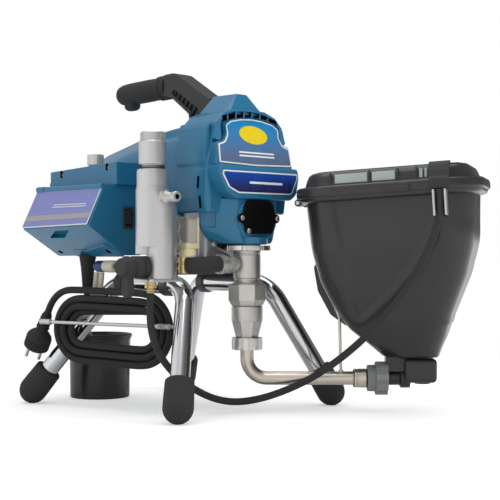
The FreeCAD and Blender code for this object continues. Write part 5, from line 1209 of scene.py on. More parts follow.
def front_vents():
    cutters = bmesh.new()
    for index in range(VENT_COUNT):
        x = (index - (VENT_COUNT - 1) / 2) * VENT_PITCH
        left, right = arch_z(x - VENT_HALF) - 2.6, arch_z(x + VENT_HALF) - 2.6
        add(cutters, prism([(x - VENT_HALF, left - VENT_TALL), (x + VENT_HALF, right - VENT_TALL),
                            (x + VENT_HALF, right), (x - VENT_HALF, left)], -20, 30, "Y"))
    return cutters


def side_slots():
    """The two slanted slots in each of the shroud's cheeks."""
    cutters = bmesh.new()
    for side in (-1, 1):
        for low, high, y in ((312, 330, 16), (285, 303, 13)):
            add(cutters, prism([(y - 2.4, low), (y + 2.4, low), (y + 0.9, high), (y - 3.9, high)],
                               side * 62, side * 90, "X", 2.3, 3))
    return cutters


class SPRAYER_OT_front_cover(bpy.types.Operator):
    """Models the glossy front shroud with its arch, vents, visor, cheeks and side slots"""
    bl_idname = "sprayer.front_cover"
    bl_label = "Front Cover"

    def execute(self, context):
        shell = prism(SHROUD_OUTLINE, SHROUD_FRONT, SHROUD_REAR, "Y", SHROUD_ROUNDING, 4)
        softened(shell, 4.0, 4, only=lambda e: all(abs(v.co.y - SHROUD_FRONT) < 0.01 for v in e.verts))
        arch = both_sides([(0, 425.6), (32, 424.2), (51.6, 416.6), (65.6, 403.4), (70.8, 380)])
        inner = [(66, 380), (61.5, 400.6), (49.4, 412.2), (30.8, 420), (0, 421.6),
                 (-30.8, 420), (-49.4, 412.2), (-57, 402), (-58, 382), (-63, 377)]
        inner[0:3] = [(56, 378), (56.5, 400.6), (47, 412.6)]
        count = len(arch) // 2
        band = arch[:count + 1] + inner + arch[count + 1:]
        hood = prism(band, -11.5, 4, "Y")
        softened(hood, 1.3, 3, 25)
        carrier = prism(both_sides([
            (0, 413.4), (20, 412.2), (41, 408.2), (53, 401.5), (52, 388), (58, 378.5), (70.6, 375),
            (72.4, 343), (0, 341)]), BADGE_FRONT, 2, "Y", [0, 8, 8, 4, 8, 8, 3, 3, 0, 3, 3, 8, 8, 4, 8, 8], 4)
        softened(carrier, 1.8, 3, only=lambda e: all(abs(v.co.y - BADGE_FRONT) < 0.01 for v in e.verts))
        visor = prism([(-76, 344), (76, 344), (79, 331), (74, 307), (62, 298.6), (-44, 298.6),
                       (-60, 306), (-77, 331)], VISOR_FRONT, 0, "Y", [3, 4, 8, 12, 10, 14, 14, 8], 5)
        softened(visor, 5.0, 5, only=lambda e: all(abs(v.co.y - VISOR_FRONT) < 0.01 for v in e.verts))
        cheeks = bmesh.new()
        for side in (-1, 1):
            add(cheeks, softened(hull([(side * x, y, z) for x, y, z in (
                (70, -4, 352), (70, 24, 352), (78.6, -2, 338), (78.6, 26, 338), (79, 2, 300),
                (79, 24, 300), (75, 3, 279.6), (75, 22, 279.6), (70, -4, 279.6), (70, 24, 279.6))]),
                2.2, 3, 20))
            add(cheeks, softened(hull([(side * x, y, z) for x, y, z in (
                (70, 0, 404), (75.6, 1.5, 396), (79, 3, 349), (79, 60.6, 349), (75.6, 60.6, 396),
                (70, 60.6, 404), (70, 0, 345), (70, 60.6, 345), (77, 3, 343), (77, 60.6, 343))]),
                1.6, 3, 20))
        narrowed(shell)
        narrowed(hood)
        tilted(hood, -0.5)
        tilted(carrier, BADGE_FRONT + 0.5)
        body = joined(shell, hood, carrier, cheeks)
        # The cut faces of the vents, side slots and foot notch take the near-black of painted shade.
        piece("front_cover", body, ("blue_shell", "shade_and_joint_black"),
              stands_for=("front_shroud",),
              cutters=(front_vents(), side_slots(),
                       prism(both_sides([(0, 297), (34, 296), (39, 279), (0, 270)]), -1, 40, "Y")))
        piece("front_visor", visor, "blue_shell", stands_for=("front_shroud",))
        return {"FINISHED"}


UPPER_BADGE = both_sides([
    (0, 411.4), (20, 410.2), (40, 406.4), (51, 400), (50, 387), (56.4, 376.6), (68.6, 373), (70, 347.4),
    (0, 345.4)])
UPPER_ROUNDING = [0, 10, 10, 4, 8, 8, 2, 2.4, 0, 2.4, 2, 8, 8, 4, 10, 10]
LOWER_BADGE = [(-71, 336.6), (72, 336.8), (74, 331), (61.5, 306.6), (-42, 306), (-60, 313), (-72, 331)]
LOWER_ROUNDING = [2, 3, 3, 7, 10, 10, 3]


def tilted(bm, before=1e9):
    """Leans what stands ahead of a plane back at its top, as the badge's face leans."""
    for vert in bm.verts:
        if vert.co.y < before:
            vert.co.y += (vert.co.z - 378) * 0.17


def badge(corners, rounding, front, border=1.9):
    """A plate with a white border round a printed field."""
    bm = prism(corners, front, front + 2.4, "Y", rounding, 5)
    face = faces_ahead(bm, front)
    bmesh.ops.inset_region(bm, faces=face, thickness=border, use_even_offset=True)
    for inner in face:
        inner.material_index = 1
    push(bm, face, (0, -0.25, 0))
    return bm


class SPRAYER_OT_badges(bpy.types.Operator):
    """Adds the blank printed badges of the front, with a plain yellow oval and pale bars"""
    bl_idname = "sprayer.badges"
    bl_label = "Badges"

    def execute(self, context):
        upper = badge(UPPER_BADGE, UPPER_ROUNDING, BADGE_FRONT - 1.2)
        oval = bmesh.new()
        bmesh.ops.create_circle(oval, cap_ends=True, radius=1, segments=48)
        bmesh.ops.transform(oval, verts=oval.verts, matrix=Matrix.Translation(
            (-0.5, BADGE_FRONT - 1.5, 388.6)) @ Matrix.Rotation(math.pi / 2, 4, "X")
            @ Matrix.Rotation(-0.06, 4, "Z") @ Matrix.Diagonal((27, 12.8, 1, 1)))
        push(oval, oval.faces[:], (0, -0.3, 0))
        add(upper, outward(oval), None, 2)
        for low, half in ((362.4, 34), (357.6, 34)):
            add(upper, rounded_box((2 - half, BADGE_FRONT - 1.75, low),
                                   (2 + half, BADGE_FRONT - 1.2, low + 2.2),
                                   0.2, 2), None, 0)
        tilted(upper)
        piece("upper_badge", upper,
              ("white_print", "upper_badge_print", "yellow_print"), stands_for=("front_badges",))
        lower = badge(LOWER_BADGE, LOWER_ROUNDING, VISOR_FRONT - 1.2)
        add(lower, rounded_box((-22, VISOR_FRONT - 1.75, 319.6), (42, VISOR_FRONT - 1.2, 322.8), 0.2, 2),
            None, 0)
        piece("lower_badge", lower, ("white_print", "lower_badge_print"),
              stands_for=("front_badges",))
        return {"FINISHED"}


KEEL_CORNERS = (
    (72, 23.8, 300), (54, -5, 300), (38, -19.4, 300), (69.8, 23.8, 262), (51, -5, 262), (36, -19.4, 262),
    (59, 23.8, 246), (44, -5, 244), (32, -19.4, 243), (42, 23.8, 237.4), (40, -2, 237), (29, -19.4, 237),
)
GUARD_OUTLINE = both_sides([(0, 299), (19, 298), (27.5, 290), (30, 279), (39.5, 277), (39.5, 267.5),
                            (29, 264.5), (26.6, 255), (22, 250.7), (0, 250.7)])
GUARD_ROUNDING = [0, 6, 4, 3, 4.6, 4.6, 3, 3, 3, 0, 3, 3, 3, 4.6, 4.6, 3, 4, 6]


def slotted_screw(radius, tall, slot=True):
    """A domed screw head with its slot, standing on the origin."""
    bm = turned([(0, -1), (radius, -1), (radius, tall * 0.45), (radius * 0.8, tall * 0.85), (0, tall)], 24)
    made = mesh_object("screw", bm, ("plated_steel",))
    # The slot's cut faces take the near-black of painted shade.
    if slot:
        carved(made, box((-radius * 2, -radius * 0.16, tall * 0.45), (radius * 2, radius * 0.16, tall * 2)))
    bm = bmesh.new()
    bm.from_mesh(made.data)
    mesh = made.data
    bpy.data.objects.remove(made)
    bpy.data.meshes.remove(mesh)
    return bm


class SPRAYER_OT_drive_front(bpy.types.Operator):
    """Models the blue keel that holds the pump, and the black rod guard with its screws"""
    bl_idname = "sprayer.drive_front"
    bl_label = "Drive Front"

    def execute(self, context):
        keel = hull([(side * x, y, z) for side in (-1, 1) for x, y, z in KEEL_CORNERS])
        softened(keel, 2.6, 4, 12)
        add(keel, prism(both_sides([(0, 350.6), (57.6, 350), (72, 338), (72, 300), (70, 292), (0, 292)]),
                        -4, 23.8, "Y"))
        lip = prism(both_sides([(0, 296), (32, 292), (36, 281), (36, 262), (31.6, 255), (28, 246), (0, 245)]),
                    -22.4, -16, "Y", [0, 5, 5, 5, 5, 4, 0, 4, 5, 5, 5, 5], 4)
        softened(lip, 1.6, 3, only=lambda e: all(abs(v.co.y + 22.4) < 0.01 for v in e.verts))
        pocket = placed(rounded_box((-8, -11, -3), (8, 11, 6), 2, 3), (-62, 9, 270), (-1, -0.9, -0.15))
        neck = placed(turned([(0, 236), (27.5, 236), (29.5, 239), (29.5, 246), (0, 246)], 64), (0, 0, 0))
        bore = turned([(0, 225), (20, 225), (20, 249.6), (0, 249.6)], 48)
        # The pump's bore takes the near-black of painted shade.
        piece("drive_keel", joined(keel, lip, neck), ("blue_shell", "shade_and_joint_black"),
              stands_for=("drive_housing",), cutters=((pocket, ("blue_shell",)), bore))
        guard = prism(GUARD_OUTLINE, -26, -22.5, "Y", GUARD_ROUNDING, 4)
        softened(guard, 1.1, 3, only=lambda e: all(abs(v.co.y + 26) < 0.01 for v in e.verts))
        ribs = bmesh.new()
        for index in range(3):
            add(ribs, rounded_box((-15, -26.8, 259 + index * 11), (15, -25.4, 262 + index * 11), 0.6, 2))
        add(guard, ribs)
        for x, z in ((-34, 272.3), (34, 272.3), (-21.5, 254.6)):
            add(guard, slotted_screw(3.5, 2.2), aimed((x, -26, z), (0, -1, 0), x), 1)
        # The guard's near-black is its own black plastic darkened further by painted shade.
        piece("rod_guard_cover", guard, ("shade_darkened_guard_black", "plated_steel"),
              stands_for=("rod_guard",))
        return {"FINISHED"}


# Sections of the motor's cover: y, half width, foot, top, the crown's corner across and up, rounding
SHROUD_STATIONS = (
    (61.4, 75, 262, 411, 36, 381, 14), (118, 75.4, 262, 406.4, 35, 377, 14),
    (175.4, 75, 262, 400.4, 33, 367, 15),
    (239.4, 74, 264, 388.4, 27, 350, 16), (275, 71.5, 268, 380.6, 26, 344, 16),
    (300, 68, 274, 373, 24, 339, 16),
    (318, 61, 281.4, 366, 21, 336, 15), (326, 53, 289, 361, 18, 334, 13),
)


class SPRAYER_OT_rear_cover(bpy.types.Operator):
    """Models the motor's cover, drawn in towards its rear grille, with side panels and vents"""
    bl_idname = "sprayer.rear_cover"
    bl_label = "Rear Cover"

    def execute(self, context):
        rings = []
        for y, half, low, top, across, up, corner in SHROUD_STATIONS:
            rings.append(([(-half, y, low), (half, y, low), (half, y, up), (across, y, top),
                           (-across, y, top), (-half, y, up)], corner))
        shell = loft(rings, 6)
        softened(shell, 2.4, 3, 40)
        for x, z in ((-40, 300), (40, 300), (-26, 350), (26, 350)):
            add(shell, slotted_screw(4, 2.6), aimed((x, 325.4, z), (0, 1, 0), x), 2)
        cutters = bmesh.new()
        for index in range(7):
            low = 300 + index * 9.4
            add(cutters, prism([(-36, low), (36, low), (36, low + 4.6), (-36, low + 4.6)], 318, 340, "Y",
                               2.2, 3))
        for side in (-1, 1):
            for index in range(6):
                y = 236 + index * 9
                add(cutters, prism([(y, 306), (y + 4.4, 306), (y + 2.2, 352), (y - 2.2, 352)],
                                   side * 58, side * 90, "X", 2.1, 3))
        # The cut faces of the grille and side vents take the near-black of painted shade.
        piece("motor_cover", shell, ("blue_shell", "shade_and_joint_black", "plated_steel"),
              stands_for=("motor_shroud",), cutters=(cutters,))
        return {"FINISHED"}


ARM_OUTLINE = [(61.4, 426), (60, 446), (69, 449.5), (132, 487.6), (143, 490.6), (163.4, 490), (163.4, 456.9),
               (150, 457), (108, 427.4), (106, 417), (98, 413.6), (77.4, 412.5), (61.4, 413.1)]
ARM_ROUNDING = [2, 4, 3, 6, 6, 3, 3, 12, 5, 4, 4, 3, 2]


# Half the width of the handle's arm
ARM_HALF = 15.4


class SPRAYER_OT_handle(bpy.types.Operator):
    """Models the faceted hump, the handle's arm with its ribbed recess, and the round grip"""
    bl_idname = "sprayer.handle"
    bl_label = "Handle"

    def execute(self, context):
        hump = hull([(side * x, y, z) for side in (-1, 1) for x, y, z in (
            (30, 2, 423.6), (39, 27, 421), (37, 61, 420.4), (10, 11, 448.2), (11.5, 57, 448.2),
            (30, 2, 418), (39, 27, 416), (37, 61, 414))])
        softened(hump, 1.2, 3, 12)
        piece("shroud_hump", hump, "blue_shell", stands_for=("top_hump",), sharp=20)
        arm = prism(ARM_OUTLINE, -ARM_HALF, ARM_HALF, "X", ARM_ROUNDING, 5)
        softened(arm, 3.6, 4, only=lambda e: all(abs(abs(v.co.x) - ARM_HALF) < 0.01 for v in e.verts)
                 and abs(e.verts[0].co.x - e.verts[1].co.x) < 0.01)
        recess = bmesh.new()
        for side in (-1, 1):
            add(recess, prism([(82, 418.5), (101, 419), (103, 431), (146, 461), (138, 466), (86, 433)],
                              side * 9.5, side * 20, "X", 3, 3))
        arm_object_cutters = ((recess, ("black_plastic",)),)
        ribs = bmesh.new()
        for side in (-1, 1):
            for index in range(7):
                along = index / 6
                y, z = 89 + 48 * along, 424 + 37 * along
                add(ribs, prism([(y - 3.6, z + 6), (y - 1.8, z + 7.4), (y + 8, z - 6), (y + 6.2, z - 7.4)],
                                side * 9, side * 13.8, "X"))
        made = piece("handle_arm_moulding", arm, ("black_plastic",),
                     stands_for=("handle_arm",), cutters=arm_object_cutters)
        piece("handle_arm_ribs", softened(ribs, 0.4, 2), "black_plastic")
        length = 120.5
        grip = [(0, 0), (17.6, 0), (18.4, 1.2), (18.4, 9.4), (17.2, 10.2), (17.2, 11.6), (18.4, 12.4),
                (18.4, 20.6), (17.6, 22), (16.2, 22.6), (16.0, 24), (16.7, 34), (17, 48), (17, 78),
                (16.9, 96),
                (16.3, 106), (14.6, 113.6), (11, 118.5), (6, 120.3), (0, length)]
        fall = math.atan2(3.5, 126.7)
        bm = turned(grip, 64)
        placed(bm, (0, 163.6, 473.5), (0, math.cos(fall), -math.sin(fall)))
        add(bm, rounded_box((-9.5, 242, 445), (9.5, 268.4, 466), 8, 6))
        piece("handle_grip_sleeve", bm, "black_rubber", stands_for=("handle_grip",),
              sharp=50)
        return {"FINISHED"}


# Hopper: drawn in its own axes, from the middle of its outlet
HOPPER = (Matrix.Translation((174.6, -170.4, 78.2))
          @ Matrix.Rotation(math.radians(-3.4), 4, (0.6984, 0.7157, 0))
          @ Matrix.Rotation(math.radians(-59.7), 4, "Z"))
TUB_ROWS = (
    (0, 53, 46, -1.5, 12), (5, 70, 56, -8, 20), (14, 91, 72, -14.5, 26), (27, 111.5, 88, -18.3, 28),
    (47, 139, 112, -24.5, 30), (75, 168, 131, -26.5, 32), (113, 201, 150, -26, 34),
    (125, 207, 154, -25.5, 34),
    (158, 223, 167, -24, 38), (195, 228.5, 173, -23.8, 42), (230, 233, 176, -23.5, 44),
)
PANEL_LEFT = ((40, -70), (55, -75.1), (74.5, -81.6), (114.5, -86.1), (158.4, -90.7), (232, -103.6))
PANEL_RIGHT = ((40, -95), (62.5, -63.1), (78.2, -43.6), (93.8, -24.6), (118.7, -0.6), (137.1, 16),
               (157.7, 30.5), (186.6, 43.1), (232, 54))


def blended_rows(rows, step):
    """Rows of sizes at even heights along a smooth curve through the given rows."""
    heights = [row[0] for row in rows]
    made = []
    count = int((heights[-1] - heights[0]) / step)
    for index in range(count + 1):
        z = heights[0] + (heights[-1] - heights[0]) * index / count
        k = max(i for i, height in enumerate(heights[:-1]) if height <= z + 1e-6)
        a, b = rows[k], rows[k + 1]
        before, after = rows[max(k - 1, 0)], rows[min(k + 2, len(rows) - 1)]
        t = (z - a[0]) / (b[0] - a[0])
        row = [z]
        for n in range(1, len(a)):
            span = b[0] - a[0]
            slope_a = (b[n] - before[n]) / (b[0] - before[0]) * span
            slope_b = (after[n] - a[n]) / (after[0] - a[0]) * span
            row.append((2 * t ** 3 - 3 * t ** 2 + 1) * a[n] + (t ** 3 - 2 * t ** 2 + t) * slope_a
                       + (3 * t ** 2 - 2 * t ** 3) * b[n] + (t ** 3 - t ** 2) * slope_b)
        made.append(row)
    return made


def tub_ring(z, length, width, shift, radius, grow=0.0):
    return level_ring(length / 2 + grow, width / 2 + grow, z, (shift, 0)), radius + grow


def reading(table, z):
    """The value at a height, along straight runs between the rows of a table."""
    for (low, start), (high, end) in zip(table, table[1:]):
        if z <= high:
            return start + (end - start) * max(z - low, 0) / (high - low)
    return table[-1][1]


def panel_depth(x, z):
    """How far the front's sunken panel lies inside the wall at one place."""
    inside = min(x - reading(PANEL_LEFT, z), (reading(PANEL_RIGHT, z) - x) * 0.75, (z - 50) * 1.2)
    inside = max(0.0, min(1.0, inside / 8))
    return 4.2 * inside * inside * (3 - 2 * inside)


class SPRAYER_OT_hopper(bpy.types.Operator):
    """Models the deep glossy hopper with its soft V panel, rolled rim, fin and outlet elbow"""
    bl_idname = "sprayer.hopper"
    bl_label = "Hopper"

    def execute(self, context):
        rows = blended_rows(TUB_ROWS, 3.5)
        tub = loft([tub_ring(*row) for row in rows], 6)
        bmesh.ops.delete(tub, geom=[face for face in tub.faces if face.normal.z > 0.9
                                    and face.calc_center_median().z > 200], context="FACES_ONLY")
        long_edges = [edge for edge in tub.edges if edge.calc_length() > 12
                      and abs(edge.verts[0].co.z - edge.verts[1].co.z) < 0.1]
        bmesh.ops.subdivide_edges(tub, edges=long_edges, cuts=36, use_grid_fill=True)
        for vert in tub.verts:
            if vert.co.y < -12 and vert.normal.y < -0.5:
                vert.co.y += panel_depth(vert.co.x, vert.co.z)
        top = [edge for edge in tub.edges if edge.is_boundary]
        walls = bmesh.ops.extrude_edge_only(tub, edges=top)["geom"]
        inner = [item for item in walls if isinstance(item, bmesh.types.BMVert)]
        for vert in inner:
            vert.co.x, vert.co.y = -22 + (vert.co.x + 22) * 0.974, vert.co.y * 0.966
        edges = [item for item in walls if isinstance(item, bmesh.types.BMEdge)]
        for z, across, deep in ((158, 0.925, 0.95), (47, 0.66, 0.67), (5, 0.42, 0.42)):
            made = bmesh.ops.extrude_edge_only(tub, edges=edges)["geom"]
            for vert in (item for item in made if isinstance(item, bmesh.types.BMVert)):
                vert.co.x, vert.co.y = -22 + (vert.co.x + 22) * across, vert.co.y * deep
                vert.co.z = z
            edges = [item for item in made if isinstance(item, bmesh.types.BMEdge)]
        bmesh.ops.edgeloop_fill(tub, edges=edges)
        outward(tub)
        profile = ((222.5, -0.4), (223.4, 5), (224.8, 8.4), (227, 9.6), (231, 9.8), (234.6, 9.2),
                   (235.4, 8), (235.5, -3), (223.5, -3.4))
        rim = loft([tub_ring(z, 234, 175, -23.5, 45, grow) for z, grow in profile], 10, caps=False)
        tie = [edge for edge in rim.edges if edge.is_boundary]
        bmesh.ops.bridge_loops(rim, edges=tie)
        outward(rim)
        fin = prism([(-96, 152), (-146, 143), (-154, 135), (-150, 99), (-133, 63), (-111, 46), (-70, 58)],
                    36, 40.5, "Y", [2, 6, 8, 14, 10, 3, 2])
        softened(fin, 0.8, 2)
        body = joined(tub, rim, fin)
        bmesh.ops.transform(body, matrix=HOPPER, verts=body.verts)
        piece("paint_hopper", body, "black_gloss", stands_for=("hopper_tub",), sharp=50)

        elbow = rounded_box((219, -20, 43), (265, 20, 77), 6.5, 4)
        add(elbow, rounded_box((194, -11, 58), (224, 11, 80), 1.6, 3))
        tube = turned([(6.5, -54), (9.8, -54), (10.2, -52), (10.2, -46), (9.7, -45), (9.7, -12), (13.5, -9.4),
                       (13.5, 3), (6.5, 3)], 48, closed=True)
        add(elbow, tube, aimed((225, 0, 48.5), (1, 0, 0)))
        for x in (246,):
            add(elbow, turned([(0, 41), (11, 41), (12.5, 43.4), (12.5, 46), (0, 46)], 32),
                Matrix.Translation((x, 0, 0)))
        turn = Matrix.Rotation(math.radians(-44.3), 4, "Z")
        bmesh.ops.transform(elbow, matrix=turn, verts=elbow.verts)
        piece("hopper_elbow", elbow, "black_gloss", stands_for=("hopper_outlet",))
        return {"FINISHED"}


WINDOWS = ((-90.5, -45.5), (-39.5, -8.0), (24.5, 29.0), (31.5, 35.0))


class SPRAYER_OT_hopper_lid(bpy.types.Operator):
    """Models the lid with its rolled flange, pale windows, latch, clamp strap and hinge pin"""
    bl_idname = "sprayer.hopper_lid"
    bl_label = "Hopper Lid"

    def execute(self, context):
        profile = ((236.1, 4), (236.1, 10.6), (229.6, 10.8), (229.2, 12), (230.2, 13.6), (233, 14.4),
                   (240, 14.2), (243, 13), (244.4, 10.6), (244.7, 4.0), (245.6, 1.6), (255, -1.6),
                   (260.5, -4.4), (263.6, -8.8), (265, -15))
        rings = [tub_ring(z, 232, 174, -23.2, 45, grow) for z, grow in profile]
        lid = loft(rings, 10)
        ribs = bmesh.new()
        for x in (-96, -42.5, -4, 21, 38):
            add(ribs, rounded_box((x - 1.2, -88.5, 246), (x + 1.2, -83, 262), 0.8, 2))
        add(lid, ribs)
        for y in (-40, 0, 40):
            add(lid, rounded_box((-118, y - 1.6, 264), (74, y + 1.6, 266.4), 1.0, 2))
        for left, right in WINDOWS:
            pane = rounded_box((left, -0.9, -6.6), (right, 1.6, 6.6), 0.8, 2)
            bmesh.ops.transform(pane, verts=pane.verts, matrix=Matrix.Translation((0, -86.0, 252.8))
                                @ Matrix.Rotation(math.radians(-15), 4, "X"))
            add(lid, pane, None, 1)
        latch = prism([(-24, 229.4), (13.5, 229.4), (13.5, 241.5), (-24, 241.5)], -104.4, -98, "Y", 5.6, 5)
        add(lid, softened(latch, 1.0, 2, 40))
        inner = prism([(-19.6, 232.4), (9, 232.4), (9, 238.6), (-19.6, 238.6)], -105.4, -103, "Y", 3, 4)
        add(lid, softened(inner, 0.6, 2, 40))
        for x in (-20.5, 10):
            add(lid, placed(turned([(0, 0), (2.1, 0), (2.1, 1.6), (0, 2)], 20), (x, -104.2, 235.4),
                            (0, -1, 0)))
        bmesh.ops.transform(lid, matrix=HOPPER, verts=lid.verts)
        piece("hopper_cover", lid, ("black_gloss", "window_plastic"), body="lid",
              stands_for=("hopper_lid",), sharp=45)

        strap = prism([(-70, 264.6), (-70, 267.8), (-86, 267), (-94, 263), (-99, 254), (-101, 246.4),
                       (-104.6, 243.6), (-105.2, 230), (-102.4, 230), (-101.6, 241), (-97.6, 244.6),
                       (-90, 260), (-84, 264)], 38.2, 65, "X", [0.5, 1, 8, 7, 5, 4, 3, 1, 0.5, 2, 3, 4, 3], 3)
        softened(strap, 0.9, 2, 50)
        bmesh.ops.transform(strap, matrix=HOPPER, verts=strap.verts)
        piece("lid_clamp", strap, "black_plastic", body="lid")

        jaws = rounded_box((43, -98.8, 192), (61, -97.6, 222), 0.5, 2)
        add(jaws, pipe([(51.4, -103.8, 186), (52, -103.8, 229)], 4.9, 1, 28, 2), None, 0)
        for x in (44.4, 59.8):
            add(jaws, rounded_box((x - 1.7, -113, 194), (x + 1.7, -98, 228.6), 1.2, 3), None, 1)
        bmesh.ops.transform(jaws, matrix=HOPPER, verts=jaws.verts)
        piece("hose_jaws", jaws, ("black_plastic", "plated_steel"),
              stands_for=("hose_clip",))

        hinge = placed(turned([(0, -58), (2.6, -58), (3, -57.4), (3, 57.4), (2.6, 58), (0, 58)], 24),
                       (-150.5, 0, 225.6), (0, 1, 0))
        bm = joined(hinge)
        for y in (-46, 0, 46):
            knuckle = placed(turned([(0, -9), (4.8, -9), (5.2, -8.4), (5.2, 8.4), (4.8, 9), (0, 9)], 28),
                             (-150.5, y, 225.6), (0, 1, 0))
            add(bm, knuckle, None, 1)
        bmesh.ops.transform(bm, matrix=HOPPER, verts=bm.verts)
        piece("hopper_hinge", bm, ("plated_steel", "black_gloss"))
        return {"FINISHED"}


# Pump, suction pipe and union
PIPE_WAY = Vector((0.71569, -0.69842, 0))
PIPE_Z = 48.5


def lobed(inner, outer, count, low, high, share=0.6, rounding=0.8, start=0.0):
    """A ring nut's outline: raised lobes round a drum, each a share of its pitch wide."""
    corners = []
    pitch = FULL_TURN / count
    for index in range(count):
        middle = start + index * pitch
        for radius, turn in ((inner, -0.5 * share - 0.03), (outer, -0.5 * share), (outer, 0),
                             (outer, 0.5 * share), (inner, 0.5 * share + 0.03)):
            angle = middle + turn * pitch
            corners.append((radius * math.cos(angle), radius * math.sin(angle)))
    bm = prism(corners, low, high, "Z", [0.5 * rounding, rounding, 0, rounding, 0.5 * rounding] * count, 3)
    softened(bm, 0.7, 2, 50)
    return bm


def six_sided(half, low, high, start=0.0, chamfer=0.0, foot=0.0):
    """A hexagon bar by its half width across flats, with turned chamfers on its ends."""
    radius = half / math.cos(math.pi / 6)
    corners = [(radius * math.cos(start + index * math.pi / 3),
                radius * math.sin(start + index * math.pi / 3))
               for index in range(6)]
    bm = prism(corners, low, high, "Z", 0.8, 2)
    for end, cut, way in ((high, chamfer, 1), (low, foot, -1)):
        if cut:
            cone = turned([(half * 0.96 - cut * 0.4, end + way * 1.0), (half * 0.96, end - way * 0.01),
                           (radius + 4,
                            end - way * (radius + 4 - half * 0.96) * cut / (radius - half * 0.96)),
                           (radius + 12, end + way * 1.0)], 60, closed=True)
            made = mesh_object("hexagon", bm, ())
            carved(made, cone, ())
            bm = bmesh.new()
            bm.from_mesh(made.data)
            mesh = made.data
            bpy.data.objects.remove(made)
            bpy.data.meshes.remove(mesh)
    return bm


def eight_sided(rows):
    """An octagonal bar that changes width: rows of corner radius and height, one flat to the front."""
    bm = bmesh.new()
    loops = []
    for radius, z in rows:
        ring = bmesh.ops.create_circle(bm, cap_ends=False, radius=radius, segments=8,
                                       matrix=Matrix.Translation(
            (0, 0, z)) @ Matrix.Rotation(math.radians(45.7 - 22.5), 4, "Z"))
        loops.append(list({edge for vert in ring["verts"] for edge in vert.link_edges}))
    for below, above in zip(loops, loops[1:]):
        bmesh.ops.bridge_loops(bm, edges=below + above)
    for loop in (loops[0], loops[-1]):
        bmesh.ops.edgeloop_fill(bm, edges=loop)
    return softened(outward(bm), 0.9, 3, 12)


def threads(radius, low, high, pitch=1.5, depth=0.7):
    """Rings of thread as a turned profile between two heights."""
    profile, z = [], low
    while z < high - 0.01:
        profile += [(radius - depth, z), (radius, z + pitch * 0.5)]
        z += pitch
    return profile + [(radius - depth, high)]


class SPRAYER_OT_pump(bpy.types.Operator):
    """Models the nickel pump: notched jam nut, cylinder, hexagon block, foot valve and inlet nut"""
    bl_idname = "sprayer.pump"
    bl_label = "Pump"

    def execute(self, context):
        ring = lobed(29.6, 33, 8, 227.7, 234.5, 0.74, 0.9, 0.3)
        piece("pump_jam_nut", ring, "bright_zinc", stands_for=("jam_nut",),
              cutters=((turned([(0, 226), (19.6, 226), (19.6, 236), (0, 236)], 48), ("bright_zinc",)),),
              sharp=30)
        body = turned([(16.6, 186.5), (17.4, 186.5), (17.4, 188), (19, 189.6), (19, 221), (18.2, 222),
                       (18.2, 223.2), (19, 224), (19, 227), (18.4, 229)] + threads(19.2, 229, 246)
                      + [(17.6, 249), (16.6, 249)], 80, closed=True)
        piece("pump_barrel", body, "nickel_steel", stands_for=("pump_cylinder",), sharp=30)
        block = eight_sided([(21.8, 149.7), (24.4, 152.4), (28, 158.5), (28, 179.4), (27.2, 180.6)])
        add(block, turned([(0, 180), (21.4, 180), (21.4, 181.2), (17.2, 183.4), (16.6, 186.4), (0, 186.4)],
                          64))
        add(block, placed(turned([(0, 0), (9, 0), (9, 28), (0, 28)], 40), (0, 4, 209), (-1, 0, 0)))
        piece("pump_block_body", block, "nickel_steel", stands_for=("pump_block",),
              cutters=((turned([(0, 140), (12.4, 140), (12.4, 250), (0, 250)], 32), ("nickel_steel",)),),
              sharp=30)
        valve = turned([(6, 128), (21.2, 128), (21.9, 129), (21.9, 147.6), (21.3, 149.4), (6, 149.4)], 80,
                       closed=True)
        add(valve, eight_sided([(16.2, 106.2), (17.0, 107.4), (22.4, 127.2), (22.4, 128.4)]))
        piece("foot_valve_housing", valve, "nickel_steel", stands_for=("foot_valve",),
              cutters=((turned([(0, 100), (6, 100), (6, 155), (0, 155)], 24), ("nickel_steel",)),), sharp=30)
        nut = lobed(19.8, 21.7, 10, 89.3, 105.7, 0.66, 1.1, 0.1)
        add(nut, turned([(0, 88.6), (18.8, 88.6), (18.8, 106), (0, 106)], 64))
        piece("suction_inlet_nut", nut, "bright_zinc", body="suction_nut",
              stands_for=("inlet_nut",), sharp=30,
              cutters=((turned([(0, 80), (10.2, 80), (10.2, 110), (0, 110)], 40), ("bright_zinc",)),))
        return {"FINISHED"}


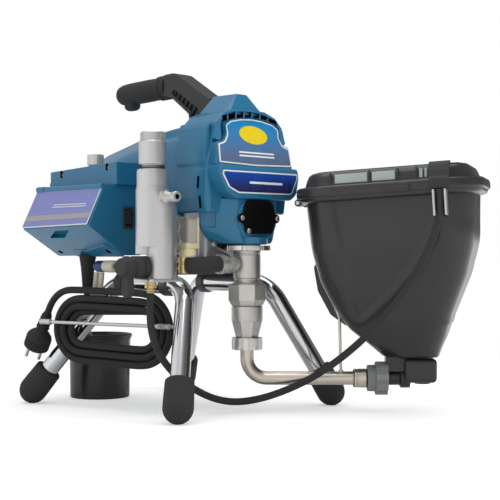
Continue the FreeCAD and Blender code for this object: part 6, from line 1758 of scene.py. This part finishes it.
class SPRAYER_OT_suction(bpy.types.Operator):
    """Models the bent suction pipe with its ferrule, the hopper's support rod and the grey union nut"""
    bl_idname = "sprayer.suction"
    bl_label = "Suction Line"

    def execute(self, context):
        along = [PIPE_WAY * s + Vector((0, 0, PIPE_Z)) for s in (0, 152)]
        pipe_body = pipe([(0, 0, 103), along[0], along[1]], 9.5, 28, 48, 20)
        ferrule = turned([(9, 150), (12.6, 150), (13.3, 150.8), (13.3, 153), (12.5, 153.5), (12.5, 154.5),
                          (13.3, 155), (13.3, 166.4), (12.4, 167.6), (9, 167.6)], 64, closed=True)
        place = aimed((0, 0, PIPE_Z), PIPE_WAY)
        add(pipe_body, ferrule, place)
        add(pipe_body, turned([(9, 149.2), (12.2, 149.2), (12.2, 151), (9, 151)], 48, closed=True), place, 1)
        rod = pipe([PIPE_WAY * 132 + Vector((0, 0, PIPE_Z + 8)), PIPE_WAY * 130 + Vector((0, 0, 133)),
                    PIPE_WAY * 114 + Vector((0, 0, 172))], 2, 16, 16, 8)
        add(pipe_body, rod)
        foot = placed(turned([(0, 0), (3.6, 0), (3.6, 2), (2, 3.4), (0, 3.4)], 20),
                      PIPE_WAY * 132 + Vector((0, 0, PIPE_Z + 8.6)))
        add(pipe_body, foot)
        piece("suction_tube", pipe_body, ("pipe_nickel", "shade_and_joint_black"),
              stands_for=("suction_pipe",), sharp=30)
        nut = turned([(13.8, 168.6), (17.4, 168.6), (18.6, 169.6), (18.6, 180), (13.8, 180)], 64, closed=True)
        add(nut, lobed(20.6, 23.5, 9, 180, 197, 0.62, 1.2, 0.2))
        bmesh.ops.transform(nut, matrix=place, verts=nut.verts)
        bore = turned([(0, 178), (13.8, 178), (13.8, 199), (0, 199)], 48)
        bmesh.ops.transform(bore, matrix=place, verts=bore.verts)
        piece("grey_union_nut", nut, "grey_plastic", body="union",
              stands_for=("union_nut",), cutters=((bore, ("grey_plastic",)),), sharp=30)
        return {"FINISHED"}


class SPRAYER_OT_pressure_hose(bpy.types.Operator):
    """Models the short pressure hose from the pump to the manifold, with its crimped swivel"""
    bl_idname = "sprayer.pressure_hose"
    bl_label = "Pressure Hose"

    def execute(self, context):
        swivel = turned([(5, 28), (12, 28), (12, 36), (9.5, 36), (9.5, 44), (5, 44)], 40, closed=True)
        add(swivel, turned([(5, 45), (13, 45), (13, 56), (5, 56)], 40, closed=True))
        ring = six_sided(11.5, 30, 36.4, 0.2)
        add(swivel, ring)
        for low in (45.6, 49.2, 52.8):
            add(swivel, turned([(12.4, low), (13.4, low), (13.7, low + 1.2), (13.4, low + 2.4),
                                (12.4, low + 2.4)],
                               40, closed=True))
        bmesh.ops.transform(swivel, matrix=aimed((0, 0, 209), (-1, 0, 0)), verts=swivel.verts)
        piece("hose_swivel", swivel, "plated_steel", stands_for=("outlet_swivel",), sharp=30)
        corners = [Vector(p) for p in ((-54, 0, 209), (-67, 0, 208.8), (-76.5, 5.5, 208),
                                       (-83.5, 14.5, 207.3),
                                       (-88.2, 24.6, 207))]
        points = []
        for index in range(len(corners) - 1):
            before = corners[max(index - 1, 0)]
            after = corners[min(index + 2, len(corners) - 1)]
            a, b = corners[index], corners[index + 1]
            for step in range(6):
                t = step / 6
                points.append(0.5 * ((2 * a) + (b - before) * t + (2 * before - 5 * a + 4 * b - after) * t ** 2
                                     + (3 * a - before - 3 * b + after) * t ** 3))
        points.append(corners[-1])
        hose = followed(points, [11] * len(points), 32)
        piece("short_pressure_hose", hose, "hose_rubber", stands_for=("connecting_hose",))
        return {"FINISHED"}


# Filter manifold, its cap, valves and fittings
FILTER = (-133, 46.5)
COLUMN = (-126.5, 36.0)


class SPRAYER_OT_manifold(bpy.types.Operator):
    """Models the machined filter manifold with its necked top, side boss and base plate"""
    bl_idname = "sprayer.manifold"
    bl_label = "Filter Manifold"

    def execute(self, context):
        body = turned([(0, 189), (19.9, 189), (20.5, 189.8), (20.5, 233.4), (0, 233.4)], 96)
        bmesh.ops.translate(body, verts=body.verts, vec=(*COLUMN, 0))
        boss = turned([(0, 222), (11.4, 222), (12, 222.6), (12, 233.4), (0, 233.4)], 64)
        bmesh.ops.translate(boss, verts=boss.verts, vec=(-143.5, 52, 0))
        add(body, boss)
        ring = [(FILTER[0] + 23.5 * math.cos(a), FILTER[1] + 23.5 * math.sin(a), z)
                for a in (FULL_TURN * i / 96 for i in range(96)) for z in (232.4, 309.6)]
        ring += [(COLUMN[0] + 20.8 * math.cos(a), COLUMN[1] + 20.8 * math.sin(a), z)
                 for a in (FULL_TURN * i / 96 for i in range(96)) for z in (232.4, 285)]
        add(body, softened(hull(ring), 0.5, 2, 40))
        drum = turned([(12, 234), (23.1, 234), (23.1, 309.6),
                       (22.4, 313.6), (22, 317.4), (22, 334.6), (20.6, 337.4), (18.6, 338), (15.2, 338),
                       (15.2, 344), (12, 344)], 96, closed=True)
        bmesh.ops.translate(drum, verts=drum.verts, vec=(*FILTER, 0))
        add(body, drum)
        for z in (338.6, 340.6):
            ring = turned([(14, z), (16.4, z), (16.8, z + 0.6), (16.4, z + 1.2), (14, z + 1.2)], 64,
                          closed=True)
            add(body, ring, Matrix.Translation((*FILTER, 0)), 1)
        web = prism([(36, 276), (30, 262), (33, 252), (28, 240), (34, 230), (60, 230), (60, 276)],
                    -100, -92, "X", [3, 6, 6, 6, 3, 1, 1], 4)
        add(body, softened(web, 1.2, 3, 40))
        piece("filter_manifold", body, ("manifold_metal", "shade_and_joint_black"),
              stands_for=("manifold",), sharp=30)
        plate = prism([(-154, 24.5), (-95, 24.5), (-95, 68.5), (-154, 68.5)], 184.6, 188.9, "Z", 6, 5)
        softened(plate, 0.8, 3)
        for x, y in ((-148.5, 63), (-100.5, 63), (-100.5, 30)):
            add(plate, slotted_screw(3.2, 1.8, slot=False), Matrix.Translation((x, y, 189.2)))
        piece("manifold_plate", plate, "manifold_metal", stands_for=("manifold_bracket",))
        cap = turned([(0, 343.2), (17.6, 343.2), (19.2, 344.4), (19.4, 346), (19.4, 374.6), (18.4, 376.4),
                      (16.6, 376.8), (0, 376.8)], 24)
        add(cap, lobed(16.6, 17.2, 36, 376.8, 387, 0.5, 0.1))
        add(cap, turned([(0, 386), (16.4, 386), (16.6, 387.4), (15.4, 388.4), (0, 388.5)], 64))
        bmesh.ops.translate(cap, verts=cap.verts, vec=(*FILTER, 0))
        piece("filter_cap_body", cap, "manifold_metal", body="cap",
              stands_for=("filter_cap",), sharp=22)
        nipple = six_sided(9.1, -26, -17.4, 0.3)
        add(nipple, turned([(3.2, -18), (9, -18), (8.8, -16.4), (5.8, -14)]
                           + [(r, z) for r, z in threads(6.3, -13.6, -4, 1.6, 0.8)]
                           + [(7.2, -3.6), (7.4, 3), (6.6, 4.2), (3.2, 4.2), (3.2, -17)], 48, closed=True))
        bmesh.ops.transform(nipple, matrix=aimed((-133, 0, 299), (0, -1, 0)), verts=nipple.verts)
        bore = placed(turned([(0, -12), (3.6, -12), (3.6, 16), (0, 16)], 24), (-133, 0, 299), (0, -1, 0))
        # The bore takes the near-black of painted shade.
        piece("hose_nipple", nipple, ("plated_steel", "shade_and_joint_black"),
              stands_for=("outlet_nipple",), cutters=(bore,), sharp=30)
        return {"FINISHED"}


class SPRAYER_OT_valves(bpy.types.Operator):
    """Models the prime valve with its wavy lever, the drain barrel and the brass and amber fittings"""
    bl_idname = "sprayer.valves"
    bl_label = "Valves and Fittings"

    def execute(self, context):
        valve = turned([(0, 136), (15, 136), (15, 148), (13.8, 149), (13.8, 151.4), (15, 152.4), (15, 155.4),
                        (14, 156), (0, 156)], 56)
        bmesh.ops.transform(valve, matrix=aimed((0, 46.5, 205), (-1, 0, 0)), verts=valve.verts)
        piece("prime_valve_body", valve, "black_plastic", stands_for=("prime_valve",),
              sharp=30)
        hub = turned([(0, 156.6), (13.8, 156.6), (15, 158), (15, 168), (14, 169.6), (12.6, 170.4),
                      (12.6, 174),
                      (14.6, 175), (15, 176.6), (15, 180), (13.4, 182), (12.2, 183), (12.4, 187),
                      (11.4, 189.6),
                      (9, 190), (0, 190)], 56)
        bmesh.ops.transform(hub, matrix=aimed((0, 46.5, 205), (-1, 0, 0)), verts=hub.verts)
        lever = prism([(33.5, 208), (34, 197), (39.6, 189), (38, 181), (38, 172), (41, 166), (46.5, 164),
                       (52, 166), (55, 172), (55, 181), (53.4, 189), (59, 197), (59.5, 208)], -181, -171.6,
                       "X",
                      [1, 5, 7, 8, 8, 6, 6, 6, 8, 8, 7, 5, 1], 5)
        softened(lever, 3.2, 4, 30)
        add(hub, lever)
        piece("prime_lever_arm", hub, "black_plastic", body="lever",
              stands_for=("prime_lever",), sharp=30)
        barrel = turned([(4, 178), (8.4, 178), (8.4, 195), (7, 198.4), (4, 199)], 36, closed=True)
        painted(barrel, 1)
        add(barrel, turned([(4, 155), (7.2, 155), (8.8, 157), (8.8, 172), (8, 173), (8, 178), (4, 178)], 36,
                           closed=True), None, 0)
        bmesh.ops.transform(barrel, matrix=aimed((-112, 0, 205), (0, 1, 0)), verts=barrel.verts)
        piece("drain_barrel", barrel, ("beige_tube", "blue_metal"),
              stands_for=("drain_valve",), sharp=30)
        fitting = turned([(0, 195.8), (6.2, 195.8), (6.9, 196.6), (6.9, 208), (5.9, 209), (5.9, 211),
                          (6.9, 212),
                          (6.9, 218.2), (0, 218.2)], 40)
        bmesh.ops.translate(fitting, verts=fitting.verts, vec=(-91.5, 31, 0))
        lower = lobed(7.4, 8.2, 12, 176.4, 184.4, 0.5, 0.2)
        add(lower, turned([(0, 169.6), (4.6, 169.6), (5.5, 171.2), (4.6, 172.8), (5.5, 174.4), (4.6, 176.4),
                           (7.8, 176.5), (7.8, 180), (8.6, 180.4), (7.8, 180.8), (7.8, 184.4), (0, 184.4)],
                           40))
        add(fitting, lower, Matrix.Translation((-137, 46.5, 0)))
        piece("brass_barbs", fitting, "brass", stands_for=("brass_fittings",), sharp=30)
        block = rounded_box((-94, 20.8, 232), (-71.8, 42, 274), 2.4, 3)
        painted(block, 0)
        face = rounded_box((-91.5, 20.2, 236), (-76, 24, 270), 0.8, 2)
        add(block, face, None, 1)
        add(block, rounded_box((-95, 19.8, 229), (-71, 43, 238), 2, 3), None, 2)
        add(block, rounded_box((-75.4, 20.2, 234), (-71.2, 42, 273.4), 1.4, 3), None, 2)
        collar = turned([(0, 218.3), (11, 218.3), (12, 219.6), (12, 225.8), (10.6, 229.5), (0, 229.5)], 48)
        bmesh.ops.translate(collar, verts=collar.verts, vec=(-86, 28, 0))
        add(block, collar, None, 2)
        piece("inlet_port_block", block, ("fibre_block", "pale_block", "amber_plastic"),
              stands_for=("inlet_block",), sharp=30)
        return {"FINISHED"}


# Control box with its cover, label, knob and switch
BOX_OUTLINE = [(-75.1, 221), (-75.1, 322), (-141, 322), (-141, 318), (-168.5, 263), (-105, 221)]
BOX_REAR = [(-75.1, 221), (-75.1, 322), (-141, 322), (-141, 318), (-170.6, 259.6), (-106.4, 220)]
BOX_ENDS = (143, 302)
LABEL_TOP, LABEL_FOOT = Vector((-141, 0, 318)), Vector((-168.5, 0, 263))
LABEL_LIFT = 1.5
UNDER_FAR, UNDER_NEAR = Vector((-168.5, 0, 263)), Vector((-105, 0, 221))


def slanted(top, foot):
    """Axes of a slanted side: X along the box, Y down the slope, Z outward; the origin at its top."""
    down = (foot - top).normalized()
    across = Vector((0, 1, 0))
    out = across.cross(down)
    turn = Matrix((across, down, out)).transposed().to_4x4()
    return Matrix.Translation(top) @ turn


class SPRAYER_OT_control_box(bpy.types.Operator):
    """Models the slant-sided control box, its screwed cover and ledge, and the recesses underneath"""
    bl_idname = "sprayer.control_box"
    bl_label = "Control Box"

    def execute(self, context):
        front, rear = BOX_ENDS
        body = hull([(x, front, z) for x, z in BOX_OUTLINE] + [(x, rear, z) for x, z in BOX_REAR])
        softened(body, 1.8, 4, 30)
        under = slanted(UNDER_FAR, UNDER_NEAR)
        wedge = prism([(224, 62), (157, 45), (143, 68), (143, 76), (212, 76)], -1, 3.0, "Z",
                      [4, 4, 3, 1, 3], 3)
        softened(wedge, 1.4, 3, 40)
        bmesh.ops.transform(wedge, matrix=under, verts=wedge.verts)
        outward(wedge)
        tab = prism([(247, 60), (213, 58), (216, 76), (258, 76)], -1, 2.2, "Z", 4, 3)
        bmesh.ops.transform(tab, matrix=under, verts=tab.verts)
        outward(tab)
        # The recess floor takes a darker blue that paints the shade in the recess.
        recess = prism([(232, 9), (198, 9), (229, 27), (264, 26)], -3.0, 4, "Z", 0.8, 2)
        bmesh.ops.transform(recess, matrix=under, verts=recess.verts)
        outward(recess)
        holes = bmesh.new()
        for y, down in ((283, 64), (163, 62)):
            hole = turned([(0, -3), (4.4, -3), (4.4, 5), (0, 5)], 28)
            bmesh.ops.translate(hole, verts=hole.verts, vec=(y, down, 0))
            bmesh.ops.transform(hole, matrix=under, verts=hole.verts)
            add(holes, outward(hole))
        switch_bay = rounded_box((-107, 138, 260.5), (-91, 149, 289.5), 1.0, 2)
        # The screw holes and the switch bay take the near-black of painted shade.
        piece("control_housing", joined(body, wedge, tab),
              ("blue_shell", "shade_and_joint_black", "plated_steel"), stands_for=("control_box",),
              cutters=((recess, ("recess_shade_blue",)), holes, switch_bay))
        screws = bmesh.new()
        for y, down in ((283, 64), (163, 62)):
            place = under @ Matrix.Translation((y, down, -2.4))
            add(screws, slotted_screw(3.2, 1.4), place)
        ledge = rounded_box((-122, 139, 321.4), (-75.1, 302, 330), 0.8, 2)
        cover = hull([(x, y, z) for x in (-121, -75.1) for y, z in (
            (141, 322), (302, 322), (141, 354), (302, 346.4))])
        softened(cover, 1.5, 3, 30)
        bar = prism([(-139, 313.6), (-139, 322.4), (-144.6, 322.6), (-147.2, 319.4), (-145, 314)],
                    143.6, 282.6, "Y", [0.4, 1, 3, 3, 1], 4)
        softened(bar, 0.8, 3, 60)
        end_block = prism([(-139, 313), (-139, 322.8), (-145.2, 323), (-147.8, 319.4), (-145.4, 313)],
                          283.4, 302, "Y", [0.4, 1, 3, 3, 1], 4)
        softened(end_block, 1.2, 3, 60)
        notches = bmesh.new()
        for y, z in ((163, 347), (273, 341)):
            add(notches, rounded_box((-126, y - 3.4, z - 4.6), (-115.4, y + 3.4, z + 12), 1.4, 3))
            add(screws, slotted_screw(2.6, 1.6), aimed((-117.4, y, z - 0.6), (-1, 0, 0), 0.7))
        # The cover's notches take the near-black of painted shade.
        piece("control_cover", joined(ledge, cover, bar, end_block),
              ("blue_shell", "shade_and_joint_black"), stands_for=("box_cover",), cutters=(notches,))
        piece("control_screws", screws, "brass", stands_for=("cover_screws",))
        plate = drawing([(145.4, 0.6), (301, 0.6), (301, 64.6), (145.4, 61.0)], 0, "Z", 0.6, 2)
        push(plate, plate.faces[:], (0, 0, 0.9))
        outward(plate)
        painted(plate, 1)
        field = drawing([(147.0, 0.6), (301, 0.6), (301, 63.2), (147.0, 59.6)], 0.93, "Z", 0.3, 2)
        push(field, field.faces[:], (0, 0, 0.25))
        add(plate, outward(field), None, 0)
        stripe = drawing([(147.2, 42.6), (301, 45.4), (301, 54.2), (147.2, 50.6)], 1.2, "Z")
        push(stripe, stripe.faces[:], (0, 0, 0.2))
        add(plate, outward(stripe), None, 2)
        for low, high, down in ((165, 244, 27.6), (165, 244, 31.2)):
            mark = drawing([(low, down), (high, down), (high, down + 1.1), (low, down + 1.1)], 1.2, "Z")
            push(mark, mark.faces[:], (0, 0, 0.15))
            add(plate, outward(mark), None, 1)
        for vert in plate.verts:
            vert.co.z += (vert.co.x - 143) * (vert.co.y / 61.5) * 0.0022
        raised = slanted(LABEL_TOP, LABEL_FOOT) @ Matrix.Translation((0, 0, LABEL_LIFT))
        bmesh.ops.transform(plate, matrix=raised, verts=plate.verts)
        outward(plate)
        piece("side_label", plate, ("label_print", "white_print", "stripe_print"),
              stands_for=("label_panel",))
        return {"FINISHED"}


class SPRAYER_OT_controls(bpy.types.Operator):
    """Models the ribbed pressure knob and the power rocker with its frame"""
    bl_idname = "sprayer.controls"
    bl_label = "Knob and Switch"

    def execute(self, context):
        knob = lobed(11.6, 12.5, 24, 355, 369.6, 0.5, 0.3)
        add(knob, turned([(0, 347.8), (9.6, 347.8), (9.6, 351), (11.4, 355.2), (0, 355.2)], 56))
        add(knob, turned([(0, 369), (11.4, 369), (11.2, 370.2), (9, 370.4), (8.4, 369.8), (0, 369.8)], 56))
        add(knob, rounded_box((-0.9, 3, 369.6), (0.9, 10.6, 370.7), 0.3, 2))
        bmesh.ops.translate(knob, verts=knob.verts, vec=(-92, 228, 0))
        piece("pressure_dial", knob, "bright_zinc", body="knob",
              stands_for=("pressure_knob",), sharp=30)
        rocker = prism([(143.2, 264), (139.4, 265.4), (141.4, 275), (137.6, 284.6), (143.2, 286)],
                       -104.6, -93.4, "X", [0.5, 1.6, 8, 1.6, 0.5], 5)
        softened(rocker, 0.7, 2, 40)
        piece("power_rocker", rocker, "black_gloss", body="rocker",
              stands_for=("power_switch",))
        frame_ring = rounded_box((-108.4, 141.2, 259.2), (-89.6, 143.6, 290.8), 0.9, 3)
        hollow = box((-105.4, 139, 263), (-92.6, 146, 287))
        piece("rocker_frame", frame_ring, "black_plastic",
              cutters=((hollow, ("black_plastic",)),))
        return {"FINISHED"}


# Stand, feet, cup and gear casing
class SPRAYER_OT_stand(bpy.types.Operator):
    """Models the two bent tube hoops, the ball feet, the plate and the drain cup"""
    bl_idname = "sprayer.stand"
    bl_label = "Stand"

    def execute(self, context):
        feet = bmesh.new()
        for side, name, node in ((-1, "left_hoop", "leg_hoop_left"), (1, "right_hoop", "leg_hoop_right")):
            front, rear = Vector((side * 149, -24, 20.5)), Vector((side * 149, 305.6, 20.5))
            high_front, high_rear = Vector((side * 80, 39, 180)), Vector((side * 80, 192, 180))
            up_front, up_rear = (high_front - front).normalized(), (high_rear - rear).normalized()
            hoop = pipe([front + up_front * 8, high_front, high_rear, rear + up_rear * 8], 13.5, 45, 48, 24)
            piece(name, hoop, "stand_tube", stands_for=(node,))
            for foot, up in ((front, up_front), (rear, up_rear)):
                shape = turned([(0, -21), (6, -20.3), (11, -18), (15.4, -14.2), (18.4, -9.6), (20.4, -4),
                                (20.9, 0.6), (20.5, 1.6), (20.8, 3), (20.6, 14), (20.2, 26), (20.0, 37),
                                (19.6, 38.8), (18.6, 39.8), (14.2, 40), (14, 38), (0, 38)], 56)
                bmesh.ops.transform(shape, matrix=aimed(foot, up), verts=shape.verts)
                for vert in shape.verts:
                    vert.co.z = max(vert.co.z, 0.0)
                add(feet, shape)
        piece("ball_feet", outward(feet), "foot_rubber", stands_for=("rubber_feet",), sharp=50)

        cup = turned([(0, 0), (44.4, 0), (46, 1.6), (47.6, 88), (48.4, 92), (50.2, 94.4), (50.4, 97),
                      (49.2, 98.6),
                      (47, 99), (46, 97.6), (45.8, 92), (44, 3), (0, 3)], 96)
        bmesh.ops.translate(cup, verts=cup.verts, vec=(-25, 305, 0))
        piece("paint_cup", cup, "black_gloss", stands_for=("drain_cup",))

        plate = prism([(-88, 62), (88, 62), (88, 186), (-88, 186)], 193.6, 198.6, "Z", 6, 4)
        softened(plate, 0.8, 2)
        for side in (-1, 1):
            for y in (74, 174):
                saddle = pipe([(side * 80, y - 7, 180), (side * 80, y + 7, 180)], 16.2, 1, 40, 2)
                add(plate, softened(saddle, 0.6, 2, 60))
                add(plate, slotted_screw(3.6, 2.4, slot=False), Matrix.Translation((side * 80, y, 199.2)))
        piece("base_plate", plate, "stator_steel", stands_for=("chassis_plate",))

        casing = prism([(-71.5, 104), (-71.5, 24), (47, 24), (71.5, 48), (71.5, 104)], 198.8, 274,
                       "Z", [3, 4, 5, 5, 3], 4)
        softened(casing, 3.0, 4, 60, lambda e: all(v.co.z < 199 for v in e.verts))
        add(casing, softened(prism(both_sides([(0, 366), (67, 366), (67, 272), (0, 272)]), 24, 104, "Y",
                                   [0, 8, 1, 0, 1, 8], 4), 1.6, 3, 60))
        for z in (210, 222):
            add(casing, rounded_box((-73, 52, z), (73, 100, z + 3), 1.2, 2))
        for x, z in ((-42, 236.7), (42, 236.7)):
            add(casing, slotted_screw(4.6, 3), aimed((x, 23.6, z), (0, -1, 0), x), 1)
        piece("drive_casing", casing, ("cast_metal", "plated_steel"),
              stands_for=("gear_casing",),
              cutters=((box((-63, 30, 206), (63, 112, 362)), ("cast_metal",)),
                       (turned([(0, 180), (20.4, 180), (20.4, 260), (0, 260)], 48), ("cast_metal",))))
        return {"FINISHED"}


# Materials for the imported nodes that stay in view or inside
NODE_FINISHES = {
    "stand_tube": "stand_tube", "foot_rubber": "foot_rubber", "plated_steel": "plated_steel",
    "blue_shell": "blue_shell", "black_plastic": "black_plastic", "black_rubber": "black_rubber",
    "black_gloss": "black_gloss", "cast_metal": "cast_metal", "manifold_metal": "manifold_metal",
    "nickel_steel": "nickel_steel", "gear_steel": "gear_steel", "stator_steel": "stator_steel",
    "brass": "brass", "badge_print": "upper_badge_print", "label_print": "label_print",
    "board": "board", "amber_plastic": "amber_plastic", "hose_rubber": "hose_rubber",
    "beige_tube": "beige_tube", "cord_rubber": "cord_rubber", "filter_mesh": "filter_mesh",
}


class SPRAYER_OT_node_finishes(bpy.types.Operator):
    """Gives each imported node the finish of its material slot"""
    bl_idname = "sprayer.node_finishes"
    bl_label = "Node Finishes"

    def execute(self, context):
        for row in frame["record"]["subparts"]:
            node = frame["nodes"][row["node"]]
            node.data.materials.clear()
            node.data.materials.append(finish(NODE_FINISHES[row["material_slot"]]))
        return {"FINISHED"}


class SPRAYER_PT_panel(bpy.types.Panel):
    """Lists the sizes, the colours and each step of the sprayer"""
    bl_label = "Paint Sprayer"
    bl_idname = "SPRAYER_PT_panel"
    bl_space_type = "VIEW_3D"
    bl_region_type = "UI"
    bl_category = "Sprayer"

    def draw(self, context):
        for group in (context.scene.sprayer_sizes, context.scene.sprayer_colours):
            for name in group.__annotations__:
                self.layout.prop(group, name)
        for step in STEPS:
            self.layout.operator(step.bl_idname)


STEPS = (
    SPRAYER_OT_stage, SPRAYER_OT_mains_plug, SPRAYER_OT_mains_cord, SPRAYER_OT_hoses,
    SPRAYER_OT_front_cover, SPRAYER_OT_badges, SPRAYER_OT_drive_front, SPRAYER_OT_rear_cover,
    SPRAYER_OT_handle, SPRAYER_OT_hopper, SPRAYER_OT_hopper_lid, SPRAYER_OT_pump, SPRAYER_OT_suction,
    SPRAYER_OT_pressure_hose, SPRAYER_OT_manifold, SPRAYER_OT_valves, SPRAYER_OT_control_box,
    SPRAYER_OT_controls, SPRAYER_OT_stand,
    SPRAYER_OT_node_finishes,
)
CLASSES = (SprayerSizes, SprayerColours, *STEPS, SPRAYER_PT_panel)


def register():
    for made in CLASSES:
        bpy.utils.register_class(made)
    bpy.types.Scene.sprayer_sizes = PointerProperty(type=SprayerSizes)
    bpy.types.Scene.sprayer_colours = PointerProperty(type=SprayerColours)


def unregister():
    del bpy.types.Scene.sprayer_colours
    del bpy.types.Scene.sprayer_sizes
    for made in reversed(CLASSES):
        bpy.utils.unregister_class(made)


def main():
    register()
    for step in STEPS:
        area, name = step.bl_idname.split(".")
        getattr(getattr(bpy.ops, area), name)()


if __name__ == "__main__":
    main()
